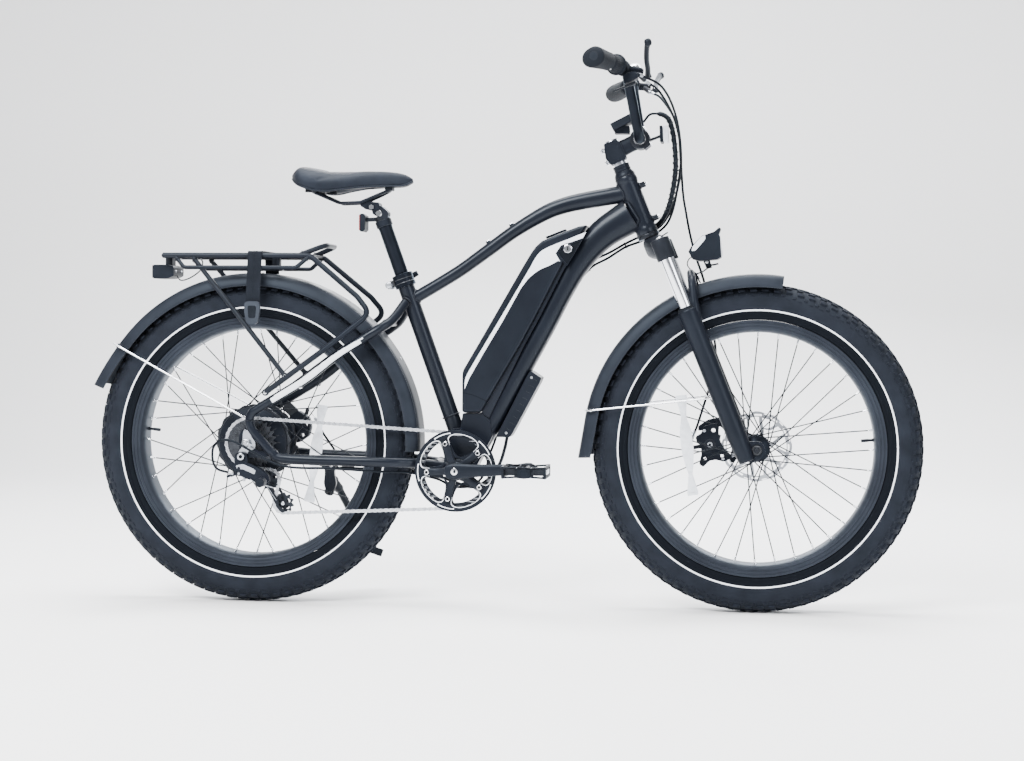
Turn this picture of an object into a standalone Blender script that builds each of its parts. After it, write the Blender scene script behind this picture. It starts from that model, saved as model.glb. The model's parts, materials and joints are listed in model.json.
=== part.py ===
"""Electric bicycle with fat tyres: rear hub motor, battery on the down tube, suspension fork, rear rack.

Metres, +Z up, +X forward, +Y to the rider's left. The origin is on the ground, under the middle of the bounding box.
Geometry is written in bicycle coordinates (x = 0 at the rear axle) and moved by ORIGIN_X when an object is made.
"""
import math
from math import cos, pi, radians, sin, sqrt

import bmesh
import bpy
from mathutils import Matrix, Vector

# ---- driving dimensions ----
ORIGIN_X = 0.5682         # bicycle x of the origin
WHEELBASE = 1.1453
TYRE_R = 0.368            # outer radius of a 26 x 4.0 in tyre
TYRE_HALF = 0.052
AXLE_Z = TYRE_R
SEGMENTS = 36             # facets round a wheel, one of them flat on the ground
HEAD_ANGLE = radians(68.0)
HEAD = Vector((0.8685, 0.0, 0.919))   # a point on the steering axis, half way up the head tube
FRONT_V, FRONT_W = 0.0502, -0.6146    # front axle from HEAD: across and along the steering axis
STANCHION_Y = 0.080
STANCHION_R = 0.0155
LOWER_R = 0.0230
FORK_V = 0.0215           # the fork legs' distance in front of the steering axis
STEERER_R = 0.0143
BAR_R = 0.0111
BAR_CLAMP_R = 0.0125
BB = Vector((0.475, 0.0, 0.312))      # bottom bracket
CRANK = 0.170
SEAT_FOOT = Vector((0.463, 0.0, 0.404))
SEAT_ANGLE = radians(70.2)
SEATPOST_R = 0.0158
PITCH = 0.0127            # chain pitch
RING_TEETH, COG_TEETH, JOCKEY_TEETH = 42, 28, 11
RING_Y, COG_Y = -0.070, -0.060
GUIDE = Vector((0.045, COG_Y, 0.285))     # jockey wheel centres
TENSION = Vector((0.077, COG_Y, 0.231))
ROTOR_R = 0.080
GAP = 0.0003              # between pieces that touch
BATTERY_HALF = 0.042

REAR = Vector((0.0, 0.0, AXLE_Z))
FRONT = Vector((WHEELBASE, 0.0, AXLE_Z))
AX, AZ = sin(HEAD_ANGLE), cos(HEAD_ANGLE)  # forward axis of the steering frame: (AX, 0, AZ)
STEER_AXIS = Vector((-AZ, 0.0, AX))
STEER_FORWARD = Vector((AX, 0.0, AZ))
SEAT_AXIS = Vector((-cos(SEAT_ANGLE), 0.0, sin(SEAT_ANGLE)))
X, Y, Z = Vector((1, 0, 0)), Vector((0, 1, 0)), Vector((0, 0, 1))


def pitch_radius(teeth):
    return PITCH / (2 * sin(pi / teeth))


def S(v, y, w):
    """A point given in the steering frame: v forward, y left, w up along the steering axis."""
    return HEAD + STEER_FORWARD * v + Y * y + STEER_AXIS * w


# ---- scene ----
for old in list(bpy.data.objects):
    bpy.data.objects.remove(old, do_unlink=True)
SHIFT = Matrix.Translation((-ORIGIN_X, 0, 0))


def material(name, colour, roughness, metallic=0.0):
    made = bpy.data.materials.new(name)
    made.use_nodes = True
    shader = made.node_tree.nodes["Principled BSDF"]
    shader.inputs["Base Color"].default_value = (*colour, 1.0)
    shader.inputs["Roughness"].default_value = roughness
    shader.inputs["Metallic"].default_value = metallic
    return made


PALETTE = {
    "frame_black": ((0.012, 0.014, 0.020), 0.42, 0.0),
    "satin_black": ((0.016, 0.018, 0.024), 0.5, 0.0),
    "black_alloy": ((0.020, 0.022, 0.028), 0.38, 0.7),
    "silver_alloy": ((0.55, 0.56, 0.58), 0.3, 1.0),
    "steel": ((0.48, 0.49, 0.51), 0.3, 1.0),
    "chrome": ((0.75, 0.76, 0.78), 0.12, 1.0),
    "tyre_rubber": ((0.022, 0.024, 0.030), 0.85, 0.0),
    "grip_rubber": ((0.018, 0.019, 0.023), 0.8, 0.0),
    "plastic": ((0.020, 0.022, 0.028), 0.55, 0.0),
    "battery_plastic": ((0.022, 0.024, 0.032), 0.45, 0.0),
    "saddle_skin": ((0.030, 0.033, 0.042), 0.6, 0.0),
    "cable_jacket": ((0.014, 0.015, 0.018), 0.5, 0.0),
    "webbing": ((0.022, 0.023, 0.026), 0.9, 0.0),
    "lamp_housing": ((0.020, 0.022, 0.028), 0.4, 0.0),
    "red_lens": ((0.45, 0.02, 0.02), 0.2, 0.0),
    "fender_black": ((0.018, 0.020, 0.026), 0.5, 0.0),
}
MATERIALS = {}


def paint(name):
    if name not in MATERIALS:
        MATERIALS[name] = material(name, *PALETTE[name])
    return MATERIALS[name]


# ---- mesh helpers: a shape is (points, faces) ----
def rings(sections, closed=False, capped=True):
    """A skin through rings of points that all have the same count."""
    count = len(sections[0])
    points = [Vector(p) for ring in sections for p in ring]
    faces = []
    last = len(sections) if closed else len(sections) - 1
    for i in range(last):
        a, b = i * count, ((i + 1) % len(sections)) * count
        for k in range(count):
            m = (k + 1) % count
            faces.append((a + k, a + m, b + m, b + k))
    if not closed and capped:
        faces.append(tuple(reversed(range(count))))
        faces.append(tuple((len(sections) - 1) * count + k for k in range(count)))
    return points, faces


def smooth(points, steps):
    """A curve through the points, with steps stretches between each two of them."""
    p = [Vector(q) for q in points]
    p = [2 * p[0] - p[1]] + p + [2 * p[-1] - p[-2]]
    out = []
    for i in range(1, len(p) - 2):
        for s in range(steps):
            t = s / steps
            out.append(
                0.5 * ((2 * p[i]) + (p[i + 1] - p[i - 1]) * t
                       + (2 * p[i - 1] - 5 * p[i] + 4 * p[i + 1] - p[i + 2]) * t * t
                       + (3 * p[i] - p[i - 1] - 3 * p[i + 1] + p[i + 2]) * t ** 3)
            )
    return out + [p[-2]]


def rounded(points, radius, steps=3):
    """The path with each of its corners turned into an arc of about this radius."""
    p = [Vector(q) for q in points]
    out = [p[0]]
    for a, b, c in zip(p, p[1:], p[2:]):
        u, v = (a - b), (c - b)
        angle = u.angle(v)
        reach = min(radius / math.tan(angle / 2), 0.45 * u.length, 0.45 * v.length)
        start, end = b + u.normalized() * reach, b + v.normalized() * reach
        for s in range(steps + 1):
            t = s / steps
            out.append((1 - t) ** 2 * start + 2 * t * (1 - t) * b + t * t * end)
    return out + [p[-1]]


def tube(points, radius, sides=8, ref=Y, closed=False, turn=0.5):
    """A round or oval bar: radius is a number, (across, along ref), or one of them for each point."""
    p = [Vector(q) for q in points]
    n = len(p)
    sizes = radius if isinstance(radius, list) else [radius] * n
    sections = []
    for i, q in enumerate(p):
        before = p[i - 1] if i or closed else p[i]
        after = p[(i + 1) % n] if i < n - 1 or closed else p[i]
        along = ((after - q).normalized() + (q - before).normalized()).normalized()
        side = (ref - along * ref.dot(along)).normalized()
        up = along.cross(side)
        a, b = sizes[i] if isinstance(sizes[i], tuple) else (sizes[i], sizes[i])
        sections.append([
            q + up * (a * cos(2 * pi * (k + turn) / sides)) + side * (b * sin(2 * pi * (k + turn) / sides))
            for k in range(sides)
        ])
    return rings(sections, closed)


def strip(points, half_up, half_side, ref=Y, closed=False):
    """A bar of rectangular section."""
    p = [Vector(q) for q in points]
    n = len(p)
    sections = []
    for i, q in enumerate(p):
        before = p[i - 1] if i or closed else p[i]
        after = p[(i + 1) % n] if i < n - 1 or closed else p[i]
        along = ((after - q).normalized() + (q - before).normalized()).normalized()
        side = (ref - along * ref.dot(along)).normalized()
        up = along.cross(side)
        sections.append([q + up * (half_up * a) + side * (half_side * b) for a, b in ((1, 1), (-1, 1), (-1, -1), (1, -1))])
    return rings(sections, closed)


def lathe(profile, centre, axis=Y, sides=SEGMENTS, ring=False, turn=0.5, first=None):
    """A turned shape. profile is (radius, height) along the axis; a ring's profile closes on itself."""
    axis = axis.normalized()
    e1 = (first or (X if abs(axis.x) < 0.9 else Z))
    e1 = (e1 - axis * e1.dot(axis)).normalized()
    e2 = axis.cross(e1)
    sections = []
    for radius, height in profile:
        sections.append([
            centre + axis * height + e1 * (radius * cos(2 * pi * (k + turn) / sides)) + e2 * (radius * sin(2 * pi * (k + turn) / sides))
            for k in range(sides)
        ])
    return rings(sections, closed=ring)


def cylinder(a, b, radius, sides=12, turn=0.5):
    a, b = Vector(a), Vector(b)
    return lathe([(radius, 0.0), (radius, (b - a).length)], a, (b - a), sides, turn=turn)


def prism(outline, low, high, place=None):
    """An outline in the XZ plane, (x, z), extruded from y = low to y = high. place maps (x, y, z) elsewhere."""
    place = place or (lambda x, y, z: Vector((x, y, z)))
    return rings([[place(x, low, z) for x, z in outline], [place(x, high, z) for x, z in outline]])


def box(centre, size, axes=(X, Y, Z)):
    c = Vector(centre)
    a, b, d = (axis * (s / 2) for axis, s in zip(axes, size))
    return rings([
        [c - a - b - d, c + a - b - d, c + a + b - d, c - a + b - d],
        [c - a - b + d, c + a - b + d, c + a + b + d, c - a + b + d],
    ])


def moved(shape, matrix):
    return [matrix @ p for p in shape[0]], shape[1]


def mirrored(shape):
    """The same shape on the other side of the bicycle."""
    return [Vector((p.x, -p.y, p.z)) for p in shape[0]], [tuple(reversed(f)) for f in shape[1]]


def mesh_of(shape, name="work", triangles=False):
    mesh = bpy.data.meshes.new(name)
    mesh.from_pydata([tuple(p) for p in shape[0]], [], [tuple(f) for f in shape[1]])
    work = bmesh.new()
    work.from_mesh(mesh)
    bmesh.ops.recalc_face_normals(work, faces=work.faces)
    if triangles:
        bmesh.ops.triangulate(work, faces=work.faces)
    work.to_mesh(mesh)
    work.free()
    mesh.update()
    return mesh


def bevelled(shape, width, segments=1, sharp=30.0):
    """The shape with its sharp edges chamfered."""
    mesh = mesh_of(shape)
    work = bmesh.new()
    work.from_mesh(mesh)
    edges = [e for e in work.edges if e.calc_face_angle(0) > radians(sharp)]
    bmesh.ops.bevel(work, geom=edges, offset=width, segments=segments, affect="EDGES", profile=0.5, clamp_overlap=True)
    points = [v.co.copy() for v in work.verts]
    faces = [tuple(v.index for v in f.verts) for f in work.faces]
    work.free()
    bpy.data.meshes.remove(mesh)
    return points, faces


def joined(shapes, cuts=()):
    """The union of closed shapes, less the cuts."""
    helpers = []
    base = bpy.data.objects.new("work", mesh_of(shapes[0], triangles=True))
    bpy.context.scene.collection.objects.link(base)
    for others, operation in ((shapes[1:], "UNION"), (cuts, "DIFFERENCE")):
        for other in others:
            helper = bpy.data.objects.new("helper", mesh_of(other, triangles=True))
            bpy.context.scene.collection.objects.link(helper)
            helpers.append(helper)
            step = base.modifiers.new(operation.lower(), "BOOLEAN")
            step.operation, step.object, step.solver = operation, helper, "EXACT"
    graph = bpy.context.evaluated_depsgraph_get()
    result = bpy.data.meshes.new_from_object(base.evaluated_get(graph))
    points = [v.co.copy() for v in result.vertices]
    faces = [tuple(f.vertices) for f in result.polygons]
    for done in [base, *helpers]:
        data = done.data
        bpy.data.objects.remove(done, do_unlink=True)
        bpy.data.meshes.remove(data)
    bpy.data.meshes.remove(result)
    return points, faces


def emit(name, shape, look, origin=(0, 0, 0), parent=None, sharp=35.0, bevel=None):
    """One object, its origin at this point of the bicycle, under an empty where it moves."""
    origin = Vector(origin)
    mesh = bpy.data.meshes.new(name)
    mesh.from_pydata([tuple(p - origin) for p in shape[0]], [], [tuple(f) for f in shape[1]])
    work = bmesh.new()
    work.from_mesh(mesh)
    bmesh.ops.remove_doubles(work, verts=work.verts, dist=1e-6)
    bmesh.ops.recalc_face_normals(work, faces=work.faces)
    work.to_mesh(mesh)
    work.free()
    mesh.update()
    mesh.shade_smooth()
    mesh.set_sharp_from_angle(angle=radians(sharp))
    mesh.materials.append(paint(look))
    obj = bpy.data.objects.new(name, mesh)
    bpy.context.scene.collection.objects.link(obj)
    obj.location = origin - X * ORIGIN_X
    if parent is not None:
        obj.parent = parent
        obj.matrix_parent_inverse = HOLDERS[parent.name].inverted()
    if bevel:
        step = obj.modifiers.new("bevel", "BEVEL")
        step.width, step.segments, step.limit_method = bevel, 1, "ANGLE"
        step.angle_limit = radians(40)
    return obj


HOLDERS = {}


def holder(name, point, axis=None, parent=None):
    """An empty on a joint's axis, its Z along the axis."""
    empty = bpy.data.objects.new(name, None)
    empty.empty_display_size = 0.05
    bpy.context.scene.collection.objects.link(empty)
    turn = Z.rotation_difference(axis).to_matrix().to_4x4() if axis is not None else Matrix.Identity(4)
    world = Matrix.Translation(Vector(point) - X * ORIGIN_X) @ turn
    HOLDERS[name] = world
    if parent is not None:
        empty.parent = parent
        empty.matrix_parent_inverse = HOLDERS[parent.name].inverted()
    empty.matrix_basis = world
    return empty


# ---- holders: one empty on each joint's axis ----
steering = holder("steering_axis", HEAD, STEER_AXIS)
fork_slide = holder("fork_slide_axis", S(FORK_V, 0, -0.2), STEER_AXIS, steering)
rear_spin = holder("rear_wheel_axis", REAR, Y)
front_spin = holder("front_wheel_axis", FRONT, Y, fork_slide)
crank_spin = holder("crank_axis", BB, Y)
seat_slide = holder("seatpost_axis", SEAT_FOOT + SEAT_AXIS * 0.37, SEAT_AXIS)


# ---- wheels ----
def wheel_rim(centre):
    half = [(0.2785, 0.0376), (0.2860, 0.0376), (0.2860, 0.0400), (0.2660, 0.0380), (0.2593, 0.0220)]
    return lathe([(r, h) for r, h in half] + [(r, -h) for r, h in reversed(half)], centre, ring=True)


def tyre(centre):
    k = 1 / cos(pi / SEGMENTS)
    outer = [(0.2802, 0.0366), (0.2872, 0.0366), (0.2897, 0.0415), (0.3250, TYRE_HALF), (0.3570, 0.0430), (TYRE_R, 0.0250)]
    inner = [(0.3570, 0.0250), (0.3250, 0.0460), (0.2802, 0.0312)]
    half = [(r * k if r > 0.29 else r, h) for r, h in outer + inner]
    # one C-shaped loop: up the left side, over the tread, down the right side, back inside
    n = len(outer)
    left, right = half[:n], [(r, -h) for r, h in reversed(half[:n])]
    back = [(r, -h) for r, h in reversed(half[n:])] + half[n:]
    return lathe(left + right + back, centre, ring=True)


def spoked(profile, centre, flanges, reach, tip, slope=0.055):
    """A turned hub whose flange faces grow into spokes, 36 in all, alternately to the two flanges."""
    points, faces = lathe(profile, centre, ring=True)
    points = list(points)
    n, m = SEGMENTS, len(profile)
    out = []
    for f in faces:
        ring_index = {i // n for i in f}
        for side, (low, high) in enumerate(flanges):
            k = f[0] % n
            if ring_index == {low, high} and k % 2 == side:
                break
        else:
            out.append(f)
            continue
        corners = [points[i] for i in f]
        middle = sum(corners, Vector()) / 4
        radial = (middle - centre)
        radial = Vector((radial.x, 0, radial.z)).normalized()
        tangent = Y.cross(radial)
        base = []
        for i in f:  # a small square inside the flange's face
            base.append(middle + (points[i] - middle) * 0.0 + tangent * (0.0011 if (points[i] - middle).dot(tangent) > 0 else -0.0011)
                        + Y * (0.0011 if points[i].y > middle.y else -0.0011))
        lean = slope * (1 if (k // 2) % 2 else -1)
        end = centre + Y * (tip if middle.y > centre.y else -tip)
        direction = radial * cos(lean) + tangent * sin(lean)
        top = [end + direction * reach + (q - middle) for q in base]
        a = len(points)
        points += base + top
        for j in range(4):
            q = (j + 1) % 4
            out.append((f[j], f[q], a + q, a + j))
            out.append((a + j, a + q, a + 4 + q, a + 4 + j))
        out.append((a + 4, a + 5, a + 6, a + 7))
    return points, out


RIM_REACH = 0.2578
REAR_HUB = [(0.0072, -0.0865), (0.0160, -0.0865), (0.0160, -0.0525), (0.0855, -0.0385), (0.0855, -0.0335), (0.0840, -0.0290),
            (0.0840, 0.0290), (0.0855, 0.0335), (0.0855, 0.0385), (0.0220, 0.0520), (0.0220, 0.0585), (0.0150, 0.0615), (0.0150, 0.0865), (0.0072, 0.0865)]
FRONT_HUB = [(0.0062, -0.0660), (0.0130, -0.0660), (0.0290, -0.0345), (0.0290, -0.0300), (0.0180, -0.0250),
             (0.0180, 0.0250), (0.0290, 0.0300), (0.0290, 0.0345), (0.0200, 0.0480), (0.0200, 0.0515), (0.0130, 0.0560), (0.0130, 0.0660), (0.0062, 0.0660)]


def brake_disc(centre, low, high, inner):
    return lathe([(inner, low), (ROTOR_R, low), (ROTOR_R, high), (inner, high)], centre, ring=True, sides=24)


emit("rear_tyre", tyre(REAR), "tyre_rubber", REAR, rear_spin)
emit("rear_rim", wheel_rim(REAR), "satin_black", REAR, rear_spin)
emit("hub_motor", spoked(REAR_HUB, REAR, [(3, 4), (7, 8)], RIM_REACH, 0.012), "black_alloy", REAR, rear_spin)
emit("rear_rotor", brake_disc(REAR, 0.0591, 0.0609, 0.0226), "steel", REAR, rear_spin)
emit("front_tyre", tyre(FRONT), "tyre_rubber", FRONT, front_spin)
emit("front_rim", wheel_rim(FRONT), "satin_black", FRONT, front_spin)
emit("front_hub", spoked(FRONT_HUB, FRONT, [(2, 3), (6, 7)], RIM_REACH, 0.012), "black_alloy", FRONT, front_spin)
emit("front_rotor", brake_disc(FRONT, 0.0519, 0.0535, 0.0206), "steel", FRONT, front_spin)


def nut_axle(centre, shaft, inner, outer, nut, end):
    """A threaded axle with a nut outside each dropout."""
    return lathe([(shaft, -end), (shaft, -outer), (nut, -outer), (nut, -inner), (shaft, -inner),
                  (shaft, inner), (nut, inner), (nut, outer), (shaft, outer), (shaft, end)], centre, sides=10)


emit("rear_axle", nut_axle(REAR, 0.0060, 0.0964, 0.1060, 0.0120, 0.1130), "steel", REAR)
emit("front_axle", nut_axle(FRONT, 0.0048, 0.0782, 0.0860, 0.0110, 0.0910), "steel", FRONT, fork_slide)


# ---- frame ----
def down_tube():
    line = [(0.490, 0.336, 0.021), (0.534, 0.402, 0.021), (0.633, 0.582, 0.021), (0.667, 0.645, 0.021), (0.706, 0.720, 0.022),
            (0.745, 0.786, 0.027), (0.795, 0.845, 0.034), (0.868, 0.893, 0.040)]
    return tube([(x, 0, z) for x, z, _ in line], [(d, 0.030) for _, _, d in line], 12, turn=0.5)


def top_tube():
    line = [(0.350, 0.690), (0.373, 0.703), (0.465, 0.758), (0.531, 0.805), (0.597, 0.853), (0.662, 0.892), (0.706, 0.910), (0.753, 0.921), (0.805, 0.930), (0.860, 0.940)]
    size = [0.014, 0.014, 0.014, 0.0145, 0.015, 0.017, 0.0185, 0.0195, 0.020, 0.020]
    side = [0.014, 0.0142, 0.0145, 0.015, 0.0155, 0.016, 0.0165, 0.0165, 0.0165, 0.0165]
    return tube([(x, 0, z) for x, z in line], list(zip(size, side)), 10)


# the rear stay on the left: down from the seat tube, round the axle, forward to the bottom bracket
STAY = [(0.350, 0.022, 0.690), (0.325, 0.055, 0.650), (0.290, 0.078, 0.624), (0.205, 0.085, 0.570), (0.133, 0.092, 0.514),
        (0.028, 0.1000, 0.449), (0.012, 0.1002, 0.436), (0.007, 0.1000, 0.420), (0.013, 0.1001, 0.401), (0.040, 0.1000, 0.369), (0.062, 0.1000, 0.348),
        (0.095, 0.099, 0.335), (0.300, 0.085, 0.330), (0.360, 0.068, 0.328), (0.392, 0.050, 0.325), (0.450, 0.036, 0.318)]
STAY_SIZE = [0.0105] * 5 + [0.0100] * 6 + [(0.0100, 0.0115)] * 5
seat_top = SEAT_FOOT + SEAT_AXIS * 0.370
head_low, head_high = S(0, 0, -0.078), S(0, 0, 0.060)
stay = tube(STAY, STAY_SIZE, 8, ref=Z)
plate = prism([(-0.019, 0.385), (-0.012, 0.398), (0.010, 0.410), (0.030, 0.395), (0.062, 0.352), (0.050, 0.338), (0.000, 0.336), (-0.016, 0.341)], 0.0880, 0.0960)
hanger = prism([(-0.022, 0.352), (-0.002, 0.352), (-0.002, 0.326), (-0.020, 0.326)], 0.0875, 0.0935)
bracket = prism([(0.128, 0.330), (0.182, 0.330), (0.172, 0.270), (0.160, 0.247), (0.144, 0.247), (0.136, 0.270)], 0.084, 0.096)
STAND_PIVOT = Vector((0.152, 0.1125, 0.262))
STAND_AXIS = Vector((0.0965, 0.749, 0.656)).normalized()   # leans, so that the leg swings back and up beside the wheel
bosses = [cylinder(p, q, 0.006, 8) for p, q in (((0.548, 0, 0.806), (0.5341, 0, 0.8313)), ((0.604, 0, 0.845), (0.5866, 0, 0.8699)))]
block = prism([(0.452, 0.300), (0.500, 0.296), (0.552, 0.388), (0.522, 0.428), (0.468, 0.430), (0.445, 0.370)], -0.033, 0.033)
frame_shape = joined(
    [
        tube([SEAT_FOOT - SEAT_AXIS * 0.045, seat_top], 0.0187, 14, turn=0.5),
        block, down_tube(), top_tube(),
        tube([head_low, head_high], 0.0247, 14),
        cylinder(BB - Y * 0.0420, BB + Y * 0.0420, 0.0220, 14),
        stay, mirrored(stay), plate, mirrored(plate), mirrored(hanger), bracket,
        cylinder((0.312, -0.066, 0.642), (0.312, 0.066, 0.642), 0.0075, 8),
        cylinder((0.424, -0.040, 0.324), (0.424, 0.040, 0.324), 0.0095, 8),
        cylinder(STAND_PIVOT - STAND_AXIS * 0.0285, STAND_PIVOT, 0.0115, 12), *bosses,
    ],
    [
        cylinder(SEAT_FOOT + SEAT_AXIS * 0.060, SEAT_FOOT + SEAT_AXIS * 0.420, 0.01635, 16),
        cylinder(S(0, 0, -0.100), S(0, 0, 0.090), 0.0172, 16),
        cylinder(BB - Y * 0.07, BB + Y * 0.07, 0.0092, 16),
        cylinder(REAR - Y * 0.13, REAR + Y * 0.13, 0.0068, 12),
        cylinder(STAND_PIVOT - STAND_AXIS * 0.0200, STAND_PIVOT + STAND_AXIS * 0.0050, 0.0048, 10),
    ],
)
emit("frame", frame_shape, "frame_black")

emit("controller_box", bevelled(prism([(0.6475, 0.533), (0.660, 0.519), (0.590, 0.385), (0.566, 0.390)], -0.030, 0.030), 0.004), "satin_black")


def tube_edge(extra):
    """The down tube's upper edge, this far off it, from its foot to the head."""
    line = [(0.490, 0.336, 0.021), (0.534, 0.402, 0.021), (0.633, 0.582, 0.021), (0.667, 0.645, 0.021), (0.706, 0.720, 0.022),
            (0.745, 0.786, 0.027), (0.795, 0.845, 0.034)]
    out = []
    for i, (x, z, d) in enumerate(line):
        a, b = line[max(i - 1, 0)], line[min(i + 1, len(line) - 1)]
        dx, dz = b[0] - a[0], b[1] - a[1]
        size = sqrt(dx * dx + dz * dz)
        out.append((x - dz / size * (d + extra), z + dx / size * (d + extra)))
    return out


edge = tube_edge(0.0012)
battery_outline = [(0.764, 0.8655), (0.745, 0.862), (0.662, 0.829), (0.638, 0.802), (0.487, 0.541), (0.483, 0.524), (0.483, 0.441), (0.5270, 0.441),
                   edge[2], edge[3], edge[4], edge[5]]
battery_shape = joined([bevelled(prism(battery_outline, -BATTERY_HALF, BATTERY_HALF), 0.006)],
                       [cylinder((0.721, -0.060, 0.812), (0.721, -0.0345, 0.812), 0.0100, 12)])
emit("battery", battery_shape, "battery_plastic", (0.560, 0, 0.640))
emit("battery_lock", joined([cylinder((0.721, -0.0350, 0.812), (0.721, -0.0435, 0.812), 0.0092, 12), box((0.721, -0.0445, 0.812), (0.0030, 0.004, 0.013))]),
     "silver_alloy", (0.721, -0.0435, 0.812))

# ---- seat ----
collar_at = SEAT_FOOT + SEAT_AXIS * 0.3640
SEAT_FORWARD = Vector((SEAT_AXIS.z, 0, -SEAT_AXIS.x))
collar = joined(
    [lathe([(0.0240, -0.0220), (0.0240, -0.0060), (0.0240, 0.0080), (0.0160, 0.0090)][:3], collar_at, SEAT_AXIS, 16),
     box(collar_at - SEAT_FORWARD * 0.031 - SEAT_AXIS * 0.007, (0.020, 0.026, 0.016), (SEAT_FORWARD, Y, SEAT_AXIS)),
     cylinder(collar_at - SEAT_FORWARD * 0.034 - SEAT_AXIS * 0.007 - Y * 0.020, collar_at - SEAT_FORWARD * 0.034 - SEAT_AXIS * 0.007 + Y * 0.0150, 0.0055, 10)],
    [lathe([(0.0196, -0.030), (0.0196, 0.0064)], collar_at, SEAT_AXIS, 16), lathe([(0.01645, -0.030), (0.01645, 0.030)], collar_at, SEAT_AXIS, 16)],
)
emit("seat_collar", collar, "black_alloy", collar_at)
qr = collar_at - SEAT_FORWARD * 0.034 - SEAT_AXIS * 0.007
lever_path = [qr + Y * 0.020, qr + Y * 0.023 + SEAT_FORWARD * 0.012, qr + Y * 0.0285 + SEAT_FORWARD * 0.040 + SEAT_AXIS * 0.004, qr + Y * 0.0290 + SEAT_FORWARD * 0.066 + SEAT_AXIS * 0.008]
qr_axis = holder("qr_lever_axis", qr, SEAT_AXIS)
emit("seat_qr_lever", joined([cylinder(qr + Y * 0.0165, qr + Y * 0.027, 0.0085, 10), strip(lever_path, 0.0065, 0.0022, ref=SEAT_AXIS.cross(SEAT_FORWARD))]), "silver_alloy", qr, qr_axis)

post_low, post_high = SEAT_FOOT + SEAT_AXIS * 0.150, SEAT_FOOT + SEAT_AXIS * 0.512
post = joined([
    tube([post_low, post_high], SEATPOST_R, 16),
    bevelled(prism([(0.3035, 0.8740), (0.3085, 0.8940), (0.2910, 0.9100), (0.2620, 0.9185), (0.2520, 0.9115), (0.2610, 0.8990)], -0.0183, 0.0183), 0.003),
    box((0.2670, 0, 0.8790), (0.0360, 0.0130, 0.0110)),
    box((0.2485, 0, 0.871), (0.015, 0.046, 0.042)),
])
emit("seatpost", post, "black_alloy", post_low, seat_slide)
RAIL = [(0.118, 0.043, 0.9540), (0.138, 0.040, 0.9400), (0.196, 0.0235, 0.9150), (0.245, 0.0228, 0.9170), (0.285, 0.0205, 0.9340), (0.305, 0.0130, 0.9430), (0.311, 0.0, 0.9450)]
rail_path = RAIL + [(x, -y, z) for x, y, z in reversed(RAIL[:-1])]
emit("saddle_rails", tube(rail_path, 0.0035, 6, ref=Z), "steel", (0.22, 0, 0.915), seat_slide)
# saddle: (x, half width, top, skirt, middle of the underside)
SADDLE = [(0.0905, 0.050, 0.986, 0.966, 0.970), (0.105, 0.078, 0.999, 0.953, 0.965), (0.123, 0.088, 1.000, 0.944, 0.964), (0.150, 0.087, 0.994, 0.937, 0.962), (0.178, 0.074, 0.988, 0.936, 0.958),
          (0.215, 0.053, 0.988, 0.942, 0.954), (0.255, 0.038, 0.991, 0.947, 0.954), (0.300, 0.028, 0.991, 0.949, 0.953), (0.340, 0.023, 0.986, 0.951, 0.954), (0.3640, 0.010, 0.974, 0.961, 0.962)]
sections = []
for x, w, top, skirt, under in SADDLE:
    h = top - skirt
    sections.append([Vector(p) for p in ((x, -w * 0.60, top - h * 0.06), (x, 0, top), (x, w * 0.60, top - h * 0.06), (x, w * 0.92, top - h * 0.30), (x, w, top - h * 0.68), (x, w * 0.96, skirt),
                                         (x, w * 0.72, skirt + 0.002), (x, w * 0.40, under), (x, -w * 0.40, under), (x, -w * 0.72, skirt + 0.002), (x, -w * 0.96, skirt), (x, -w, top - h * 0.68), (x, -w * 0.92, top - h * 0.30))])
emit("saddle", rings(sections), "saddle_skin", (0.22, 0, 0.96), seat_slide)

# ---- kickstand ----
stand = holder("kickstand_axis", STAND_PIVOT, STAND_AXIS)
foot = Vector((0.234, 0.210, 0.102))
across = foot - STAND_PIVOT
across = (across - STAND_AXIS * across.dot(STAND_AXIS)).normalized()
leg = rounded([STAND_PIVOT + STAND_AXIS * 0.0095, STAND_PIVOT + STAND_AXIS * 0.0090 + across * 0.030, (0.205, 0.172, 0.155), foot], 0.02, 2)
stand_shape = joined([
    cylinder(STAND_PIVOT + STAND_AXIS * 0.0004, STAND_PIVOT + STAND_AXIS * 0.0185, 0.0115, 12),
    cylinder(STAND_PIVOT - STAND_AXIS * 0.0180, STAND_PIVOT + STAND_AXIS * 0.0040, 0.0040, 8),
    tube(leg, 0.0080, 8, ref=X),
    box((0.2385, 0.2160, 0.0930), (0.030, 0.020, 0.018), (Vector((0.75, 0.55, -0.36)).normalized(), Vector((-0.59, 0.80, 0.0)).normalized(), Vector((0.29, 0.215, 0.93)).normalized())),
])
emit("kickstand_leg", stand_shape, "satin_black", STAND_PIVOT, stand)

# ---- drive ----
ring_r, cog_r, jockey_r = pitch_radius(RING_TEETH), pitch_radius(COG_TEETH), pitch_radius(JOCKEY_TEETH)
PULLEYS = [(BB, ring_r, 1, RING_Y), (REAR, cog_r, 1, COG_Y), (GUIDE, jockey_r, -1, COG_Y), (TENSION, jockey_r, 1, COG_Y)]


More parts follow.
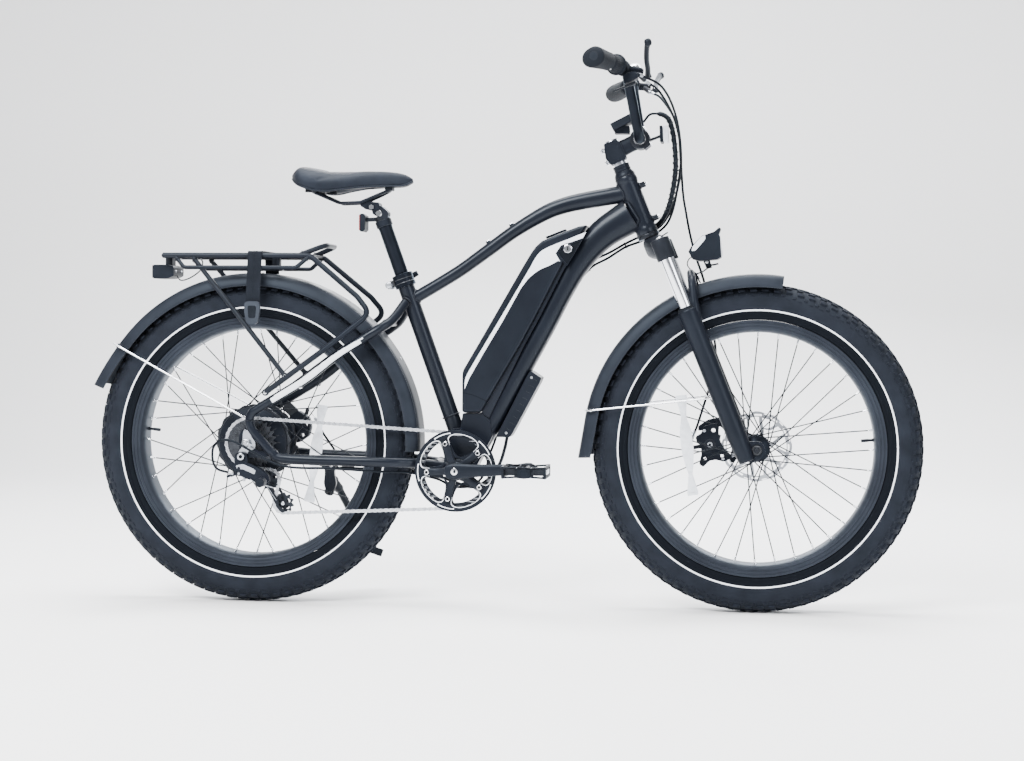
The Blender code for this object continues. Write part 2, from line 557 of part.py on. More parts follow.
def belt(pulleys, step):
    """The chain's loop: arcs round the wheels, joined by the lines that touch both. turn is 1 anticlockwise seen from the right."""
    leaving, arriving = [], []
    for (c1, r1, s1, _), (c2, r2, s2, _) in zip(pulleys, pulleys[1:] + pulleys[:1]):
        dx, dz = c2.x - c1.x, c2.z - c1.z
        phi = math.atan2(dz, dx) - math.asin((s2 * r2 - s1 * r1) / sqrt(dx * dx + dz * dz))
        leaving.append(math.atan2(-s1 * cos(phi), s1 * sin(phi)))
        arriving.append(math.atan2(-s2 * cos(phi), s2 * sin(phi)))
    path = []
    for i, (c, r, s, y) in enumerate(pulleys):
        a, b = arriving[i - 1], leaving[i]
        sweep = (b - a) * s % (2 * pi) * s
        count = max(2, round(abs(sweep) / step))
        for k in range(count + 1):
            t = a + sweep * k / count
            path.append(Vector((c.x + r * cos(t), y, c.z + r * sin(t))))
    return path


chain_path = belt(PULLEYS, radians(13))
emit("chain", strip(chain_path, 0.0040, 0.0034, closed=True), "chrome", (0.24, RING_Y, 0.312))

core = ring_r * cos(radians(6.8)) - 0.0046
ring_profile = [(0.0230, -0.0800), (0.0905, -0.0800), (0.0922, -0.0780), (0.0905, -0.0755), (core, -0.0752), (core, -0.0680), (0.0230, -0.0680)]
emit("chainring", lathe(ring_profile, BB, ring=True, sides=32), "black_alloy", BB, crank_spin)
TILT = radians(3.0)      # the right arm points a little above the horizontal
ARM = Vector((cos(TILT), 0, sin(TILT)))
pedal_right_at = BB + ARM * CRANK - Y * 0.120
pedal_left_at = BB - ARM * CRANK + Y * 0.120


def crank_arm(sign):
    """An arm forward and a little up on the right (sign -1), back and a little down on the left."""
    d = -sign
    outline = [(-0.020, -0.016), (0.012, -0.0175), (0.150, -0.0125), (CRANK + 0.006, -0.0140), (CRANK + 0.0155, 0.0), (CRANK + 0.006, 0.0140), (0.150, 0.0125), (0.012, 0.0175), (-0.020, 0.016), (-0.026, 0.0)]
    def place(x, y, z):
        out = 0.018 * max(0.0, min(1.0, x / CRANK))
        return BB + ARM * (d * x) + Vector((-sin(TILT), 0, cos(TILT))) * z + Y * (sign * (y + out))
    return rings([[place(x, low, z) for x, z in outline] for low in (0.0860, 0.0990)])


right = joined([crank_arm(-1), cylinder(BB - Y * 0.090, BB + Y * 0.0985, 0.0085, 12), cylinder(BB - Y * 0.0870, BB - Y * 0.0660, 0.0220, 16),
                cylinder(pedal_right_at + Y * 0.010, pedal_right_at - Y * 0.098, 0.0050, 10)])
emit("crank_right", right, "black_alloy", BB, crank_spin)
left = joined([crank_arm(1), cylinder(pedal_left_at - Y * 0.010, pedal_left_at + Y * 0.098, 0.0050, 10)], [cylinder(BB + Y * 0.070, BB + Y * 0.120, 0.0090, 12)])
emit("crank_left", left, "black_alloy", BB, crank_spin)


def pedal(centre, sign):
    low, high = 0.0030, 0.1030
    c = centre
    body = bevelled(box(c + Y * sign * (low + high) / 2, (0.100, high - low, 0.028)), 0.006)
    windows = [box(c + Y * sign * y + X * x, (0.022, 0.030, 0.06)) for x in (-0.027, 0.027) for y in (0.030, 0.072)]
    return joined([body], [*windows, cylinder(c - Y * 0.2, c + Y * 0.2, 0.0056, 10)])


pr = holder("pedal_right_axis", pedal_right_at, Y, crank_spin)
pl = holder("pedal_left_axis", pedal_left_at, Y, crank_spin)
emit("pedal_right", pedal(pedal_right_at, -1), "plastic", pedal_right_at, pr)
emit("pedal_left", pedal(pedal_left_at, 1), "plastic", pedal_left_at, pl)

# seven cogs on one carrier: the chain is on the largest
profile = [(0.0168, -0.0540), (0.0300, -0.0540), (0.0300, -0.0572), (cog_r * cos(radians(6.8)) - 0.0046, -0.0572), (cog_r * cos(radians(6.8)) - 0.0046, -0.0628),
           (0.0440, -0.0640), (0.0380, -0.0725), (0.0245, -0.0850), (0.0168, -0.0850)]
emit("freewheel", lathe(profile, REAR, ring=True, sides=24), "steel", REAR, rear_spin)

# derailleur
dera = holder("derailleur_slide", (0.0, -0.098, 0.318), Y)
body = joined([
    bevelled(prism([(-0.026, 0.3255), (0.012, 0.3225), (0.058, 0.300), (0.056, 0.282), (0.036, 0.276), (-0.014, 0.292), (-0.028, 0.308)], -0.1120, -0.0905), 0.004),
    cylinder((GUIDE.x, -0.1000, GUIDE.z), (GUIDE.x, -0.0700, GUIDE.z), 0.0100, 10),
    cylinder((-0.010, -0.1160, 0.339), (-0.010, -0.0975, 0.339), 0.0085, 10),
    prism([(-0.020, 0.345), (0.0, 0.345), (0.002, 0.318), (-0.022, 0.318)], -0.1080, -0.0975),
])
emit("derailleur_body", body, "black_alloy", GUIDE, dera)
cage_axis = holder("derailleur_cage_axis", GUIDE, Y, dera)


def cage_plate(low, high):
    d = (TENSION - GUIDE).normalized()
    n = Vector((d.z, 0, -d.x))
    pts = [GUIDE - d * 0.012 + n * 0.007, GUIDE - d * 0.012 - n * 0.007, GUIDE - n * 0.0125, TENSION - n * 0.0105, TENSION + d * 0.0125 - n * 0.005, TENSION + d * 0.0125 + n * 0.005, TENSION + n * 0.0105, GUIDE + n * 0.0125]
    return prism([(p.x, p.z) for p in pts], low, high)


cage = joined([cage_plate(-0.0552, -0.0540), cage_plate(-0.0672, -0.0656),
               cylinder((GUIDE.x, -0.0685, GUIDE.z), (GUIDE.x, -0.0530, GUIDE.z), 0.0030, 8), cylinder((TENSION.x, -0.0685, TENSION.z), (TENSION.x, -0.0530, TENSION.z), 0.0030, 8)])
emit("derailleur_cage", cage, "black_alloy", GUIDE, cage_axis)
jockey_core = jockey_r * cos(radians(6.8)) - 0.0046


def jockey(centre):
    return lathe([(0.0036, -0.0030), (jockey_core, -0.0030), (jockey_core, 0.0030), (0.0036, 0.0030)], centre, sides=16, ring=True)


up_axis = holder("upper_pulley_axis", GUIDE, Y, cage_axis)
low_axis = holder("lower_pulley_axis", TENSION, Y, cage_axis)
emit("upper_pulley", jockey(GUIDE), "plastic", GUIDE, up_axis)
emit("lower_pulley", jockey(TENSION), "plastic", TENSION, low_axis)

# rear brake
rear_cal = joined(
    [bevelled(prism([(0.052, 0.372), (0.082, 0.356), (0.114, 0.392), (0.112, 0.420), (0.084, 0.440), (0.058, 0.420)], 0.0525, 0.0800), 0.004)],
    [lathe([(0.0830, 0.0565), (0.0830, 0.0635)], REAR, sides=36)],
)
emit("rear_caliper", rear_cal, "black_alloy", (0.085, 0.06, 0.398))
arm_at = Vector((0.090, 0.0803, 0.400))
arm_axis = holder("rear_caliper_arm_axis", arm_at, Y)
emit("rear_caliper_arm", joined([cylinder(arm_at + Y * 0.0003, arm_at + Y * 0.0065, 0.0080, 10),
                                 strip([arm_at + Y * 0.0035, arm_at + Y * 0.0035 + Vector((0.010, 0, 0.040))], 0.0045, 0.0020)]), "black_alloy", arm_at, arm_axis)


# ---- rack, mudguards, lamp ----
def both(shape):
    return [shape, mirrored(shape)]


SIDE_RAIL = rounded([(-0.203, -0.070, 0.794), (0.139, -0.070, 0.794), (0.250, -0.082, 0.702), (0.281, -0.091, 0.664), (0.174, -0.100, 0.579), (0.046, -0.1085, 0.485)], 0.024, 2)
LOW_RAIL = rounded([(-0.172, -0.072, 0.790), (-0.152, -0.078, 0.7665), (0.108, -0.078, 0.7665), (0.135, -0.072, 0.790)], 0.012, 1)
REAR_STRUT = [(-0.132, -0.071, 0.789), (0.090, -0.1045, 0.522)]
HOOP = rounded([(0.116, 0.068, 0.796), (0.172, 0.055, 0.818), (0.172, -0.055, 0.818), (0.116, -0.068, 0.796)], 0.02, 2)
rack = joined([
    tube(SIDE_RAIL, 0.0064, 6), mirrored(tube(SIDE_RAIL, 0.0064, 6)),
    *both(tube(LOW_RAIL, 0.0048, 6)), *both(tube(REAR_STRUT, 0.0057, 6)), tube(HOOP, 0.0059, 6, ref=Z),
    *[box((x, 0, 0.7945), (w, 0.140, 0.006)) for x, w in ((-0.203, 0.012), (-0.130, 0.022), (-0.045, 0.022), (0.060, 0.022), (0.134, 0.012))],
    box((0.045, 0, 0.7795), (0.018, 0.018, 0.030)),
])
emit("rear_rack", rack, "satin_black", (0, 0, 0.794))
lamp = joined([bevelled(box((-0.2125, 0, 0.757), (0.053, 0.084, 0.034)), 0.006), box((-0.2060, 0, 0.7810), (0.018, 0.030, 0.0190))])
emit("tail_light", lamp, "red_lens", (-0.2125, 0, 0.757))


def mudguard(centre, start, end, radius, flare_at_end, steps):
    """A curved blade with deep sides round the tyre, from one angle to the other, its tip flared outward."""
    half = [(-0.030, 0.0605), (-0.0045, 0.0480), (0.0, 0.0220)]
    inner = [(-0.0024, 0.0215), (-0.0066, 0.0465), (-0.030, 0.0582)]
    sections = []
    for k in range(steps + 1):
        t = k / steps
        a = radians(start + (end - start) * t)
        e = max(0.0, 1 - (1 - t) * 8) if flare_at_end else 0.0
        r = radius + 0.011 * e * e
        up = Vector((cos(a), 0, sin(a)))
        left = [(h, w) for h, w in half] + [(h, -w) for h, w in reversed(half)]
        right_side = [(h, -w) for h, w in reversed(inner)] + [(h, w) for h, w in inner]
        sections.append([centre + up * (r + h) + Y * w for h, w in left + right_side])
    return rings(sections)


emit("rear_fender", mudguard(REAR, -2.5, 161.0, 0.3875, True, 24), "fender_black", (0, 0, AXLE_Z))
emit("front_fender", mudguard(FRONT, 81.5, 183.6, 0.3895, True, 16), "fender_black", FRONT, fork_slide)

strap_points = [(0.0135, -0.1030, 0.670), (0.0135, -0.0855, 0.762), (0.0135, -0.0800, 0.7960), (0.0135, -0.0730, 0.8030), (0.0135, 0.0730, 0.8030), (0.0135, 0.0800, 0.7960), (0.0135, 0.0855, 0.762), (0.0135, 0.1030, 0.670)]
strap = joined([strip(strap_points, 0.0012, 0.0165, ref=X), *both(bevelled(box((0.0140, -0.1040, 0.664), (0.036, 0.0100, 0.054)), 0.0035))])
emit("rack_strap", strap, "webbing", (0.0135, 0, 0.8030))


# ---- fork, stem, bars ----
def steer_prism(outline, low, high):
    return prism(outline, low, high, lambda v, y, w: S(v, y, w))


crown = joined([
    lathe([(STEERER_R, 0.148), (STEERER_R, 0.0885), (0.0195, 0.0885), (0.0195, 0.0640), (0.0240, 0.0606), (0.0240, 0.0603), (STEERER_R, 0.0603),
           (STEERER_R, -0.0783), (0.0240, -0.0783), (0.0250, -0.0880)], HEAD, STEER_AXIS, 16),
    bevelled(steer_prism([(-0.024, -0.0860), (0.030, -0.0860), (0.036, -0.100), (0.036, -0.140), (0.010, -0.150), (-0.010, -0.128), (-0.024, -0.105)], -0.030, 0.030), 0.004),
    bevelled(box(S(0.0185, 0, -0.1260), (0.040, 0.196, 0.040), (STEER_FORWARD, Y, STEER_AXIS)), 0.008),
    *both(cylinder(S(FORK_V, -STANCHION_Y, -0.104), S(FORK_V, -STANCHION_Y, -0.420), STANCHION_R, 12)),
])
emit("fork_crown", crown, "black_alloy", HEAD, steering)
lower = [(LOWER_R, -0.2700), (LOWER_R, -0.300), (LOWER_R, -0.560), (0.0185, -0.6320)]
lowers = joined(
    [
        *both(lathe([(0.0205, -0.2660), (LOWER_R, -0.2720), (LOWER_R, -0.5600), (0.0185, -0.6300)], HEAD + STEER_FORWARD * FORK_V - Y * STANCHION_Y, STEER_AXIS, 12)),
        *both(steer_prism([(0.010, -0.575), (0.040, -0.590), (0.068, -0.606), (0.068, -0.628), (0.040, -0.640), (0.010, -0.630)], -0.0780, -0.0690)),
        tube(rounded([S(0.034, -0.080, -0.298), S(0.056, -0.074, -0.215), S(0.058, 0, -0.196), S(0.056, 0.074, -0.215), S(0.034, 0.080, -0.298)], 0.03, 3), 0.0095, 8, ref=STEER_FORWARD),
    ],
    [*both(cylinder(S(FORK_V, -STANCHION_Y, -0.200), S(FORK_V, -STANCHION_Y, -0.520), STANCHION_R + 0.0006, 12)),
     cylinder(FRONT - Y * 0.12, FRONT + Y * 0.12, 0.0056, 12),
     lathe([(0.0120, 0.0779), (0.0120, 0.1200)], FRONT, sides=16), lathe([(0.0120, -0.1200), (0.0120, -0.0779)], FRONT, sides=16)],
)
emit("fork_lowers", lowers, "satin_black", S(FORK_V, 0, -0.27), fork_slide)

stem = joined(
    [
        bevelled(steer_prism([(-0.030, 0.110), (-0.017, 0.1495), (0.020, 0.1400), (0.024, 0.0900), (-0.020, 0.0892)], -0.0215, 0.0215), 0.003),
        steer_prism([(0.010, 0.100), (0.010, 0.140), (0.060, 0.147), (0.060, 0.103)], -0.0170, 0.0170),
        cylinder(S(0.062, -0.026, 0.125), S(0.062, 0.026, 0.125), 0.0225, 16),
        steer_prism([(0.076, 0.121), (0.110, 0.119), (0.110, 0.111), (0.076, 0.112)], -0.010, 0.010),
        bevelled(steer_prism([(0.1010, 0.101), (0.113, 0.135), (0.131, 0.128), (0.119, 0.095)], -0.0290, 0.0290), 0.003),
    ],
    [cylinder(S(0, 0, 0.080), S(0, 0, 0.160), STEERER_R + 0.0005, 16), cylinder(S(0.062, -0.05, 0.125), S(0.062, 0.05, 0.125), BAR_CLAMP_R + 0.0004, 16)],
)
emit("stem", stem, "black_alloy", S(0, 0, 0.119), steering)
BAR_HALF = [(0.062, 0.0, 0.125), (0.062, 0.038, 0.125), (0.066, 0.066, 0.142), (0.084, 0.098, 0.232), (0.091, 0.118, 0.262), (0.088, 0.150, 0.266), (0.078, 0.205, 0.2715), (0.044, 0.340, 0.2870)]
GRIP_A, GRIP_B = Vector((0.078, 0.205, 0.2715)), Vector((0.044, 0.340, 0.2870))


def bar_point(y):
    """The handlebar's middle in its straight outer part."""
    if y < 0.205:
        t = (y - 0.150) / 0.055
        a, b = Vector((0.088, 0.150, 0.266)), GRIP_A
    else:
        t = (y - 0.205) / 0.135
        a, b = GRIP_A, GRIP_B
    return a + (b - a) * t


half = [S(*p) for p in BAR_HALF]
bar_path = [Vector((p.x, -p.y, p.z)) for p in reversed(half[1:])] + half[1:]
sizes = [BAR_R] * (len(half) - 2) + [BAR_CLAMP_R, BAR_CLAMP_R] + [BAR_R] * (len(half) - 2)
emit("handlebar", tube(bar_path, sizes, 12, ref=STEER_FORWARD), "black_alloy", S(0.062, 0, 0.125), steering)


def side_point(p, sign):
    return S(p.x, sign * p.y, p.z)


def hollow(y0, y1, sign, outer0, outer1, inner=BAR_R + 0.0004, sides=12):
    """A sleeve on the bar between two distances from the middle."""
    a, b = side_point(bar_point(y0), sign), side_point(bar_point(y1), sign)
    length = (b - a).length
    return lathe([(outer0, 0), (outer1, length), (inner, length), (inner, 0)], a, b - a, sides, ring=True, first=STEER_FORWARD)


def grip(y0, sign):
    a, b = side_point(bar_point(y0), sign), side_point(bar_point(0.340), sign)
    length = (b - a).length
    shape = lathe([(0.0165, 0), (0.0175, length * 0.35), (0.0185, length * 0.75), (0.0190, length), (0.0185, length + 0.0050), (0.0100, length + 0.0055), (0.0100, length + 0.0025),
                   (BAR_R + 0.0004, length + 0.0005), (BAR_R + 0.0004, 0)], a, b - a, 12, ring=True, first=STEER_FORWARD)
    # a palm rest behind the bar, widest at its outer end
    across = (b - a).normalized()
    back = (-STEER_FORWARD - across * across.dot(-STEER_FORWARD)).normalized()
    rise = across.cross(back)
    points = []
    for p in shape[0]:
        t = max(0.0, min(1.0, (p - a).dot(across) / length))
        off = (p - a).dot(back)
        radial = ((p - a) - across * (p - a).dot(across)).length
        points.append(p + back * (0.009 * t if off > 0.004 and radial > 0.0145 else 0.0))
    return points, shape[1]


emit("grip_left", grip(0.206, 1), "grip_rubber", side_point(bar_point(0.21), 1), steering)
emit("grip_right", grip(0.258, -1), "grip_rubber", side_point(bar_point(0.258), -1), steering)
throttle_at = side_point(bar_point(0.206), -1)
throttle_dir = (side_point(bar_point(0.25), -1) - throttle_at).normalized()
throttle_axis = holder("throttle_axis", throttle_at, throttle_dir, steering)
length = (side_point(bar_point(0.2565), -1) - throttle_at).length
emit("throttle", lathe([(0.0230, 0), (0.0230, 0.004), (0.0180, 0.0065), (0.0175, length), (BAR_R + 0.0004, length), (BAR_R + 0.0004, 0)], throttle_at, throttle_dir, 12, ring=True, first=STEER_FORWARD),
     "grip_rubber", throttle_at, throttle_axis)
LEVER_PIVOT = Vector((0.128, 0.146, 0.232))


def perch(sign):
    """The clamp round the bar with the brake lever's mount in front, and on the right the gear shifter's pod below."""
    ring = hollow(0.152, 0.168, sign, 0.0175, 0.0175)
    pivot = side_point(LEVER_PIVOT, sign)
    reach = strip([side_point(Vector((0.102, 0.158, 0.256)), sign), side_point(Vector((0.116, 0.152, 0.244)), sign), side_point(Vector((0.1195, 0.150, 0.2445)), sign)], 0.008, 0.0040, ref=STEER_AXIS)
    barrel = cylinder(side_point(Vector((0.112, 0.148, 0.246)), sign), side_point(Vector((0.122, 0.112, 0.228)), sign), 0.0060, 8)
    parts = [ring, reach, barrel]
    if sign < 0:
        parts.append(bevelled(box(S(0.094, -0.178, 0.238), (0.034, 0.030, 0.020), (STEER_FORWARD, Y, STEER_AXIS)), 0.004))
        parts.append(box(S(0.090, -0.168, 0.247), (0.016, 0.020, 0.016), (STEER_FORWARD, Y, STEER_AXIS)))
    cut = [cylinder(side_point(bar_point(0.12), sign), side_point(bar_point(0.20), sign), BAR_R + 0.0004, 12)]
    return joined(parts, cut)


emit("brake_perch_left", perch(1), "black_alloy", side_point(bar_point(0.16), 1), steering)
emit("brake_perch_right", perch(-1), "black_alloy", side_point(bar_point(0.16), -1), steering)
for name, sign in (("left", 1), ("right", -1)):
    pivot = side_point(LEVER_PIVOT, sign)
    axis = holder("brake_lever_%s_axis" % name, pivot, STEER_AXIS, steering)
    blade = [(0.1300, 0.1460, 0.2320), (0.136, 0.176, 0.242), (0.141, 0.215, 0.256), (0.150, 0.262, 0.271), (0.156, 0.286, 0.277)]
    shape = joined([
        strip([side_point(Vector(p), sign) for p in blade], 0.0060, 0.0042, ref=STEER_FORWARD),
        lathe([(0.0065, -0.0060), (0.0065, 0.0050)], pivot + STEER_FORWARD * 0.0035, STEER_AXIS, 10),
        lathe([(0.0045, -0.0080), (0.0080, -0.0045), (0.0080, 0.0045), (0.0045, 0.0080)], side_point(Vector((0.157, 0.290, 0.278)), sign), STEER_AXIS, 8),
    ])
    emit("brake_lever_%s" % name, shape, "black_alloy", pivot, axis)
shift_at = S(0.094, -0.178, 0.2270)
shift_axis = holder("shift_lever_axis", shift_at, STEER_AXIS, steering)
emit("shift_lever", joined([lathe([(0.0080, -0.0050), (0.0080, 0.0005)], shift_at, STEER_AXIS, 10),
                            strip([S(0.094, -0.178, 0.2245), S(0.066, -0.196, 0.2225), S(0.052, -0.206, 0.2215)], 0.0060, 0.0020, ref=STEER_AXIS)]), "plastic", shift_at, shift_axis)
display_at = S(0.0350, 0, 0.1660)
display = joined([bevelled(box(display_at + Z * 0.012, (0.050, 0.066, 0.0215)), 0.004), bevelled(box(display_at - Z * 0.006, (0.034, 0.034, 0.020)), 0.003)])
emit("display", display, "plastic", display_at, steering)
bell_at = S(0.104, 0.112, 0.290)
bell = joined([lathe([(0.0170, 0.000), (0.0165, 0.006), (0.0125, 0.012), (0.0050, 0.015)], bell_at, STEER_AXIS, 16), cylinder(bell_at - STEER_AXIS * 0.0140, bell_at + STEER_AXIS * 0.004, 0.0060, 10)])
emit("bell", bell, "chrome", bell_at, steering)

front_cal = joined(
    [bevelled(steer_prism([(-0.0045, -0.5350), (-0.048, -0.526), (-0.082, -0.560), (-0.084, -0.612), (-0.050, -0.630), (-0.0045, -0.6150)], 0.0400, 0.0720), 0.004)],
    [lathe([(0.0830, 0.0495), (0.0830, 0.0560)], FRONT, sides=36)],
)
emit("front_caliper", front_cal, "black_alloy", S(-0.04, 0.056, -0.58), fork_slide)
arm_at = S(-0.046, 0.0723, -0.572)
arm_axis = holder("front_caliper_arm_axis", arm_at, Y, fork_slide)
emit("front_caliper_arm", joined([cylinder(arm_at + Y * 0.0003, arm_at + Y * 0.0065, 0.0080, 10),
                                  strip([arm_at + Y * 0.0035, arm_at + Y * 0.0035 - STEER_FORWARD * 0.040 + STEER_AXIS * 0.006], 0.0045, 0.0020)]), "black_alloy", arm_at, arm_axis)
light_at = S(0.100, 0, -0.186)
light_axis = holder("headlight_axis", light_at, Y, fork_slide)
headlight = joined([
    bevelled(steer_prism([(0.090, -0.107), (0.143, -0.126), (0.153, -0.134), (0.131, -0.191), (0.124, -0.190), (0.070, -0.168), (0.072, -0.128)], -0.0330, 0.0330), 0.005),
    steer_prism([(0.072, -0.172), (0.110, -0.172), (0.110, -0.200), (0.0720, -0.1990)], -0.0120, 0.0120),
])
emit("headlight", headlight, "lamp_housing", light_at, light_axis)


# ---- cables held along their routes ----
def cable(name, points, radius, parent=None, look="cable_jacket", step=2):
    path = smooth(points, step)
    curve = bpy.data.curves.new(name, "CURVE")
    curve.dimensions = "3D"
    curve.bevel_depth, curve.bevel_resolution, curve.use_fill_caps = radius, 1, True
    spline = curve.splines.new("POLY")
    spline.points.add(len(path) - 1)
    for point, p in zip(spline.points, path):
        point.co = (p.x - ORIGIN_X, p.y, p.z, 1.0)
    curve.materials.append(paint(look))
    obj = bpy.data.objects.new(name, curve)
    bpy.context.scene.collection.objects.link(obj)
    if parent is not None:
        obj.parent = parent
        obj.matrix_parent_inverse = HOLDERS[parent.name].inverted()
    return obj


def P(v, y, w):
    return tuple(S(v, y, w))


cable("rear_brake_cable", [P(0.1228, -0.1095, 0.2267), P(0.142, -0.075, 0.196), P(0.149, -0.005, 0.130), P(0.130, 0.020, 0.050), P(0.095, 0.030, -0.012), P(0.060, 0.033, -0.052), P(0.026, 0.036, -0.072), (0.880, 0.0370, 0.843), (0.845, 0.0355, 0.826), (0.810, 0.0345, 0.806),
      (0.775, 0.0350, 0.790), (0.745, 0.0350, 0.770), (0.706, 0.0350, 0.717), (0.667, 0.0350, 0.645), (0.633, 0.0350, 0.582), (0.590, 0.0350, 0.504), (0.560, 0.0380, 0.440), (0.535, 0.0460, 0.385), (0.520, 0.0480, 0.345), (0.505, 0.0480, 0.305), (0.478, 0.0490, 0.280), (0.436, 0.0500, 0.298), (0.372, 0.060, 0.308), (0.320, 0.078, 0.309), (0.200, 0.1000, 0.317), (0.170, 0.1130, 0.328), (0.150, 0.1165, 0.352), (0.122, 0.100, 0.400), (0.108, 0.0838, 0.442)], 0.0025)
cable("shift_cable", [P(0.1136, -0.178, 0.238), P(0.150, -0.130, 0.200), P(0.155, -0.040, 0.140), P(0.134, 0.008, 0.060), P(0.100, 0.020, -0.004), P(0.066, 0.027, -0.054), P(0.034, 0.032, -0.0775), (0.884, 0.0310, 0.833), (0.846, 0.0290, 0.818), (0.806, 0.0310, 0.793),
      (0.772, 0.0345, 0.775), (0.748, 0.0345, 0.751), (0.7160, 0.0345, 0.7130), (0.6775, 0.0345, 0.6395), (0.6433, 0.0345, 0.5765), (0.6000, 0.0345, 0.4980), (0.5690, 0.0360, 0.434), (0.5480, 0.0390, 0.372), (0.536, 0.0400, 0.340), (0.5240, 0.0330, 0.2960), (0.500, 0.008, 0.2720), (0.462, -0.030, 0.2730), (0.430, -0.0450, 0.2900), (0.372, -0.0560, 0.304), (0.330, -0.0700, 0.307), (0.300, -0.0800, 0.308), (0.200, -0.1130, 0.316), (0.080, -0.1160, 0.322), (-0.030, -0.1150, 0.375), (-0.072, -0.1120, 0.362),
      (-0.070, -0.1080, 0.315), (-0.0295, -0.1030, 0.300)], 0.0025)
cable("front_brake_cable", [P(0.1228, 0.1095, 0.2267), P(0.140, 0.088, 0.200), P(0.150, 0.052, 0.130), P(0.128, 0.040, 0.050), P(0.106, 0.042, -0.020), P(0.096, 0.046, -0.064), P(0.086, 0.058, -0.115), P(0.080, 0.070, -0.165), P(0.076, 0.080, -0.225), P(0.060, 0.090, -0.300), P(0.034, 0.1090, -0.400), P(-0.040, 0.096, -0.500), P(-0.088, 0.0790, -0.556)], 0.0025, steering)
cable("main_harness", [P(0.082, 0.012, 0.160), P(0.108, 0.012, 0.170), P(0.138, 0.006, 0.140), P(0.118, -0.012, 0.050), P(0.080, -0.002, -0.020), P(0.046, 0.020, -0.056), P(0.016, 0.0365, -0.066), (0.869, 0.0420, 0.861), (0.840, 0.0380, 0.852), (0.815, 0.0355, 0.846)], 0.0045)
cable("motor_cable", [(0.5800, 0.0150, 0.3860), (0.5730, 0.024, 0.356), (0.5580, 0.044, 0.318), (0.5300, 0.0540, 0.282), (0.490, 0.0550, 0.265), (0.430, 0.058, 0.284), (0.372, 0.066, 0.296), (0.300, 0.080, 0.300), (0.220, 0.0960, 0.3000), (0.185, 0.1080, 0.300), (0.150, 0.1130, 0.300), (0.100, 0.1160, 0.3160), (0.040, 0.1175, 0.3500), (0.0180, 0.1150, 0.3680)], 0.0035)
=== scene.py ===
"""Electric bicycle with fat tyres: the looks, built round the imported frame.

Geometry is written in bicycle coordinates (x = 0 at the rear axle, metres) and moved by ORIGIN_X when an object is made.
"""
import json
import math
import random
from math import cos, pi, radians, sin, sqrt

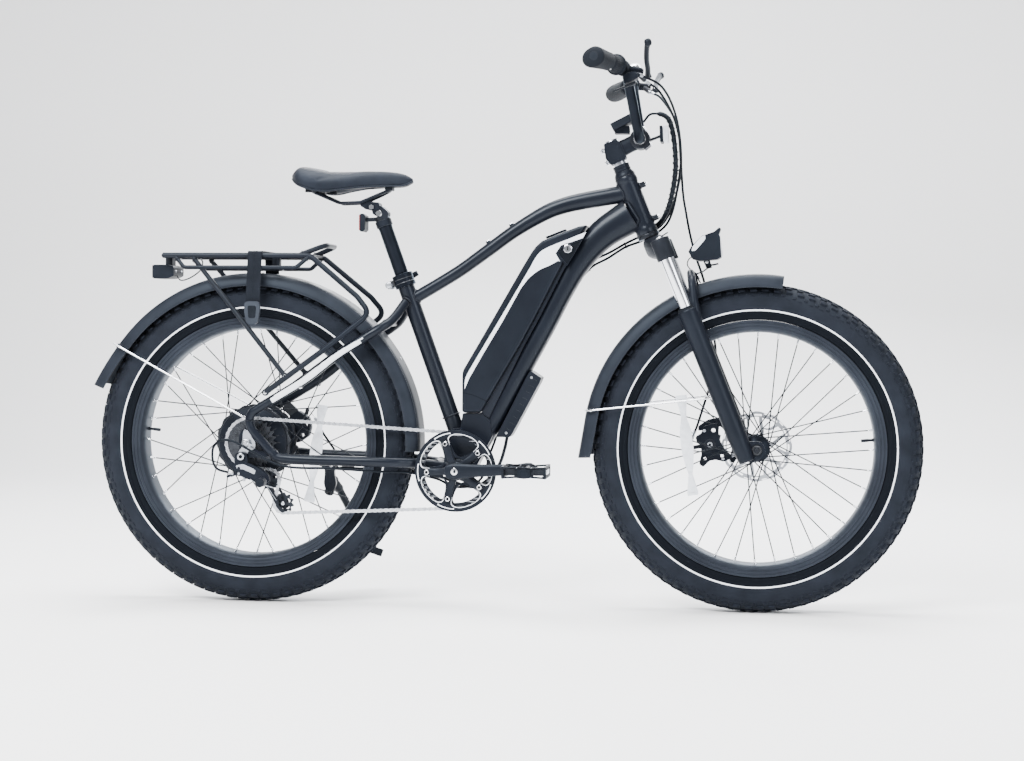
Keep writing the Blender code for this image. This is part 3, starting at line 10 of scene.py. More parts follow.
import bmesh
import bpy
from mathutils import Matrix, Vector, noise
from mathutils.geometry import tessellate_polygon
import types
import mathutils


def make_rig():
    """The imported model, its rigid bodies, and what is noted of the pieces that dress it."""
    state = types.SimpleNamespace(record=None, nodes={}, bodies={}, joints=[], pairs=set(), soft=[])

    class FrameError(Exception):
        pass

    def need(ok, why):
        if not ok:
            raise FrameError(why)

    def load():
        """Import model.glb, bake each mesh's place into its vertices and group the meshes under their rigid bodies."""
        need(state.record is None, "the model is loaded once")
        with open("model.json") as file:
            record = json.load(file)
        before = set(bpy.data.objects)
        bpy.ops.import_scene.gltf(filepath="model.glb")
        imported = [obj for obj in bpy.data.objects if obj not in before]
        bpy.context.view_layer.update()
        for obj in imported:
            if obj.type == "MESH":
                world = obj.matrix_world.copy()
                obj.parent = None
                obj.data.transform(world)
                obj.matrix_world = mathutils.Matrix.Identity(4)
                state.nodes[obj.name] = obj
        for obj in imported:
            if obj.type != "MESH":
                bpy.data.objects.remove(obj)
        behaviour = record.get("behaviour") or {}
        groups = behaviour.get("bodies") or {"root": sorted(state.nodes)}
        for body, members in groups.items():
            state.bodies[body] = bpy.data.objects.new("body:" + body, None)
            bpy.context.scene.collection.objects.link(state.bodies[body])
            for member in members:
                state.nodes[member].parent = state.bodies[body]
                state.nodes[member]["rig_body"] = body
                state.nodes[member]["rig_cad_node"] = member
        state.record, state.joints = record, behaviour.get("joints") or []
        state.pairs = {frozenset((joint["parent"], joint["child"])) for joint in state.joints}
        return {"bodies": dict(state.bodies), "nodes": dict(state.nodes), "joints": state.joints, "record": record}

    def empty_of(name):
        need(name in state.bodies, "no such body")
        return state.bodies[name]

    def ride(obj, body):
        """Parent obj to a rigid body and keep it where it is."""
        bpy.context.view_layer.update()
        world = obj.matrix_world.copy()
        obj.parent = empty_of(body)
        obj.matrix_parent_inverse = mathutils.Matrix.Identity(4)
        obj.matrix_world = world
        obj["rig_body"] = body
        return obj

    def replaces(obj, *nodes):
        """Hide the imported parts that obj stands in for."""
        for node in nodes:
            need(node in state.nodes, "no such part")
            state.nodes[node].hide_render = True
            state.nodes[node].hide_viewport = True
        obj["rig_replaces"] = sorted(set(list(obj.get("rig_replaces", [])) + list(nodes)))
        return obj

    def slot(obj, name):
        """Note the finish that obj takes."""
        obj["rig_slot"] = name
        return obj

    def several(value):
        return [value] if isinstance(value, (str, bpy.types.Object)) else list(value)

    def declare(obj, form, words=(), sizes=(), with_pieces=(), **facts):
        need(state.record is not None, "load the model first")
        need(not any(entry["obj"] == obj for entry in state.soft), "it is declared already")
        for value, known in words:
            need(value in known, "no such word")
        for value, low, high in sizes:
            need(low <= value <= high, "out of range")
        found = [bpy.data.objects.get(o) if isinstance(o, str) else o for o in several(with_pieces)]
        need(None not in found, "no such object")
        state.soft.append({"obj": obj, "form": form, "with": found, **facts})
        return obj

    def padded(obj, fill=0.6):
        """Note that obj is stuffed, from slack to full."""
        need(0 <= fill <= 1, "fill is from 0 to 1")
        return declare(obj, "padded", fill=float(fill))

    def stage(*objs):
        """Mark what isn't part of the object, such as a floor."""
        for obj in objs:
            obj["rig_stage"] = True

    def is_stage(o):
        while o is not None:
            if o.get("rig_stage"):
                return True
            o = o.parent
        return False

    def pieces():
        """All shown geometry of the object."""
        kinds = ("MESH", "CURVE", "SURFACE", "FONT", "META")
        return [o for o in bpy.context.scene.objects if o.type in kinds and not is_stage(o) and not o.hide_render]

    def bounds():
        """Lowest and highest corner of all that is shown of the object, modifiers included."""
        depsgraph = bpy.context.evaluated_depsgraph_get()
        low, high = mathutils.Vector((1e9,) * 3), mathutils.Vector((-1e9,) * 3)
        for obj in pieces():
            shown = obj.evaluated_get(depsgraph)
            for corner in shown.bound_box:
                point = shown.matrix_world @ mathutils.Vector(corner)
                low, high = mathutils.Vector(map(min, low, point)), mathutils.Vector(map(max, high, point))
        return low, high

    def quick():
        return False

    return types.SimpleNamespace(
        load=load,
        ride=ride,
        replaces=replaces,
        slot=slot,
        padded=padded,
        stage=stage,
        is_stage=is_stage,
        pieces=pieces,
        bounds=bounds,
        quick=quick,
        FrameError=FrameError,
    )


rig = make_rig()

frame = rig.load()
CAD_BOX = [list(map(float, corner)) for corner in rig.bounds()]
NODES = frame["nodes"]
random.seed(7)

# ---- driving dimensions ----
ORIGIN_X = 0.5682         # bicycle x of the origin
WHEELBASE = 1.1453
TYRE_R = 0.368            # outer radius of a 26 x 4.0 in tyre
TYRE_HALF = 0.052
AXLE_Z = TYRE_R
SEGMENTS = 36             # facets round a wheel, one of them flat on the ground
HEAD_ANGLE = radians(68.0)
HEAD = Vector((0.8685, 0.0, 0.919))   # a point on the steering axis, half way up the head tube
FRONT_V, FRONT_W = 0.0502, -0.6146    # front axle from HEAD: across and along the steering axis
STANCHION_Y = 0.080
STANCHION_R = 0.0155
LOWER_R = 0.0230
FORK_V = 0.0215           # the fork legs' distance in front of the steering axis
STEERER_R = 0.0143
BAR_R = 0.0111
BAR_CLAMP_R = 0.0125
BB = Vector((0.475, 0.0, 0.312))      # bottom bracket
CRANK = 0.170
SEAT_FOOT = Vector((0.463, 0.0, 0.404))
SEAT_ANGLE = radians(70.2)
SEATPOST_R = 0.0158
PITCH = 0.0127            # chain pitch
RING_TEETH, COG_TEETH, JOCKEY_TEETH = 42, 28, 11
RING_Y, COG_Y = -0.070, -0.060
GUIDE = Vector((0.045, COG_Y, 0.285))     # jockey wheel centres
TENSION = Vector((0.077, COG_Y, 0.231))
ROTOR_R = 0.080
GAP = 0.0003              # between pieces that touch
BATTERY_HALF = 0.042

REAR = Vector((0.0, 0.0, AXLE_Z))
FRONT = Vector((WHEELBASE, 0.0, AXLE_Z))
AX, AZ = sin(HEAD_ANGLE), cos(HEAD_ANGLE)  # forward axis of the steering frame: (AX, 0, AZ)
STEER_AXIS = Vector((-AZ, 0.0, AX))
STEER_FORWARD = Vector((AX, 0.0, AZ))
SEAT_AXIS = Vector((-cos(SEAT_ANGLE), 0.0, sin(SEAT_ANGLE)))
X, Y, Z = Vector((1, 0, 0)), Vector((0, 1, 0)), Vector((0, 0, 1))


def pitch_radius(teeth):
    return PITCH / (2 * sin(pi / teeth))


def S(v, y, w):
    """A point given in the steering frame: v forward, y left, w up along the steering axis."""
    return HEAD + STEER_FORWARD * v + Y * y + STEER_AXIS * w


# ---- mesh helpers: a shape is (points, faces) ----
def rings(sections, closed=False, capped=True):
    """A skin through rings of points that all have the same count."""
    count = len(sections[0])
    points = [Vector(p) for ring in sections for p in ring]
    faces = []
    last = len(sections) if closed else len(sections) - 1
    for i in range(last):
        a, b = i * count, ((i + 1) % len(sections)) * count
        for k in range(count):
            m = (k + 1) % count
            faces.append((a + k, a + m, b + m, b + k))
    if not closed and capped:
        faces.append(tuple(reversed(range(count))))
        faces.append(tuple((len(sections) - 1) * count + k for k in range(count)))
    return points, faces


def smooth(points, steps):
    """A curve through the points, with steps stretches between each two of them."""
    p = [Vector(q) for q in points]
    p = [2 * p[0] - p[1]] + p + [2 * p[-1] - p[-2]]
    out = []
    for i in range(1, len(p) - 2):
        for s in range(steps):
            t = s / steps
            out.append(
                0.5 * ((2 * p[i]) + (p[i + 1] - p[i - 1]) * t
                       + (2 * p[i - 1] - 5 * p[i] + 4 * p[i + 1] - p[i + 2]) * t * t
                       + (3 * p[i] - p[i - 1] - 3 * p[i + 1] + p[i + 2]) * t ** 3)
            )
    return out + [p[-2]]


def rounded(points, radius, steps=3):
    """The path with each of its corners turned into an arc of about this radius."""
    p = [Vector(q) for q in points]
    out = [p[0]]
    for a, b, c in zip(p, p[1:], p[2:]):
        u, v = (a - b), (c - b)
        angle = u.angle(v)
        reach = min(radius / math.tan(angle / 2), 0.45 * u.length, 0.45 * v.length)
        start, end = b + u.normalized() * reach, b + v.normalized() * reach
        for s in range(steps + 1):
            t = s / steps
            out.append((1 - t) ** 2 * start + 2 * t * (1 - t) * b + t * t * end)
    return out + [p[-1]]


def tube(points, radius, sides=8, ref=Y, closed=False, turn=0.5):
    """A round or oval bar: radius is a number, (across, along ref), or one of them for each point."""
    p = [Vector(q) for q in points]
    n = len(p)
    sizes = radius if isinstance(radius, list) else [radius] * n
    sections = []
    for i, q in enumerate(p):
        before = p[i - 1] if i or closed else p[i]
        after = p[(i + 1) % n] if i < n - 1 or closed else p[i]
        along = ((after - q).normalized() + (q - before).normalized()).normalized()
        side = (ref - along * ref.dot(along)).normalized()
        up = along.cross(side)
        a, b = sizes[i] if isinstance(sizes[i], tuple) else (sizes[i], sizes[i])
        sections.append([
            q + up * (a * cos(2 * pi * (k + turn) / sides)) + side * (b * sin(2 * pi * (k + turn) / sides))
            for k in range(sides)
        ])
    return rings(sections, closed)


def strip(points, half_up, half_side, ref=Y, closed=False):
    """A bar of rectangular section."""
    p = [Vector(q) for q in points]
    n = len(p)
    sections = []
    for i, q in enumerate(p):
        before = p[i - 1] if i or closed else p[i]
        after = p[(i + 1) % n] if i < n - 1 or closed else p[i]
        along = ((after - q).normalized() + (q - before).normalized()).normalized()
        side = (ref - along * ref.dot(along)).normalized()
        up = along.cross(side)
        sections.append([q + up * (half_up * a) + side * (half_side * b) for a, b in ((1, 1), (-1, 1), (-1, -1), (1, -1))])
    return rings(sections, closed)


def lathe(profile, centre, axis=Y, sides=96, ring=False, turn=0.5, first=None):
    """A turned shape. profile is (radius, height) along the axis; a ring's profile closes on itself."""
    axis = axis.normalized()
    e1 = (first or (X if abs(axis.x) < 0.9 else Z))
    e1 = (e1 - axis * e1.dot(axis)).normalized()
    e2 = axis.cross(e1)
    sections = []
    for radius, height in profile:
        sections.append([
            centre + axis * height + e1 * (radius * cos(2 * pi * (k + turn) / sides)) + e2 * (radius * sin(2 * pi * (k + turn) / sides))
            for k in range(sides)
        ])
    return rings(sections, closed=ring)


def cylinder(a, b, radius, sides=12, turn=0.5):
    a, b = Vector(a), Vector(b)
    return lathe([(radius, 0.0), (radius, (b - a).length)], a, (b - a), sides, turn=turn)


def prism(outline, low, high, place=None):
    """An outline in the XZ plane, (x, z), extruded from y = low to y = high. place maps (x, y, z) elsewhere."""
    place = place or (lambda x, y, z: Vector((x, y, z)))
    return rings([[place(x, low, z) for x, z in outline], [place(x, high, z) for x, z in outline]])


def box(centre, size, axes=(X, Y, Z)):
    c = Vector(centre)
    a, b, d = (axis * (s / 2) for axis, s in zip(axes, size))
    return rings([
        [c - a - b - d, c + a - b - d, c + a + b - d, c - a + b - d],
        [c - a - b + d, c + a - b + d, c + a + b + d, c - a + b + d],
    ])


def moved(shape, matrix):
    return [matrix @ p for p in shape[0]], shape[1]


def mirrored(shape):
    """The same shape on the other side of the bicycle."""
    return [Vector((p.x, -p.y, p.z)) for p in shape[0]], [tuple(reversed(f)) for f in shape[1]]



SHIFT = Vector((-ORIGIN_X, 0, 0))


def emit(name, shape, look, body, replaces=(), sharp=32.0, bevel=None, segments=2, subsurf=0, looks=None, face_look=None, slot=None):
    """One visible piece riding on a CAD body."""
    mesh = bpy.data.meshes.new(name)
    mesh.from_pydata([tuple(p + SHIFT) for p in shape[0]], [], [tuple(f) for f in shape[1]])
    work = bmesh.new()
    work.from_mesh(mesh)
    bmesh.ops.remove_doubles(work, verts=work.verts, dist=1e-6)
    bmesh.ops.recalc_face_normals(work, faces=work.faces)
    work.to_mesh(mesh)
    work.free()
    mesh.update()
    mesh.shade_smooth()
    mesh.set_sharp_from_angle(angle=radians(sharp))
    mesh.materials.append(look)
    for more in looks or ():
        mesh.materials.append(more)
    obj = bpy.data.objects.new(name, mesh)
    bpy.context.scene.collection.objects.link(obj)
    if face_look:
        for polygon in mesh.polygons:
            polygon.material_index = face_look(polygon.center - SHIFT, polygon)
    if bevel:
        step = obj.modifiers.new("bevel", "BEVEL")
        step.width, step.segments, step.limit_method = bevel, segments, "ANGLE"
        step.angle_limit = radians(28)
        step.harden_normals = True
    if subsurf:
        step = obj.modifiers.new("smooth", "SUBSURF")
        step.levels = step.render_levels = subsurf
    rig.ride(obj, body)
    if replaces:
        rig.replaces(obj, *([replaces] if isinstance(replaces, str) else replaces))
    if slot:
        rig.slot(obj, slot)
    return obj


def merged(shapes):
    """Closed shapes put into one mesh."""
    points, faces = [], []
    for p, f in shapes:
        base = len(points)
        points += list(p)
        faces += [tuple(i + base for i in face) for face in f]
    return points, faces


# ---- materials ----
def surface(name, colour, rough, metal=0.0, mottle=(14.0, 0.25), grain=(900.0, 0.05), rough_vary=0.12, coat=0.0, coat_rough=0.15, wear=0.0, specular=0.11, sheen=0.0, pattern=None):
    """A finish with mottled colour, varied roughness, fine relief, and a little lighter wear on outer edges."""
    made = bpy.data.materials.new(name)
    made.use_nodes = True
    tree = made.node_tree
    shader = tree.nodes["Principled BSDF"]
    add, link = tree.nodes.new, tree.links.new
    where = add("ShaderNodeTexCoord")
    clouds = add("ShaderNodeTexNoise")
    clouds.inputs["Scale"].default_value, clouds.inputs["Detail"].default_value = mottle[0], 6.0
    link(where.outputs["Object"], clouds.inputs["Vector"])
    tone = add("ShaderNodeValToRGB")
    low = tuple(max(0.0, c * (1 - mottle[1])) for c in colour)
    high = tuple(min(1.0, c * (1 + mottle[1])) for c in colour)
    tone.color_ramp.elements[0].position, tone.color_ramp.elements[1].position = 0.3, 0.7
    tone.color_ramp.elements[0].color, tone.color_ramp.elements[1].color = (*low, 1), (*high, 1)
    link(clouds.outputs["Fac"], tone.inputs["Fac"])
    colour_out = tone.outputs["Color"]
    if wear:
        geometry = add("ShaderNodeNewGeometry")
        edge = add("ShaderNodeMapRange")
        edge.inputs["From Min"].default_value, edge.inputs["From Max"].default_value = 0.53, 0.62
        link(geometry.outputs["Pointiness"], edge.inputs["Value"])
        patchy = add("ShaderNodeMath")
        patchy.operation = "MULTIPLY"
        link(edge.outputs["Result"], patchy.inputs[0])
        link(clouds.outputs["Fac"], patchy.inputs[1])
        mix = add("ShaderNodeMix")
        mix.data_type = "RGBA"
        link(patchy.outputs["Value"], mix.inputs["Factor"])
        link(colour_out, mix.inputs["A"])
        mix.inputs["B"].default_value = (*(min(1.0, c + wear) for c in colour), 1)
        colour_out = mix.outputs["Result"]
    link(colour_out, shader.inputs["Base Color"])
    fine = add("ShaderNodeTexNoise")
    fine.inputs["Scale"].default_value, fine.inputs["Detail"].default_value = grain[0], 3.0
    link(where.outputs["Object"], fine.inputs["Vector"])
    if rough_vary:
        spread = add("ShaderNodeMapRange")
        spread.inputs["To Min"].default_value = max(0.02, rough - rough_vary)
        spread.inputs["To Max"].default_value = min(1.0, rough + rough_vary)
        link(clouds.outputs["Fac"], spread.inputs["Value"])
        link(spread.outputs["Result"], shader.inputs["Roughness"])
    else:
        shader.inputs["Roughness"].default_value = rough
    bump = add("ShaderNodeBump")
    bump.inputs["Strength"].default_value, bump.inputs["Distance"].default_value = grain[1], 0.001
    height = fine.outputs["Fac"]
    if pattern == "weave":
        wave = add("ShaderNodeTexWave")
        wave.inputs["Scale"].default_value, wave.inputs["Distortion"].default_value = 420.0, 0.4
        link(where.outputs["Object"], wave.inputs["Vector"])
        height = wave.outputs["Fac"]
    if pattern == "pebble":
        cells = add("ShaderNodeTexVoronoi")
        cells.inputs["Scale"].default_value = grain[0]
        link(where.outputs["Object"], cells.inputs["Vector"])
        height = cells.outputs["Distance"]
    link(height, bump.inputs["Height"])
    link(bump.outputs["Normal"], shader.inputs["Normal"])
    shader.inputs["Metallic"].default_value = metal
    shader.inputs["Specular IOR Level"].default_value = specular
    if max(colour) < 0.05:
        shader.inputs["Specular Tint"].default_value = (0.70, 0.84, 1.0, 1)
    shader.inputs["Coat Weight"].default_value = coat
    shader.inputs["Coat Roughness"].default_value = coat_rough
    shader.inputs["Sheen Weight"].default_value = sheen
    return made


PAINT = surface("frame_paint", (0.0053, 0.0065, 0.0101), 0.34, 0.0, (9, 0.18), (1500, 0.03), 0.05, coat=0.12, coat_rough=0.22, wear=0.012)
SATIN = surface("satin_black_paint", (0.0057, 0.0069, 0.0105), 0.42, 0.0, (12, 0.2), (1800, 0.05), 0.07, coat=0.05, coat_rough=0.3, wear=0.012)
ANODISED = surface("black_anodised", (0.0063, 0.0076, 0.0109), 0.36, 0.45, (20, 0.2), (1800, 0.04), 0.08, wear=0.08)
CAST = surface("cast_black", (0.0059, 0.0069, 0.0101), 0.5, 0.1, (22, 0.25), (700, 0.12), 0.08, wear=0.03)
SILVER = surface("brushed_silver", (0.52, 0.55, 0.60), 0.28, 1.0, (30, 0.10), (1400, 0.05), 0.08)
STEEL = surface("steel", (0.42, 0.44, 0.48), 0.3, 1.0, (40, 0.15), (1200, 0.06), 0.1)
CHROME = surface("chrome", (0.80, 0.82, 0.86), 0.12, 1.0, (30, 0.05), (800, 0.02), 0.04)
CHAIN = surface("chain_silver", (0.52, 0.54, 0.58), 0.26, 0.85, (80, 0.12), (1200, 0.05), 0.1)
RUBBER = surface("tyre_rubber", (0.0092, 0.0108, 0.0152), 0.78, 0.0, (26, 0.25), (520, 0.18), 0.08, sheen=0.02)
TREAD = surface("tread_rubber", (0.0084, 0.0099, 0.0143), 0.86, 0.0, (60, 0.35), (420, 0.35), 0.08, sheen=0.02)
STRIPE = surface("reflective_stripe", (0.84, 0.86, 0.90), 0.45, 0.0, (120, 0.05), (900, 0.08), 0.08)
GRIP = surface("grip_rubber", (0.0063, 0.0074, 0.0101), 0.75, 0.0, (40, 0.2), (260, 0.45), 0.06, sheen=0.02, pattern="pebble")
PLASTIC = surface("moulded_plastic", (0.0063, 0.0076, 0.0109), 0.5, 0.0, (30, 0.2), (900, 0.12), 0.08, wear=0.015)
BATTERY_M = surface("battery_shell", (0.0063, 0.0076, 0.0113), 0.38, 0.0, (14, 0.2), (1300, 0.06), 0.06, coat=0.05, coat_rough=0.3, wear=0.01)
LEATHER = surface("saddle_cover", (0.0101, 0.0120, 0.0172), 0.52, 0.0, (30, 0.25), (620, 0.35), 0.08, sheen=0.02, pattern="pebble")
FENDER = surface("mudguard_plastic", (0.0125, 0.0148, 0.0200), 0.46, 0.0, (16, 0.22), (900, 0.08), 0.07, wear=0.02)
CABLE = surface("cable_jacket", (0.0046, 0.0055, 0.0076), 0.4, 0.0, (60, 0.2), (900, 0.08), 0.06)
WEB = surface("elastic_webbing", (0.0067, 0.0078, 0.0109), 0.85, 0.0, (40, 0.25), (900, 0.3), 0.05, sheen=0.02, pattern="weave")
RED = surface("red_lens", (0.22, 0.012, 0.012), 0.16, 0.0, (60, 0.15), (500, 0.1), 0.04, coat=0.6, coat_rough=0.05, pattern="pebble")
LENS = surface("clear_lens", (0.55, 0.58, 0.63), 0.08, 0.2, (60, 0.1), (400, 0.1), 0.03, coat=0.8, coat_rough=0.04, pattern="pebble")
AMBER = surface("amber_reflector", (0.75, 0.33, 0.05), 0.2, 0.0, (60, 0.1), (500, 0.15), 0.04, coat=0.5, coat_rough=0.05, pattern="pebble")
PALE = surface("white_reflector", (0.88, 0.90, 0.94), 0.3, 0.0, (90, 0.06), (420, 0.3), 0.05, pattern="pebble")
SCREEN = surface("display_glass", (0.0042, 0.0050, 0.0071), 0.1, 0.0, (30, 0.1), (300, 0.01), 0.02, coat=0.7, coat_rough=0.05)
FRAME_LIGHT = surface("pale_panel", (0.80, 0.83, 0.88), 0.5, 0.0, (60, 0.04), (1500, 0.05), 0.05)
RIM = surface("rim_satin", (0.0190, 0.0220, 0.0290), 0.40, 0.2, (12, 0.2), (1500, 0.05), 0.06)
# painted shade: a darker copy of the tyre rubber for the sidewall band by the rim, where shade falls as the tyre tucks
# in
BEAD_SHADE = surface("bead_band_painted_shade", (0.0022, 0.0026, 0.0040), 0.82, 0.0, (26, 0.25), (520, 0.18), 0.08)
BUCKLE = surface("buckle_plastic", (0.0260, 0.0300, 0.0380), 0.55, 0.0, (30, 0.2), (700, 0.2), 0.08)
COG_STEEL = surface("cog_steel", (0.050, 0.054, 0.062), 0.36, 0.7, (70, 0.25), (1000, 0.1), 0.1)
REFLECT = surface("reflector_prisms", (0.66, 0.69, 0.74), 0.28, 0.0, (90, 0.10), (420, 0.35), 0.05, pattern="pebble")
# painted shade: a near-black for the insides of bolt sockets, slots, the keyhole, the lock recess and seams, which are
# dark only from shade
RECESS_SHADE = surface("painted_recess_shade", (0.0025, 0.0029, 0.0042), 0.7, 0.0, (30, 0.2), (600, 0.1), 0.05)
LOOK = {
    "frame_black": PAINT, "satin_black": SATIN, "black_alloy": ANODISED, "silver_alloy": SILVER, "steel": STEEL, "chrome": CHROME, "tyre_rubber": RUBBER,
    "grip_rubber": GRIP, "plastic": PLASTIC, "battery_plastic": BATTERY_M, "saddle_skin": LEATHER, "cable_jacket": CABLE, "webbing": WEB, "lamp_housing": PLASTIC, "red_lens": RED, "fender_black": FENDER,
}
for part in frame["record"]["subparts"]:
    node = NODES[part["node"]]
    for held in node.material_slots:
        held.material = LOOK[part["material_slot"]]

# ---- camera, light, floor ----
CAM = Vector((1.13525, -4.48270, 0.6596)) + SHIFT
yaw, pitch, roll = radians(6.91), radians(-1.85), radians(0.35)
forward = Vector((-sin(yaw) * cos(pitch), cos(yaw) * cos(pitch), sin(pitch)))
right_hand = Vector((cos(yaw), sin(yaw), 0))
upward = right_hand.cross(forward)
r2 = right_hand * cos(roll) + upward * sin(roll)
u2 = -right_hand * sin(roll) + upward * cos(roll)
lens = bpy.data.cameras.new("camera")
lens.sensor_width, lens.sensor_fit = 36.0, "HORIZONTAL"
lens.lens = 1987.8 / 1024 * 36.0
lens.clip_start, lens.clip_end = 0.05, 60
camera = bpy.data.objects.new("camera", lens)
bpy.context.scene.collection.objects.link(camera)
camera.matrix_world = Matrix(((r2.x, u2.x, -forward.x, CAM.x), (r2.y, u2.y, -forward.y, CAM.y), (r2.z, u2.z, -forward.z, CAM.z), (0, 0, 0, 1)))
bpy.context.scene.camera = camera


def area(name, at, aim, size, power, colour=(1, 1, 1)):
    data = bpy.data.lights.new(name, "AREA")
    data.shape, data.size, data.size_y, data.energy, data.color = "RECTANGLE", size[0], size[1], power, colour
    obj = bpy.data.objects.new(name, data)
    bpy.context.scene.collection.objects.link(obj)
    obj.location = at
    obj.rotation_euler = (Vector(aim) - Vector(at)).to_track_quat("-Z", "Y").to_euler()


area("key", (-1.6, -3.4, 3.6), (0, 0, 0.5), (2.6, 1.8), 560, (1.0, 1.0, 1.0))
area("fill", (3.2, -3.0, 1.6), (0, 0, 0.5), (1.8, 2.2), 110, (0.93, 0.96, 1.0))
area("top", (0.0, 0.3, 4.2), (0, 0, 0.3), (3.2, 2.2), 520, (1.0, 1.0, 1.0))
area("back", (0.5, 3.6, 2.6), (0, 0, 0.6), (3.6, 1.8), 300, (0.95, 0.97, 1.0))
world = bpy.data.worlds.new("studio")
bpy.context.scene.world = world
world.use_nodes = True
back = world.node_tree.nodes["Background"]
back.inputs["Color"].default_value = (0.90, 0.92, 0.95, 1)
back.inputs["Strength"].default_value = 0.42

floor_shape = bpy.data.meshes.new("floor")
curve_points, strip_faces = [], []
profile = [(-9.0, 0.0), (3.2, 0.0)] + [(3.2 + 1.6 * sin(t * pi / 20), 1.6 - 1.6 * cos(t * pi / 20)) for t in range(1, 11)] + [(4.8, 7.0)]
for y, z in profile:
    curve_points += [(-14.0, y, z - 0.0004), (14.0, y, z - 0.0004)]
for i in range(len(profile) - 1):
    strip_faces.append((2 * i, 2 * i + 1, 2 * i + 3, 2 * i + 2))
floor_shape.from_pydata(curve_points, [], strip_faces)
floor_shape.shade_smooth()
floor = bpy.data.objects.new("floor", floor_shape)
bpy.context.scene.collection.objects.link(floor)
floor_shape.materials.append(surface("floor_paper", (0.90, 0.90, 0.905), 0.85, 0.0, (0.6, 0.015), (60, 0.02), 0.03))
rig.stage(floor)


# ---- flat plates with holes, and other shapes used often ----
def plate(outlines, low, high, place=None):
    """A plate cut to its first outline, with the other outlines as holes, between y = low and y = high. Outlines are lists of (x, z)."""
    place = place or (lambda x, y, z: Vector((x, y, z)))
    flat = [[Vector((x, z, 0)) for x, z in line] for line in outlines]
    every = [p for line in flat for p in line]
    count = len(every)
    triangles = tessellate_polygon(flat)
    points = [place(p.x, low, p.y) for p in every] + [place(p.x, high, p.y) for p in every]
    faces = [tuple(t) for t in triangles] + [tuple(i + count for i in reversed(t)) for t in triangles]
    base = 0
    for line in flat:
        n = len(line)
        for k in range(n):
            a, b = base + k, base + (k + 1) % n
            faces.append((a, b, b + count, a + count))
        base += n
    return points, faces


def circle(cx, cz, r, sides=24, start=0.0):
    return [(cx + r * cos(start + 2 * pi * k / sides), cz + r * sin(start + 2 * pi * k / sides)) for k in range(sides)]


def polar(cx, cz, pairs):
    """Points given as (radius, angle in degrees) round (cx, cz)."""
    return [(cx + r * cos(radians(a)), cz + r * sin(radians(a))) for r, a in pairs]


def window(cx, cz, r0, r1, a0, a1, corner=0.0025, steps=8):
    """A ring-shaped opening between two radii and two angles (degrees), with rounded corners."""
    def edge(r, start, end):
        return [(r, start + (end - start) * i / steps) for i in range(steps + 1)]
    c0, c1 = math.degrees(corner / r0), math.degrees(corner / r1)
    out = [(r0 + corner, a0), (r0 + corner * 0.3, a0 + c0 * 0.3)] + edge(r0, a0 + c0, a1 - c0) + [(r0 + corner * 0.3, a1 - c0 * 0.3), (r0 + corner, a1)]
    out += [(r1 - corner, a1), (r1 - corner * 0.3, a1 - c1 * 0.3)] + edge(r1, a1 - c1, a0 + c1) + [(r1 - corner * 0.3, a0 + c1 * 0.3), (r1 - corner, a0)]
    return polar(cx, cz, out)


def rod(a, b, radius, sides=8):
    a, b = Vector(a), Vector(b)
    return lathe([(radius, 0.0), (radius, (b - a).length)], a, b - a, sides)


def hex_bolt(at, axis, radius, height, socket=True):
    """A button or hexagon head standing on its point, with a socket in it."""
    axis = Vector(axis).normalized()
    if not socket:
        return lathe([(radius, 0.0), (radius, height * 0.8), (radius * 0.82, height)], Vector(at), axis, 6)
    return lathe([(radius, 0.0), (radius, height * 0.55), (radius * 0.85, height * 0.9), (radius * 0.55, height), (radius * 0.50, height), (radius * 0.48, height * 0.35), (radius * 0.02, height * 0.35)],
                 Vector(at), axis, 18)


def at_angle(centre, radius, degrees, y=0.0):
    return centre + Vector((radius * cos(radians(degrees)), y, radius * sin(radians(degrees))))


# ---- tyres ----
CARCASS = [(0.3646, 0.0), (0.3636, 0.0120), (0.3592, 0.0260), (0.3512, 0.0375), (0.3400, 0.0458), (0.3270, 0.0498), (0.3150, 0.0494), (0.3052, 0.0462), (0.2965, 0.0428), (0.2898, 0.0408), (0.2872, 0.0376)]


def carcass_line():
    line = [Vector((r, y, 0)) for r, y in CARCASS]
    return [(p.x, p.y) for p in smooth(line, 6)]


LINE = carcass_line()


def on_carcass(r_wanted):
    """The outline's half width at this radius, on the sidewall."""
    for (r0, y0), (r1, y1) in zip(LINE, LINE[1:]):
        if r1 <= r_wanted <= r0:
            t = (r0 - r_wanted) / max(r0 - r1, 1e-9)
            return y0 + (y1 - y0) * t
    return LINE[-1][1]


def tread_place(s):
    """(radius, y, across, normal) at arc length s from the middle of the tread, signed."""
    side, left = (1 if s >= 0 else -1), abs(s)
    for (r0, y0), (r1, y1) in zip(LINE, LINE[1:]):
        step = math.hypot(r1 - r0, y1 - y0)
        if left <= step:
            t = left / step
            dr, dy = (r1 - r0) / step, (y1 - y0) / step
            return r0 + dr * left, side * (y0 + dy * left), (dr, side * dy), (dy, side * -dr)
        left -= step
    return LINE[-1][0], side * LINE[-1][1], (0, side), (1, 0)


def knob(centre, angle, s, length, width, height, taper=0.80, skew=0.0):
    r, y, across, normal = tread_place(s)
    radial = Vector((cos(angle), 0, sin(angle)))
    along = Vector((-sin(angle), 0, cos(angle)))
    a = radial * across[0] + Y * across[1]
    n = radial * normal[0] + Y * normal[1]
    foot = centre + radial * r + Y * y - n * 0.0012
    out = []
    for k, (level, size) in enumerate(((0.0, 1.0), (height + 0.0008, taper + 0.07), (height + 0.0012, taper - 0.06))):
        ring = []
        for u, v in ((1, 1), (-1, 1), (-1, -1), (1, -1)):
            slant = skew * v * width * 0.5
            ring.append(foot + n * level + along * (u * length * 0.5 * size + slant) + a * (v * width * 0.5 * size))
        out.append(ring)
    return rings(out)


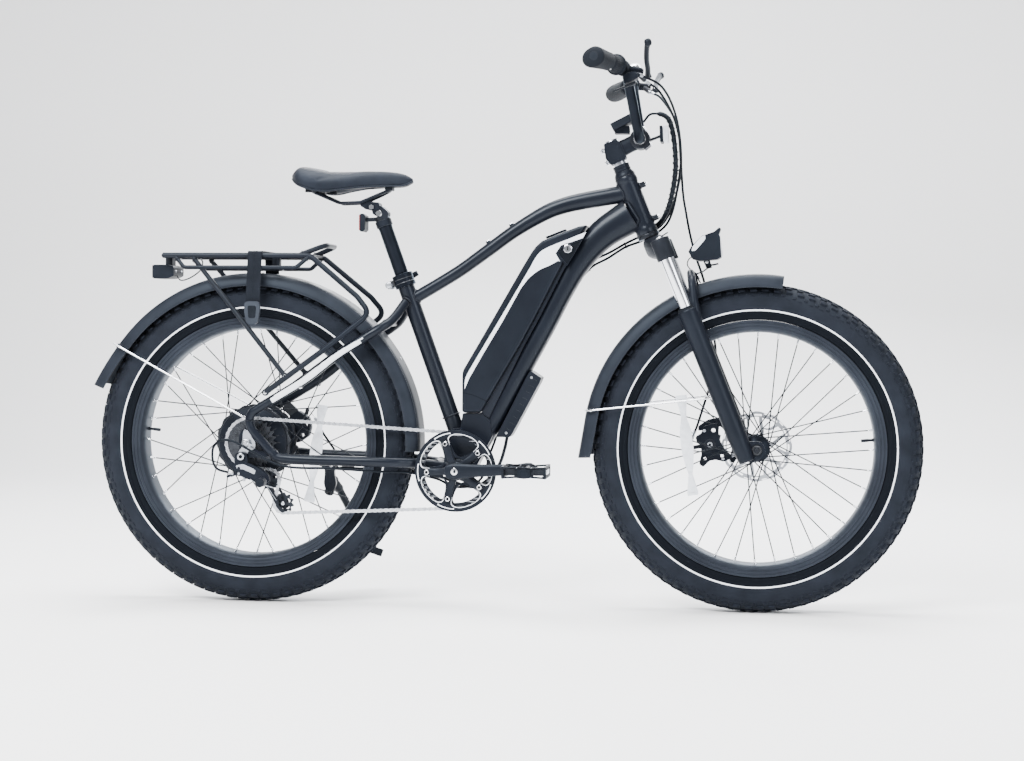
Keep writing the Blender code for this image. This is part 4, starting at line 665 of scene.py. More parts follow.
def make_tyre(name, node, centre, body, phase):
    ribs = []
    for i, (r, y) in enumerate(LINE):
        ribs.append((r, y))
    outer = []
    for r, y in ribs:
        for edge, lift in ((0.3455, 0.0005), (0.3005, 0.0006), (0.2935, 0.0005)):
            if abs(r - edge) < 0.0011:
                y += lift
        outer.append((r, y))
    inner = [(0.2880, 0.0330), (0.3000, 0.0420), (0.3270, 0.0455), (0.3480, 0.0350), (0.3600, 0.0150), (0.3612, 0.0)]
    half = list(reversed(outer))
    profile = [(r, y) for r, y in half] + [(r, -y) for r, y in outer[1:]] + [(r, -y) for r, y in inner] + [(r, y) for r, y in reversed(inner[:-1])]
    # sidewall faces nearer the axle than 0.306 m take the darker bead material: painted shade along the rim
    shell = emit(name, lathe(profile, centre, ring=True, sides=144), RUBBER, body, node, sharp=40, looks=[BEAD_SHADE],
                 face_look=lambda c, p: 1 if sqrt((c.x - centre.x) ** 2 + (c.z - centre.z) ** 2) < 0.3060 else 0)
    knobs = []
    count = 84
    step = 2 * pi / count
    for k in range(count):
        a = phase + k * step
        wide = k % 2
        for side in (1, -1):
            knobs.append(knob(centre, a + (0.25 if side > 0 else -0.25) * step, side * 0.0088, 0.0140, 0.0118, 0.0034, skew=0.18 * side))
            knobs.append(knob(centre, a + (0.75 if side > 0 else 0.25) * step, side * 0.0232, 0.0135 if wide else 0.0150, 0.0100, 0.0036, skew=-0.22 * side))
            knobs.append(knob(centre, a + 0.15 * step, side * 0.0378, 0.0155, 0.0110 if wide else 0.0090, 0.0040, skew=0.12 * side))
            knobs.append(knob(centre, a + 0.62 * step, side * (0.0500 if wide else 0.0485), 0.0082, 0.0072, 0.0022))
            knobs.append(knob(centre, a + 0.12 * step, side * 0.0555, 0.0120, 0.0022, 0.0009, taper=0.9))
    emit(name + "_tread", merged(knobs), TREAD, body, sharp=30, slot="tyre_rubber")
    stripes = []
    for side in (1, -1):
        band = []
        for r in (0.3068, 0.3076, 0.3086, 0.3096, 0.3102):
            band.append((r, side * (on_carcass(r) + 0.00022)))
        back = [(r, side * (on_carcass(r) - 0.0006)) for r in (0.3102, 0.3068)]
        stripes.append(lathe(band + back, centre, ring=True, sides=144))
    emit(name + "_stripe", merged(stripes), STRIPE, body, sharp=60, slot="tyre_rubber")
    return shell


# ---- rims, spokes and hubs ----
RIM_HALF = [(0.2787, 0.0374), (0.2860, 0.0374), (0.2869, 0.0386), (0.2862, 0.0401), (0.2822, 0.0403), (0.2812, 0.0390), (0.2798, 0.0389), (0.2788, 0.0401), (0.2745, 0.0399), (0.2735, 0.0384),
            (0.2719, 0.0383), (0.2706, 0.0393), (0.2668, 0.0382), (0.2632, 0.0330), (0.2606, 0.0255), (0.2596, 0.0200), (0.2593, 0.0100)]


def make_rim(name, node, centre, body, valve):
    profile = RIM_HALF + [(r, -y) for r, y in reversed(RIM_HALF)] + [(0.2700, -0.0300), (0.2680, 0.0), (0.2700, 0.0300)]
    emit(name, lathe(profile, centre, ring=True, sides=144), RIM, body, node, sharp=25)
    at = radians(valve)
    out = Vector((cos(at), 0, sin(at)))
    stem = lathe([(0.0042, 0), (0.0042, 0.003), (0.0030, 0.004), (0.0030, 0.0120), (0.0036, 0.0125), (0.0036, 0.0270), (0.0032, 0.0285), (0.0008, 0.0288)], centre + out * 0.2600, -out, 16)
    emit(name + "_valve", stem, PLASTIC, body, slot="plastic")


def make_spokes(name, centre, body, valve, holes_r, flange_y, twist, rim_y=0.011):
    """36 laced spokes with elbows, heads and nipples. twist is the hub hole's angle from the rim hole's, in degrees."""
    wires, nipples = [], []
    for i in range(36):
        rim_angle = valve + 5 + 10 * i
        side = -1 if i % 2 == 0 else 1
        lead = 1 if (i // 2) % 2 == 0 else -1
        hub_angle = rim_angle + lead * twist
        skin = 0.0016 if lead > 0 else -0.0016
        hole = at_angle(centre, holes_r, hub_angle, side * flange_y)
        start = at_angle(centre, holes_r, hub_angle, side * (flange_y + skin))
        seat = at_angle(centre, 0.2598, rim_angle, side * rim_y)
        along = (seat - start).normalized()
        wires.append(tube([hole - Y * (side * (0.0030 if lead > 0 else -0.0030)), start - along * 0.0002, start + along * 0.0030, start.lerp(seat, 0.5), seat - along * 0.006], 0.00135, 8, ref=Vector((0.3, 0.9, 0.2))))
        wires.append(lathe([(0.0004, 0), (0.0022, 0.0003), (0.0022, 0.0011), (0.0012, 0.0016)], hole - Y * (side * (0.0036 if lead > 0 else -0.0036)), Y * (side if lead > 0 else -side), 10))
        nipples.append(lathe([(0.0033, 0), (0.0033, 0.0012), (0.0021, 0.0020), (0.0021, 0.0098), (0.0017, 0.0118), (0.0011, 0.0122)], seat + along * 0.0006, -along, 10))
    emit(name + "_spokes", merged(wires), CABLE, body, sharp=50, slot="steel")
    emit(name + "_nipples", merged(nipples), CHROME, body, sharp=50, slot="silver_alloy")


def lobed(r, depth, lobes, per=8, phase=0.0, power=1.0):
    n = lobes * per
    return [((r - depth * (0.5 - 0.5 * cos(lobes * (2 * pi * k / n)) ) ** power) * cos(2 * pi * k / n + phase), (r - depth * (0.5 - 0.5 * cos(lobes * (2 * pi * k / n))) ** power) * sin(2 * pi * k / n + phase)) for k in range(n)]


def shifted(outline, c):
    return [(x + c.x, z + c.z) for x, z in outline]


def make_rotor(name, node, centre, body, low, high):
    """A wave brake disc: slotted band, six swept arms, and a bolted centre."""
    outer = shifted(lobed(0.0800, 0.0022, 12, 10), centre)
    holes = []
    for k in range(12):
        holes.append(window(centre.x, centre.z, 0.0700, 0.0738, 30 * k - 9, 30 * k + 5, 0.0012, 5))
        holes.append(window(centre.x, centre.z, 0.0748, 0.0768, 30 * k + 9, 30 * k + 18, 0.0008, 4))
    band = plate([outer] + [list(reversed(shifted(lobed(0.0660, -0.0016, 12, 8, radians(15)), centre)))] + holes, low, high)
    arms = []
    for k in range(6):
        a = 60 * k
        line = polar(centre.x, centre.z, [(0.0235, a - 9), (0.0400, a + 6), (0.0560, a + 17), (0.0675, a + 20), (0.0675, a + 26), (0.0550, a + 25), (0.0400, a + 18), (0.0235, a + 9)])
        arms.append(plate([line], low + 0.0001, high - 0.0001))
        line = polar(centre.x, centre.z, [(0.0420, a + 8), (0.0480, a - 10), (0.0665, a - 16), (0.0675, a - 10), (0.0500, a - 4), (0.0440, a + 12)])
        arms.append(plate([line], low + 0.0001, high - 0.0001))
    middle = plate([shifted(lobed(0.0270, 0.0030, 6, 10), centre), list(reversed(circle(centre.x, centre.z, 0.0228, 30)))], low + 0.00005, high - 0.00005)
    emit(name, merged([band, middle] + arms), STEEL, body, node, sharp=30)


def make_rear_hub():
    c = REAR
    shell = [(0.0072, -0.0865), (0.0150, -0.0865), (0.0160, -0.0855), (0.0160, -0.0530), (0.0300, -0.0505), (0.0640, -0.0462), (0.0700, -0.0440), (0.0790, -0.0418), (0.0800, -0.0392), (0.0800, -0.0330), (0.0760, -0.0300),
             (0.0752, -0.0200), (0.0752, 0.0200), (0.0760, 0.0300), (0.0800, 0.0330), (0.0800, 0.0392), (0.0790, 0.0418), (0.0700, 0.0440), (0.0560, 0.0478), (0.0300, 0.0505), (0.0225, 0.0520), (0.0222, 0.0585), (0.0150, 0.0615), (0.0150, 0.0865), (0.0072, 0.0865)]
    pieces = [lathe(shell, c, ring=True, sides=96)]
    flange_outline = shifted(lobed(0.0862, 0.0030, 18, 8, radians(4)), c)
    holes = [circle(*(lambda p: (p.x, p.z))(at_angle(c, 0.0815, 10 + 20 * k)), 0.0013, 8) for k in range(18)]
    for low, high in ((-0.0385, -0.0340), (0.0340, 0.0385)):
        pieces.append(plate([flange_outline, list(reversed(circle(c.x, c.z, 0.0745, 60)))] + [], low, high))
    for sign in (1, -1):
        for k in range(24):
            a = radians(15 * k)
            out, side = Vector((cos(a), 0, sin(a))), Vector((-sin(a), 0, cos(a)))
            pieces.append(box(c + out * 0.0500 + Y * (sign * 0.0478), (0.030, 0.0030, 0.0022), ((out - Y * (sign * 0.16)).normalized(), Y, side)))
        for k in range(9):
            pieces.append(lathe([(0.0028, 0), (0.0028, 0.0014), (0.0022, 0.0020), (0.0004, 0.0020)], at_angle(c, 0.0735, 40 * k + 12, sign * 0.0425), Y * sign, 12))
    emit("motor_shell", merged(pieces), CAST, "rear_wheel", "hub_motor", sharp=30)
    make_spokes("rear", c, "rear_wheel", 174.3, 0.0815, 0.0362, 44)


def make_front_hub():
    c = FRONT
    shell = [(0.0062, -0.0660), (0.0120, -0.0660), (0.0130, -0.0650), (0.0130, -0.0480), (0.0165, -0.0450), (0.0170, -0.0400), (0.0290, -0.0352), (0.0296, -0.0345), (0.0296, -0.0318), (0.0288, -0.0312), (0.0200, -0.0285), (0.0165, -0.0230), (0.0150, -0.0100),
             (0.0150, 0.0100), (0.0165, 0.0230), (0.0200, 0.0285), (0.0288, 0.0312), (0.0296, 0.0318), (0.0296, 0.0345), (0.0290, 0.0352), (0.0215, 0.0400), (0.0203, 0.0480), (0.0203, 0.0515), (0.0140, 0.0555), (0.0130, 0.0560), (0.0130, 0.0650), (0.0120, 0.0660), (0.0062, 0.0660)]
    pieces = [lathe(shell, c, ring=True, sides=64)]
    for k in range(6):
        pieces.append(hex_bolt(at_angle(c, 0.0213, 60 * k + 30, 0.0535), Y, 0.0034, 0.0022))
    emit("front_hub_shell", merged(pieces), ANODISED, "front_wheel", "front_hub", sharp=30)
    make_spokes("front", c, "front_wheel", 4.7, 0.0268, 0.0331, 57)


make_tyre("rear_tyre_shell", "rear_tyre", REAR, "rear_wheel", 0.0)
make_tyre("front_tyre_shell", "front_tyre", FRONT, "front_wheel", 0.02)
make_rim("rear_rim_hoop", "rear_rim", REAR, "rear_wheel", 174.3)
make_rim("front_rim_hoop", "front_rim", FRONT, "front_wheel", 4.7)
make_rear_hub()
make_front_hub()
make_rotor("rear_disc", "rear_rotor", REAR, "rear_wheel", 0.0591, 0.0609)
make_rotor("front_disc", "front_rotor", FRONT, "front_wheel", 0.0519, 0.0535)
for k in range(6):
    pass
emit("rear_disc_bolts", merged([hex_bolt(at_angle(REAR, 0.0245, 60 * k + 30, 0.0609), Y, 0.0032, 0.0024) for k in range(6)]), STEEL, "rear_wheel", slot="steel")


def make_axle(name, node, centre, body, shaft, inner, outer, nut, end):
    """A threaded axle with washers and flanged hexagon nuts outside both dropouts."""
    pieces = []
    for sign in (1, -1):
        turns = []
        y = outer
        while y < end - 0.0012:
            turns += [(shaft, sign * y), (shaft * 0.88, sign * (y + 0.0005))]
            y += 0.001
        profile = [(0.0003, sign * inner * 0.3), (shaft, sign * inner * 0.3), (shaft, sign * inner)] + turns + [(shaft * 0.85, sign * end), (0.0003, sign * end)]
        pieces.append(lathe(profile, centre, sides=20))
        pieces.append(lathe([(shaft * 0.9, sign * inner), (nut * 1.02, sign * inner), (nut * 1.02, sign * (inner + 0.0016)), (shaft * 0.9, sign * (inner + 0.0016))], centre, sides=28))
        deep = outer - inner
        pieces.append(lathe([(shaft * 0.9, sign * (inner + 0.0015)), (nut * 0.97, sign * (inner + 0.0015)), (nut * 0.97, sign * (inner + deep * 0.82)), (nut * 0.82, sign * outer), (shaft * 0.95, sign * outer)], centre, sides=6, turn=0.1))
    emit(name, merged(pieces), SILVER if node == "rear_axle" else ANODISED, body, node, sharp=25)


make_axle("rear_axle_nuts", "rear_axle", REAR, "frame", 0.0060, 0.0964, 0.1060, 0.0120, 0.1130)
make_axle("front_axle_nuts", "front_axle", FRONT, "lowers", 0.0048, 0.0782, 0.0860, 0.0110, 0.0910)


def spoke_reflector(name, centre, body, middle, length, lean, y, up=1):
    """A pale reflector wrapped on two neighbouring spokes: wide and grained in the middle, pinched, with a clasp at each end."""
    along = Vector((sin(radians(lean)), 0, cos(radians(lean))))
    across = Vector((cos(radians(lean)), 0, -sin(radians(lean))))
    shape = [(-1.0, 0.0115), (-0.94, 0.0128), (-0.92, 0.0118), (-0.62, 0.0056), (-0.56, 0.0050), (-0.40, 0.0088), (-0.15, 0.0128), (0.10, 0.0138), (0.30, 0.0126), (0.52, 0.0068), (0.60, 0.0062), (0.90, 0.0112), (0.92, 0.0128), (1.0, 0.0118)]
    line = smooth([Vector((u, w, 0)) for u, w in shape], 3)
    at = Vector(middle)
    sections = []
    for p in line:
        c = at + along * (p.x * length / 2)
        w = p.y
        thick = 0.0022 if abs(p.x) < 0.58 else 0.0030
        sections.append([c + across * w - Y * thick * 0.5, c + across * w * 0.55 - Y * thick, c - across * w * 0.55 - Y * thick, c - across * w - Y * thick * 0.5,
                         c - across * w + Y * thick * 0.5, c - across * w * 0.5 + Y * thick, c + across * w * 0.5 + Y * thick, c + across * w + Y * thick * 0.5])
    shape_ = rings(sections)
    obj = emit(name, shape_, REFLECT, body, sharp=40, slot="plastic")
    return obj




# ---- drive ----
RING_R, COG_R, JOCKEY_R = pitch_radius(RING_TEETH), pitch_radius(COG_TEETH), pitch_radius(JOCKEY_TEETH)
PULLEYS = [(BB, RING_R, 1, RING_Y), (REAR, COG_R, 1, COG_Y), (GUIDE, JOCKEY_R, -1, COG_Y), (TENSION, JOCKEY_R, 1, COG_Y)]


def belt(pulleys, step):
    """The chain's loop: arcs round the wheels, joined by the lines that touch both. turn is 1 anticlockwise seen from the right."""
    leaving, arriving = [], []
    for (c1, r1, s1, _), (c2, r2, s2, _) in zip(pulleys, pulleys[1:] + pulleys[:1]):
        dx, dz = c2.x - c1.x, c2.z - c1.z
        phi = math.atan2(dz, dx) - math.asin((s2 * r2 - s1 * r1) / sqrt(dx * dx + dz * dz))
        leaving.append(math.atan2(-s1 * cos(phi), s1 * sin(phi)))
        arriving.append(math.atan2(-s2 * cos(phi), s2 * sin(phi)))
    path = []
    for i, (c, r, s, y) in enumerate(pulleys):
        a, b = arriving[i - 1], leaving[i]
        sweep = (b - a) * s % (2 * pi) * s
        count = max(2, round(abs(sweep) / step))
        for k in range(count + 1):
            t = a + sweep * k / count
            path.append(Vector((c.x + r * cos(t), y, c.z + r * sin(t))))
    return path


def chain_joints():
    path = belt(PULLEYS, radians(2))
    path.append(path[0])
    total = sum((b - a).length for a, b in zip(path, path[1:]))
    count = 2 * round(total / PITCH / 2)
    step, out, gone, k = total / count, [], 0.0, 0
    for a, b in zip(path, path[1:]):
        length = (b - a).length
        while k < count and k * step <= gone + length + 1e-9:
            out.append(a.lerp(b, (k * step - gone) / max(length, 1e-9)))
            k += 1
        gone += length
    return out


def link_plate(a, b, offset, thick, end_r, waist):
    along = (b - a).normalized()
    side = (Y - along * along.dot(Y)).normalized()
    up = along.cross(side)
    span = (b - a).length
    outline = []
    for k in range(7):
        t = pi / 2 + pi * k / 6
        outline.append((end_r * cos(t), end_r * sin(t)))
    outline.append((span * 0.5, -waist))
    for k in range(7):
        t = -pi / 2 + pi * k / 6
        outline.append((span + end_r * cos(t), end_r * sin(t)))
    outline.append((span * 0.5, waist))
    return rings([[a + along * u + up * w + side * y for u, w in outline] for y in (offset - thick / 2, offset + thick / 2)])


JOINTS = chain_joints()
chain_parts, chain_pins = [], []
for i, a in enumerate(JOINTS):
    b = JOINTS[(i + 1) % len(JOINTS)]
    wide = 0.0032 if i % 2 else 0.0021
    for s in (1, -1):
        chain_parts.append(link_plate(a, b, s * wide, 0.0010, 0.0039, 0.0029))
    side = Y
    chain_pins.append(rod(a - side * 0.0041, a + side * 0.0041, 0.0017, 8))
    chain_pins.append(rod(a - side * 0.0016, a + side * 0.0016, 0.0036, 10))
emit("chain_links", merged(chain_parts), CHAIN, "frame", "chain", sharp=30)
emit("chain_pins", merged(chain_pins), STEEL, "frame", slot="chrome")


def tooth_phase(centre, radius):
    """The angle half way between two of the chain's rollers on this wheel."""
    best = min((abs((p - centre).length - radius) + abs(((p - centre).length)) * 0, i) for i, p in enumerate(JOINTS) if abs(Vector((p.x - centre.x, 0, p.z - centre.z)).length - radius) < 0.0004)[1]
    a, b = JOINTS[best], JOINTS[(best + 1) % len(JOINTS)]
    if abs(Vector((b.x - centre.x, 0, b.z - centre.z)).length - radius) > 0.0006:
        b = JOINTS[best - 1]
    middle = (a + b) / 2
    return math.atan2(middle.z - centre.z, middle.x - centre.x)


def toothed(centre, teeth, phase, tip=0.0034, root=0.0040):
    pitch_r = pitch_radius(teeth)
    out = []
    for k in range(teeth):
        middle = phase + 2 * pi * k / teeth
        for r, share in ((pitch_r - root, -0.36), (pitch_r - root * 0.55, -0.24), (pitch_r + 0.0004, -0.16), (pitch_r + tip, -0.05), (pitch_r + tip, 0.05), (pitch_r + 0.0004, 0.16), (pitch_r - root * 0.55, 0.24), (pitch_r - root, 0.36)):
            t = middle + share * 2 * pi / teeth
            out.append((centre.x + r * cos(t), centre.z + r * sin(t)))
    return out


# chainring, guard and spider
def guard_window(k, grow=0.0):
    """A rounded opening between two arms, wide outside and narrow towards the centre."""
    m = 72 * k + 3
    shape = [(0.0812, 0), (0.0810, 11), (0.0795, 19), (0.0762, 24.2), (0.0715, 26.5), (0.0660, 26.5), (0.0610, 26.0), (0.0540, 24.5), (0.0460, 21.5), (0.0385, 15), (0.0340, 7), (0.0330, 0)]
    pts = [(r + (grow if r > 0.066 else -grow), a + math.degrees(grow / r) * (1 if a > 20 else a / 20)) for r, a in shape]
    pts = pts + [(r, -a) for r, a in reversed(pts[1:-1])]
    line = [Vector((*p, 0)) for p in polar(BB.x, BB.z, [(r, m + a) for r, a in pts])]
    n = len(line)
    out = []
    for i in range(n):
        p0, p1, p2, p3 = line[i - 1], line[i], line[(i + 1) % n], line[(i + 2) % n]
        for s in range(4):
            t = s / 4
            q = 0.5 * ((2 * p1) + (p2 - p0) * t + (2 * p0 - 5 * p1 + 4 * p2 - p3) * t * t + (p3 - p0 + 3 * (p1 - p2)) * t ** 3)
            out.append((q.x, q.y))
    return out


BOLTS = [39 + 72 * k for k in range(5)]
guard = plate([circle(BB.x, BB.z, 0.0921, 120), *[guard_window(k) for k in range(5)], list(reversed(circle(BB.x, BB.z, 0.0300, 40)))], -0.0796, -0.0770)
emit("chain_guard", guard, SATIN, "crank", "chainring", sharp=30, bevel=0.0005)
trims = []
for k in range(5):
    inner, outer = guard_window(k, 0.0013), guard_window(k, 0.0026)
    half = len(inner)
    keep = [i for i in range(half) if math.hypot(inner[i][0] - BB.x, inner[i][1] - BB.z) > 0.0585]
    start = next(i for i in range(half) if i in keep and (i - 1) % half not in keep)
    run = []
    i = start
    while i in keep and len(run) < half:
        run.append(i)
        i = (i + 1) % half
    trims.append(rings([[Vector((outer[i][0], -0.0796, outer[i][1])), Vector((inner[i][0], -0.0796, inner[i][1])), Vector((inner[i][0], -0.0800, inner[i][1])), Vector((outer[i][0], -0.0800, outer[i][1]))] for i in run]))
for m in BOLTS:
    arc = []
    for i in range(15):
        a = m - 13 + 26 * i / 14
        end = abs(i - 7) / 7
        r0, r1 = 0.0848 - 0.0016 * max(0.0, end - 0.85) / 0.15, 0.0868
        p0, p1 = polar(BB.x, BB.z, [(r0, a), (r1, a)])
        arc.append([Vector((p1[0], -0.0796, p1[1])), Vector((p0[0], -0.0796, p0[1])), Vector((p0[0], -0.0800, p0[1])), Vector((p1[0], -0.0800, p1[1]))])
    trims.append(rings(arc))
emit("chain_guard_trim", merged(trims), FRAME_LIGHT, "crank", sharp=40, slot="black_alloy")
ring_line = toothed(BB, RING_TEETH, tooth_phase(BB, RING_R))
inner_ring = []
for k in range(150):
    a = 2.4 * k
    near = min(abs((a - m + 180) % 360 - 180) for m in BOLTS)
    inner_ring.append((0.0725 - 0.0150 * max(0.0, 1 - near / 11.0) ** 0.6, a))
ring = plate([ring_line, list(reversed(polar(BB.x, BB.z, inner_ring)))], -0.0713, -0.0689)
emit("chainring_teeth", ring, STEEL, "crank", sharp=30, slot="black_alloy", looks=[SATIN], face_look=lambda c, p: 1 if Vector((c.x - BB.x, 0, c.z - BB.z)).length < 0.0790 else 0)
spacers = [rod(at_angle(BB, 0.0650, m, -0.0772), at_angle(BB, 0.0650, m, -0.0712), 0.0058, 14) for m in BOLTS]
emit("chainring_spacers", merged(spacers), SATIN, "crank", slot="black_alloy")
heads, sockets = [], []
for m in BOLTS:
    at = at_angle(BB, 0.0650, m, -0.0852)
    heads.append(lathe([(0.0031, 0.0016), (0.0031, 0.0), (0.0056, 0.0), (0.0056, 0.0014), (0.0048, 0.0022), (0.0034, 0.0022)], at, -Y, 20, ring=True))
    sockets.append(lathe([(0.0032, 0.0002), (0.0032, 0.0008), (0.0002, 0.0008)], at, -Y, 6))
emit("chainring_bolts", merged(heads), CHROME, "crank", slot="silver_alloy")
# painted shade: flat near-black hexagons at the bottom of the bolt sockets
emit("chainring_bolt_sockets", merged(sockets), RECESS_SHADE, "crank", slot="black_alloy")

spider_parts = []
for m in BOLTS:
    out = Vector((cos(radians(m)), 0, sin(radians(m))))
    side = Vector((-sin(radians(m)), 0, cos(radians(m))))
    sections = []
    for r, w, y0, y1 in ((0.006, 0.0110, -0.0905, -0.0800), (0.016, 0.0092, -0.0900, -0.0800), (0.028, 0.0078, -0.0876, -0.0798), (0.044, 0.0072, -0.0858, -0.0797), (0.056, 0.0078, -0.0852, -0.0797), (0.0640, 0.0086, -0.0852, -0.0797), (0.0690, 0.0076, -0.0852, -0.0797), (0.0722, 0.0045, -0.0850, -0.0799)):
        c = BB + out * r
        sections.append([c + side * w + Y * y1, c + side * w + Y * (y0 * 0.75 + y1 * 0.25), c + side * (w * 0.72) + Y * y0, c - side * (w * 0.72) + Y * y0, c - side * w + Y * (y0 * 0.75 + y1 * 0.25), c - side * w + Y * y1])
    spider_parts.append(rings(sections))
spider_parts.append(lathe([(0.0090, -0.0990), (0.0135, -0.0990), (0.0150, -0.0975), (0.0165, -0.0900), (0.0205, -0.0868), (0.0220, -0.0840), (0.0220, -0.0665), (0.0090, -0.0665)], BB, ring=True, sides=48))


TILT = radians(3.0)      # the right arm points a little above the horizontal
ARM, ARM_UP = Vector((cos(TILT), 0, sin(TILT))), Vector((-sin(TILT), 0, cos(TILT)))


def arm_shape(sign):
    """The crank arm: rounded section, deep at the axle, slimmer along, with a round eye for the pedal."""
    d = -sign
    stations = [(-0.0225, 0.0070, 0.0050), (-0.0210, 0.0120, 0.0060), (-0.0160, 0.0160, 0.0066), (-0.0070, 0.0180, 0.0068), (0.0060, 0.0182, 0.0068), (0.0220, 0.0165, 0.0068), (0.0450, 0.0145, 0.0066), (0.0800, 0.0132, 0.0064),
                (0.1200, 0.0125, 0.0062), (0.1450, 0.0124, 0.0062), (0.1580, 0.0138, 0.0064), (0.1680, 0.0148, 0.0065), (0.1760, 0.0138, 0.0065), (0.1815, 0.0105, 0.0062), (0.1845, 0.0055, 0.0056)]
    sections = []
    for x, half, thick in stations:
        out = 0.018 * max(0.0, min(1.0, x / CRANK))
        c = BB + ARM * (d * x) + Y * (sign * (0.0925 + out))
        ring = []
        for k in range(20):
            t = 2 * pi * k / 20
            cc, ss = cos(t), sin(t)
            u = math.copysign(abs(cc) ** 0.62, cc)
            v = math.copysign(abs(ss) ** 0.72, ss)
            ring.append(c + ARM_UP * (half * v) + Y * (thick * u))
        sections.append(ring)
    return rings(sections)


pedal_right_at = BB + ARM * CRANK - Y * 0.120
pedal_left_at = BB - ARM * CRANK + Y * 0.120
emit("crank_arm_right", merged([arm_shape(-1), *spider_parts, rod(BB - Y * 0.062, BB + Y * 0.0985, 0.0085, 24), rod(pedal_right_at + Y * 0.006, pedal_right_at - Y * 0.099, 0.0048, 16)]), SATIN, "crank", "crank_right", sharp=38)
emit("crank_arm_left", merged([arm_shape(1), lathe([(0.0090, 0.0700), (0.0150, 0.0700), (0.0165, 0.0800), (0.0165, 0.0900), (0.0090, 0.0900)], BB, ring=True, sides=40), rod(pedal_left_at - Y * 0.006, pedal_left_at + Y * 0.099, 0.0048, 16)]), SATIN, "crank", "crank_left", sharp=38)
caps = []
for sign in (1, -1):
    d = -sign
    caps.append(lathe([(0.0002, sign * 0.0975), (0.0078, sign * 0.0975), (0.0078, sign * 0.1003), (0.0068, sign * 0.1012), (0.0040, sign * 0.1013), (0.0038, sign * 0.0995), (0.0002, sign * 0.0995)], BB, sides=30))
    eye = BB + ARM * (d * CRANK)
    caps.append(lathe([(0.0044, sign * 0.1035), (0.0044, sign * 0.1028), (0.0002, sign * 0.1028)], eye, sides=6))
    caps.append(lathe([(0.0072, sign * 0.1166), (0.0072, sign * 0.1212), (0.0050, sign * 0.1212), (0.0050, sign * 0.1166)], eye, sides=6, ring=True))
emit("crank_bolts", merged(caps), CHROME, "crank", slot="silver_alloy")
bottom_bracket = [lathe([(0.0092, s * 0.0420), (0.0235, s * 0.0420), (0.0235, s * 0.0445), (0.0205, s * 0.0470), (0.0205, s * 0.0490), (0.0092, s * 0.0490)], BB, ring=True, sides=48) for s in (1, -1)]
emit("bottom_bracket_cups", merged(bottom_bracket), ANODISED, "frame", slot="black_alloy")


def pedal_shape(centre, sign):
    """A platform pedal: bearing barrel, end plates with openings, toothed front and rear rails, cross ribs."""
    c = centre
    parts, pins, lights = [], [], []
    lo, hi = 0.0035, 0.1025

    def place(x, y, z):
        return c + Vector((x, sign * y, z))

    parts.append(lathe([(0.0056, 0.004), (0.0105, 0.004), (0.0105, 0.012), (0.0088, 0.016), (0.0082, 0.055), (0.0088, 0.090), (0.0098, 0.0945), (0.0098, 0.1015), (0.0086, 0.1028), (0.0003, 0.1028)], c, Y * sign, 28))
    end_line = [(-0.0490, -0.0080), (-0.0450, -0.0128), (-0.0160, -0.0110), (0.0, -0.0128), (0.0160, -0.0110), (0.0450, -0.0128), (0.0490, -0.0080), (0.0490, 0.0080), (0.0450, 0.0128), (0.0160, 0.0110), (0.0, 0.0128), (-0.0160, 0.0110), (-0.0450, 0.0128), (-0.0490, 0.0080)]
    holes = [[(s * 0.0145, -0.0066), (s * 0.0400, -0.0086), (s * 0.0436, -0.0050), (s * 0.0436, 0.0050), (s * 0.0400, 0.0086), (s * 0.0145, 0.0066)] for s in (1, -1)]
    for y0, y1 in ((lo, lo + 0.0040), (hi - 0.0040, hi - 0.0003)):
        parts.append(plate([end_line, *holes], y0, y1, place))
    for s in (1, -1):
        for level in (1, -1):
            bar = []
            for i in range(25):
                y = lo + 0.001 + (hi - lo - 0.002) * i / 24
                lift = 0.0012 if i % 4 in (1, 2) else 0.0
                bar.append([place(s * 0.0490, y, level * 0.0070), place(s * 0.0492, y, level * (0.0118 + lift)), place(s * 0.0455, y, level * (0.0126 + lift)), place(s * 0.0430, y, level * 0.0080)])
            parts.append(rings(bar))
        parts.append(box(place(s * 0.0455, (lo + hi) / 2, 0), (0.0030, 0.012, 0.018)))
        lights.append(box(place(s * 0.0478, (lo + hi) / 2, 0), (0.0022, 0.050, 0.0100)))
        parts.append(box(place(s * 0.0462, (lo + hi) / 2, 0), (0.0020, 0.058, 0.0135)))
        for y in (0.0300, 0.0530, 0.0760):
            parts.append(box(place(s * 0.0270, y, 0), (0.0380, 0.0050, 0.0150)))
    for x in (-0.0460, -0.0165, 0.0165, 0.0460):
        for y in (0.0120, 0.0530, 0.0940):
            if abs(x) < 0.02 and y == 0.0530:
                continue
            for level in (1, -1):
                base = 0.0118 if abs(x) > 0.02 else 0.0085
                pins.append(lathe([(0.0018, 0), (0.0018, 0.0022), (0.0012, 0.0026)], place(x, y, level * base), Z * level, 8))
    for y in (0.0120, 0.0940):
        parts.append(box(place(0, y, 0), (0.0420, 0.0060, 0.0180)))
    return parts, pins, lights


for side, at, sign, body in (("right", pedal_right_at, -1, "pedal_r"), ("left", pedal_left_at, 1, "pedal_l")):
    parts, pins, lights = pedal_shape(at, sign)
    emit("pedal_" + side + "_cage", merged(parts), PLASTIC, body, "pedal_" + side, sharp=30, bevel=0.0005, segments=1)
    emit("pedal_" + side + "_pins", merged(pins), STEEL, body, slot="steel")
    emit("pedal_" + side + "_reflectors", merged(lights), PALE, body, slot="plastic", bevel=0.0004)

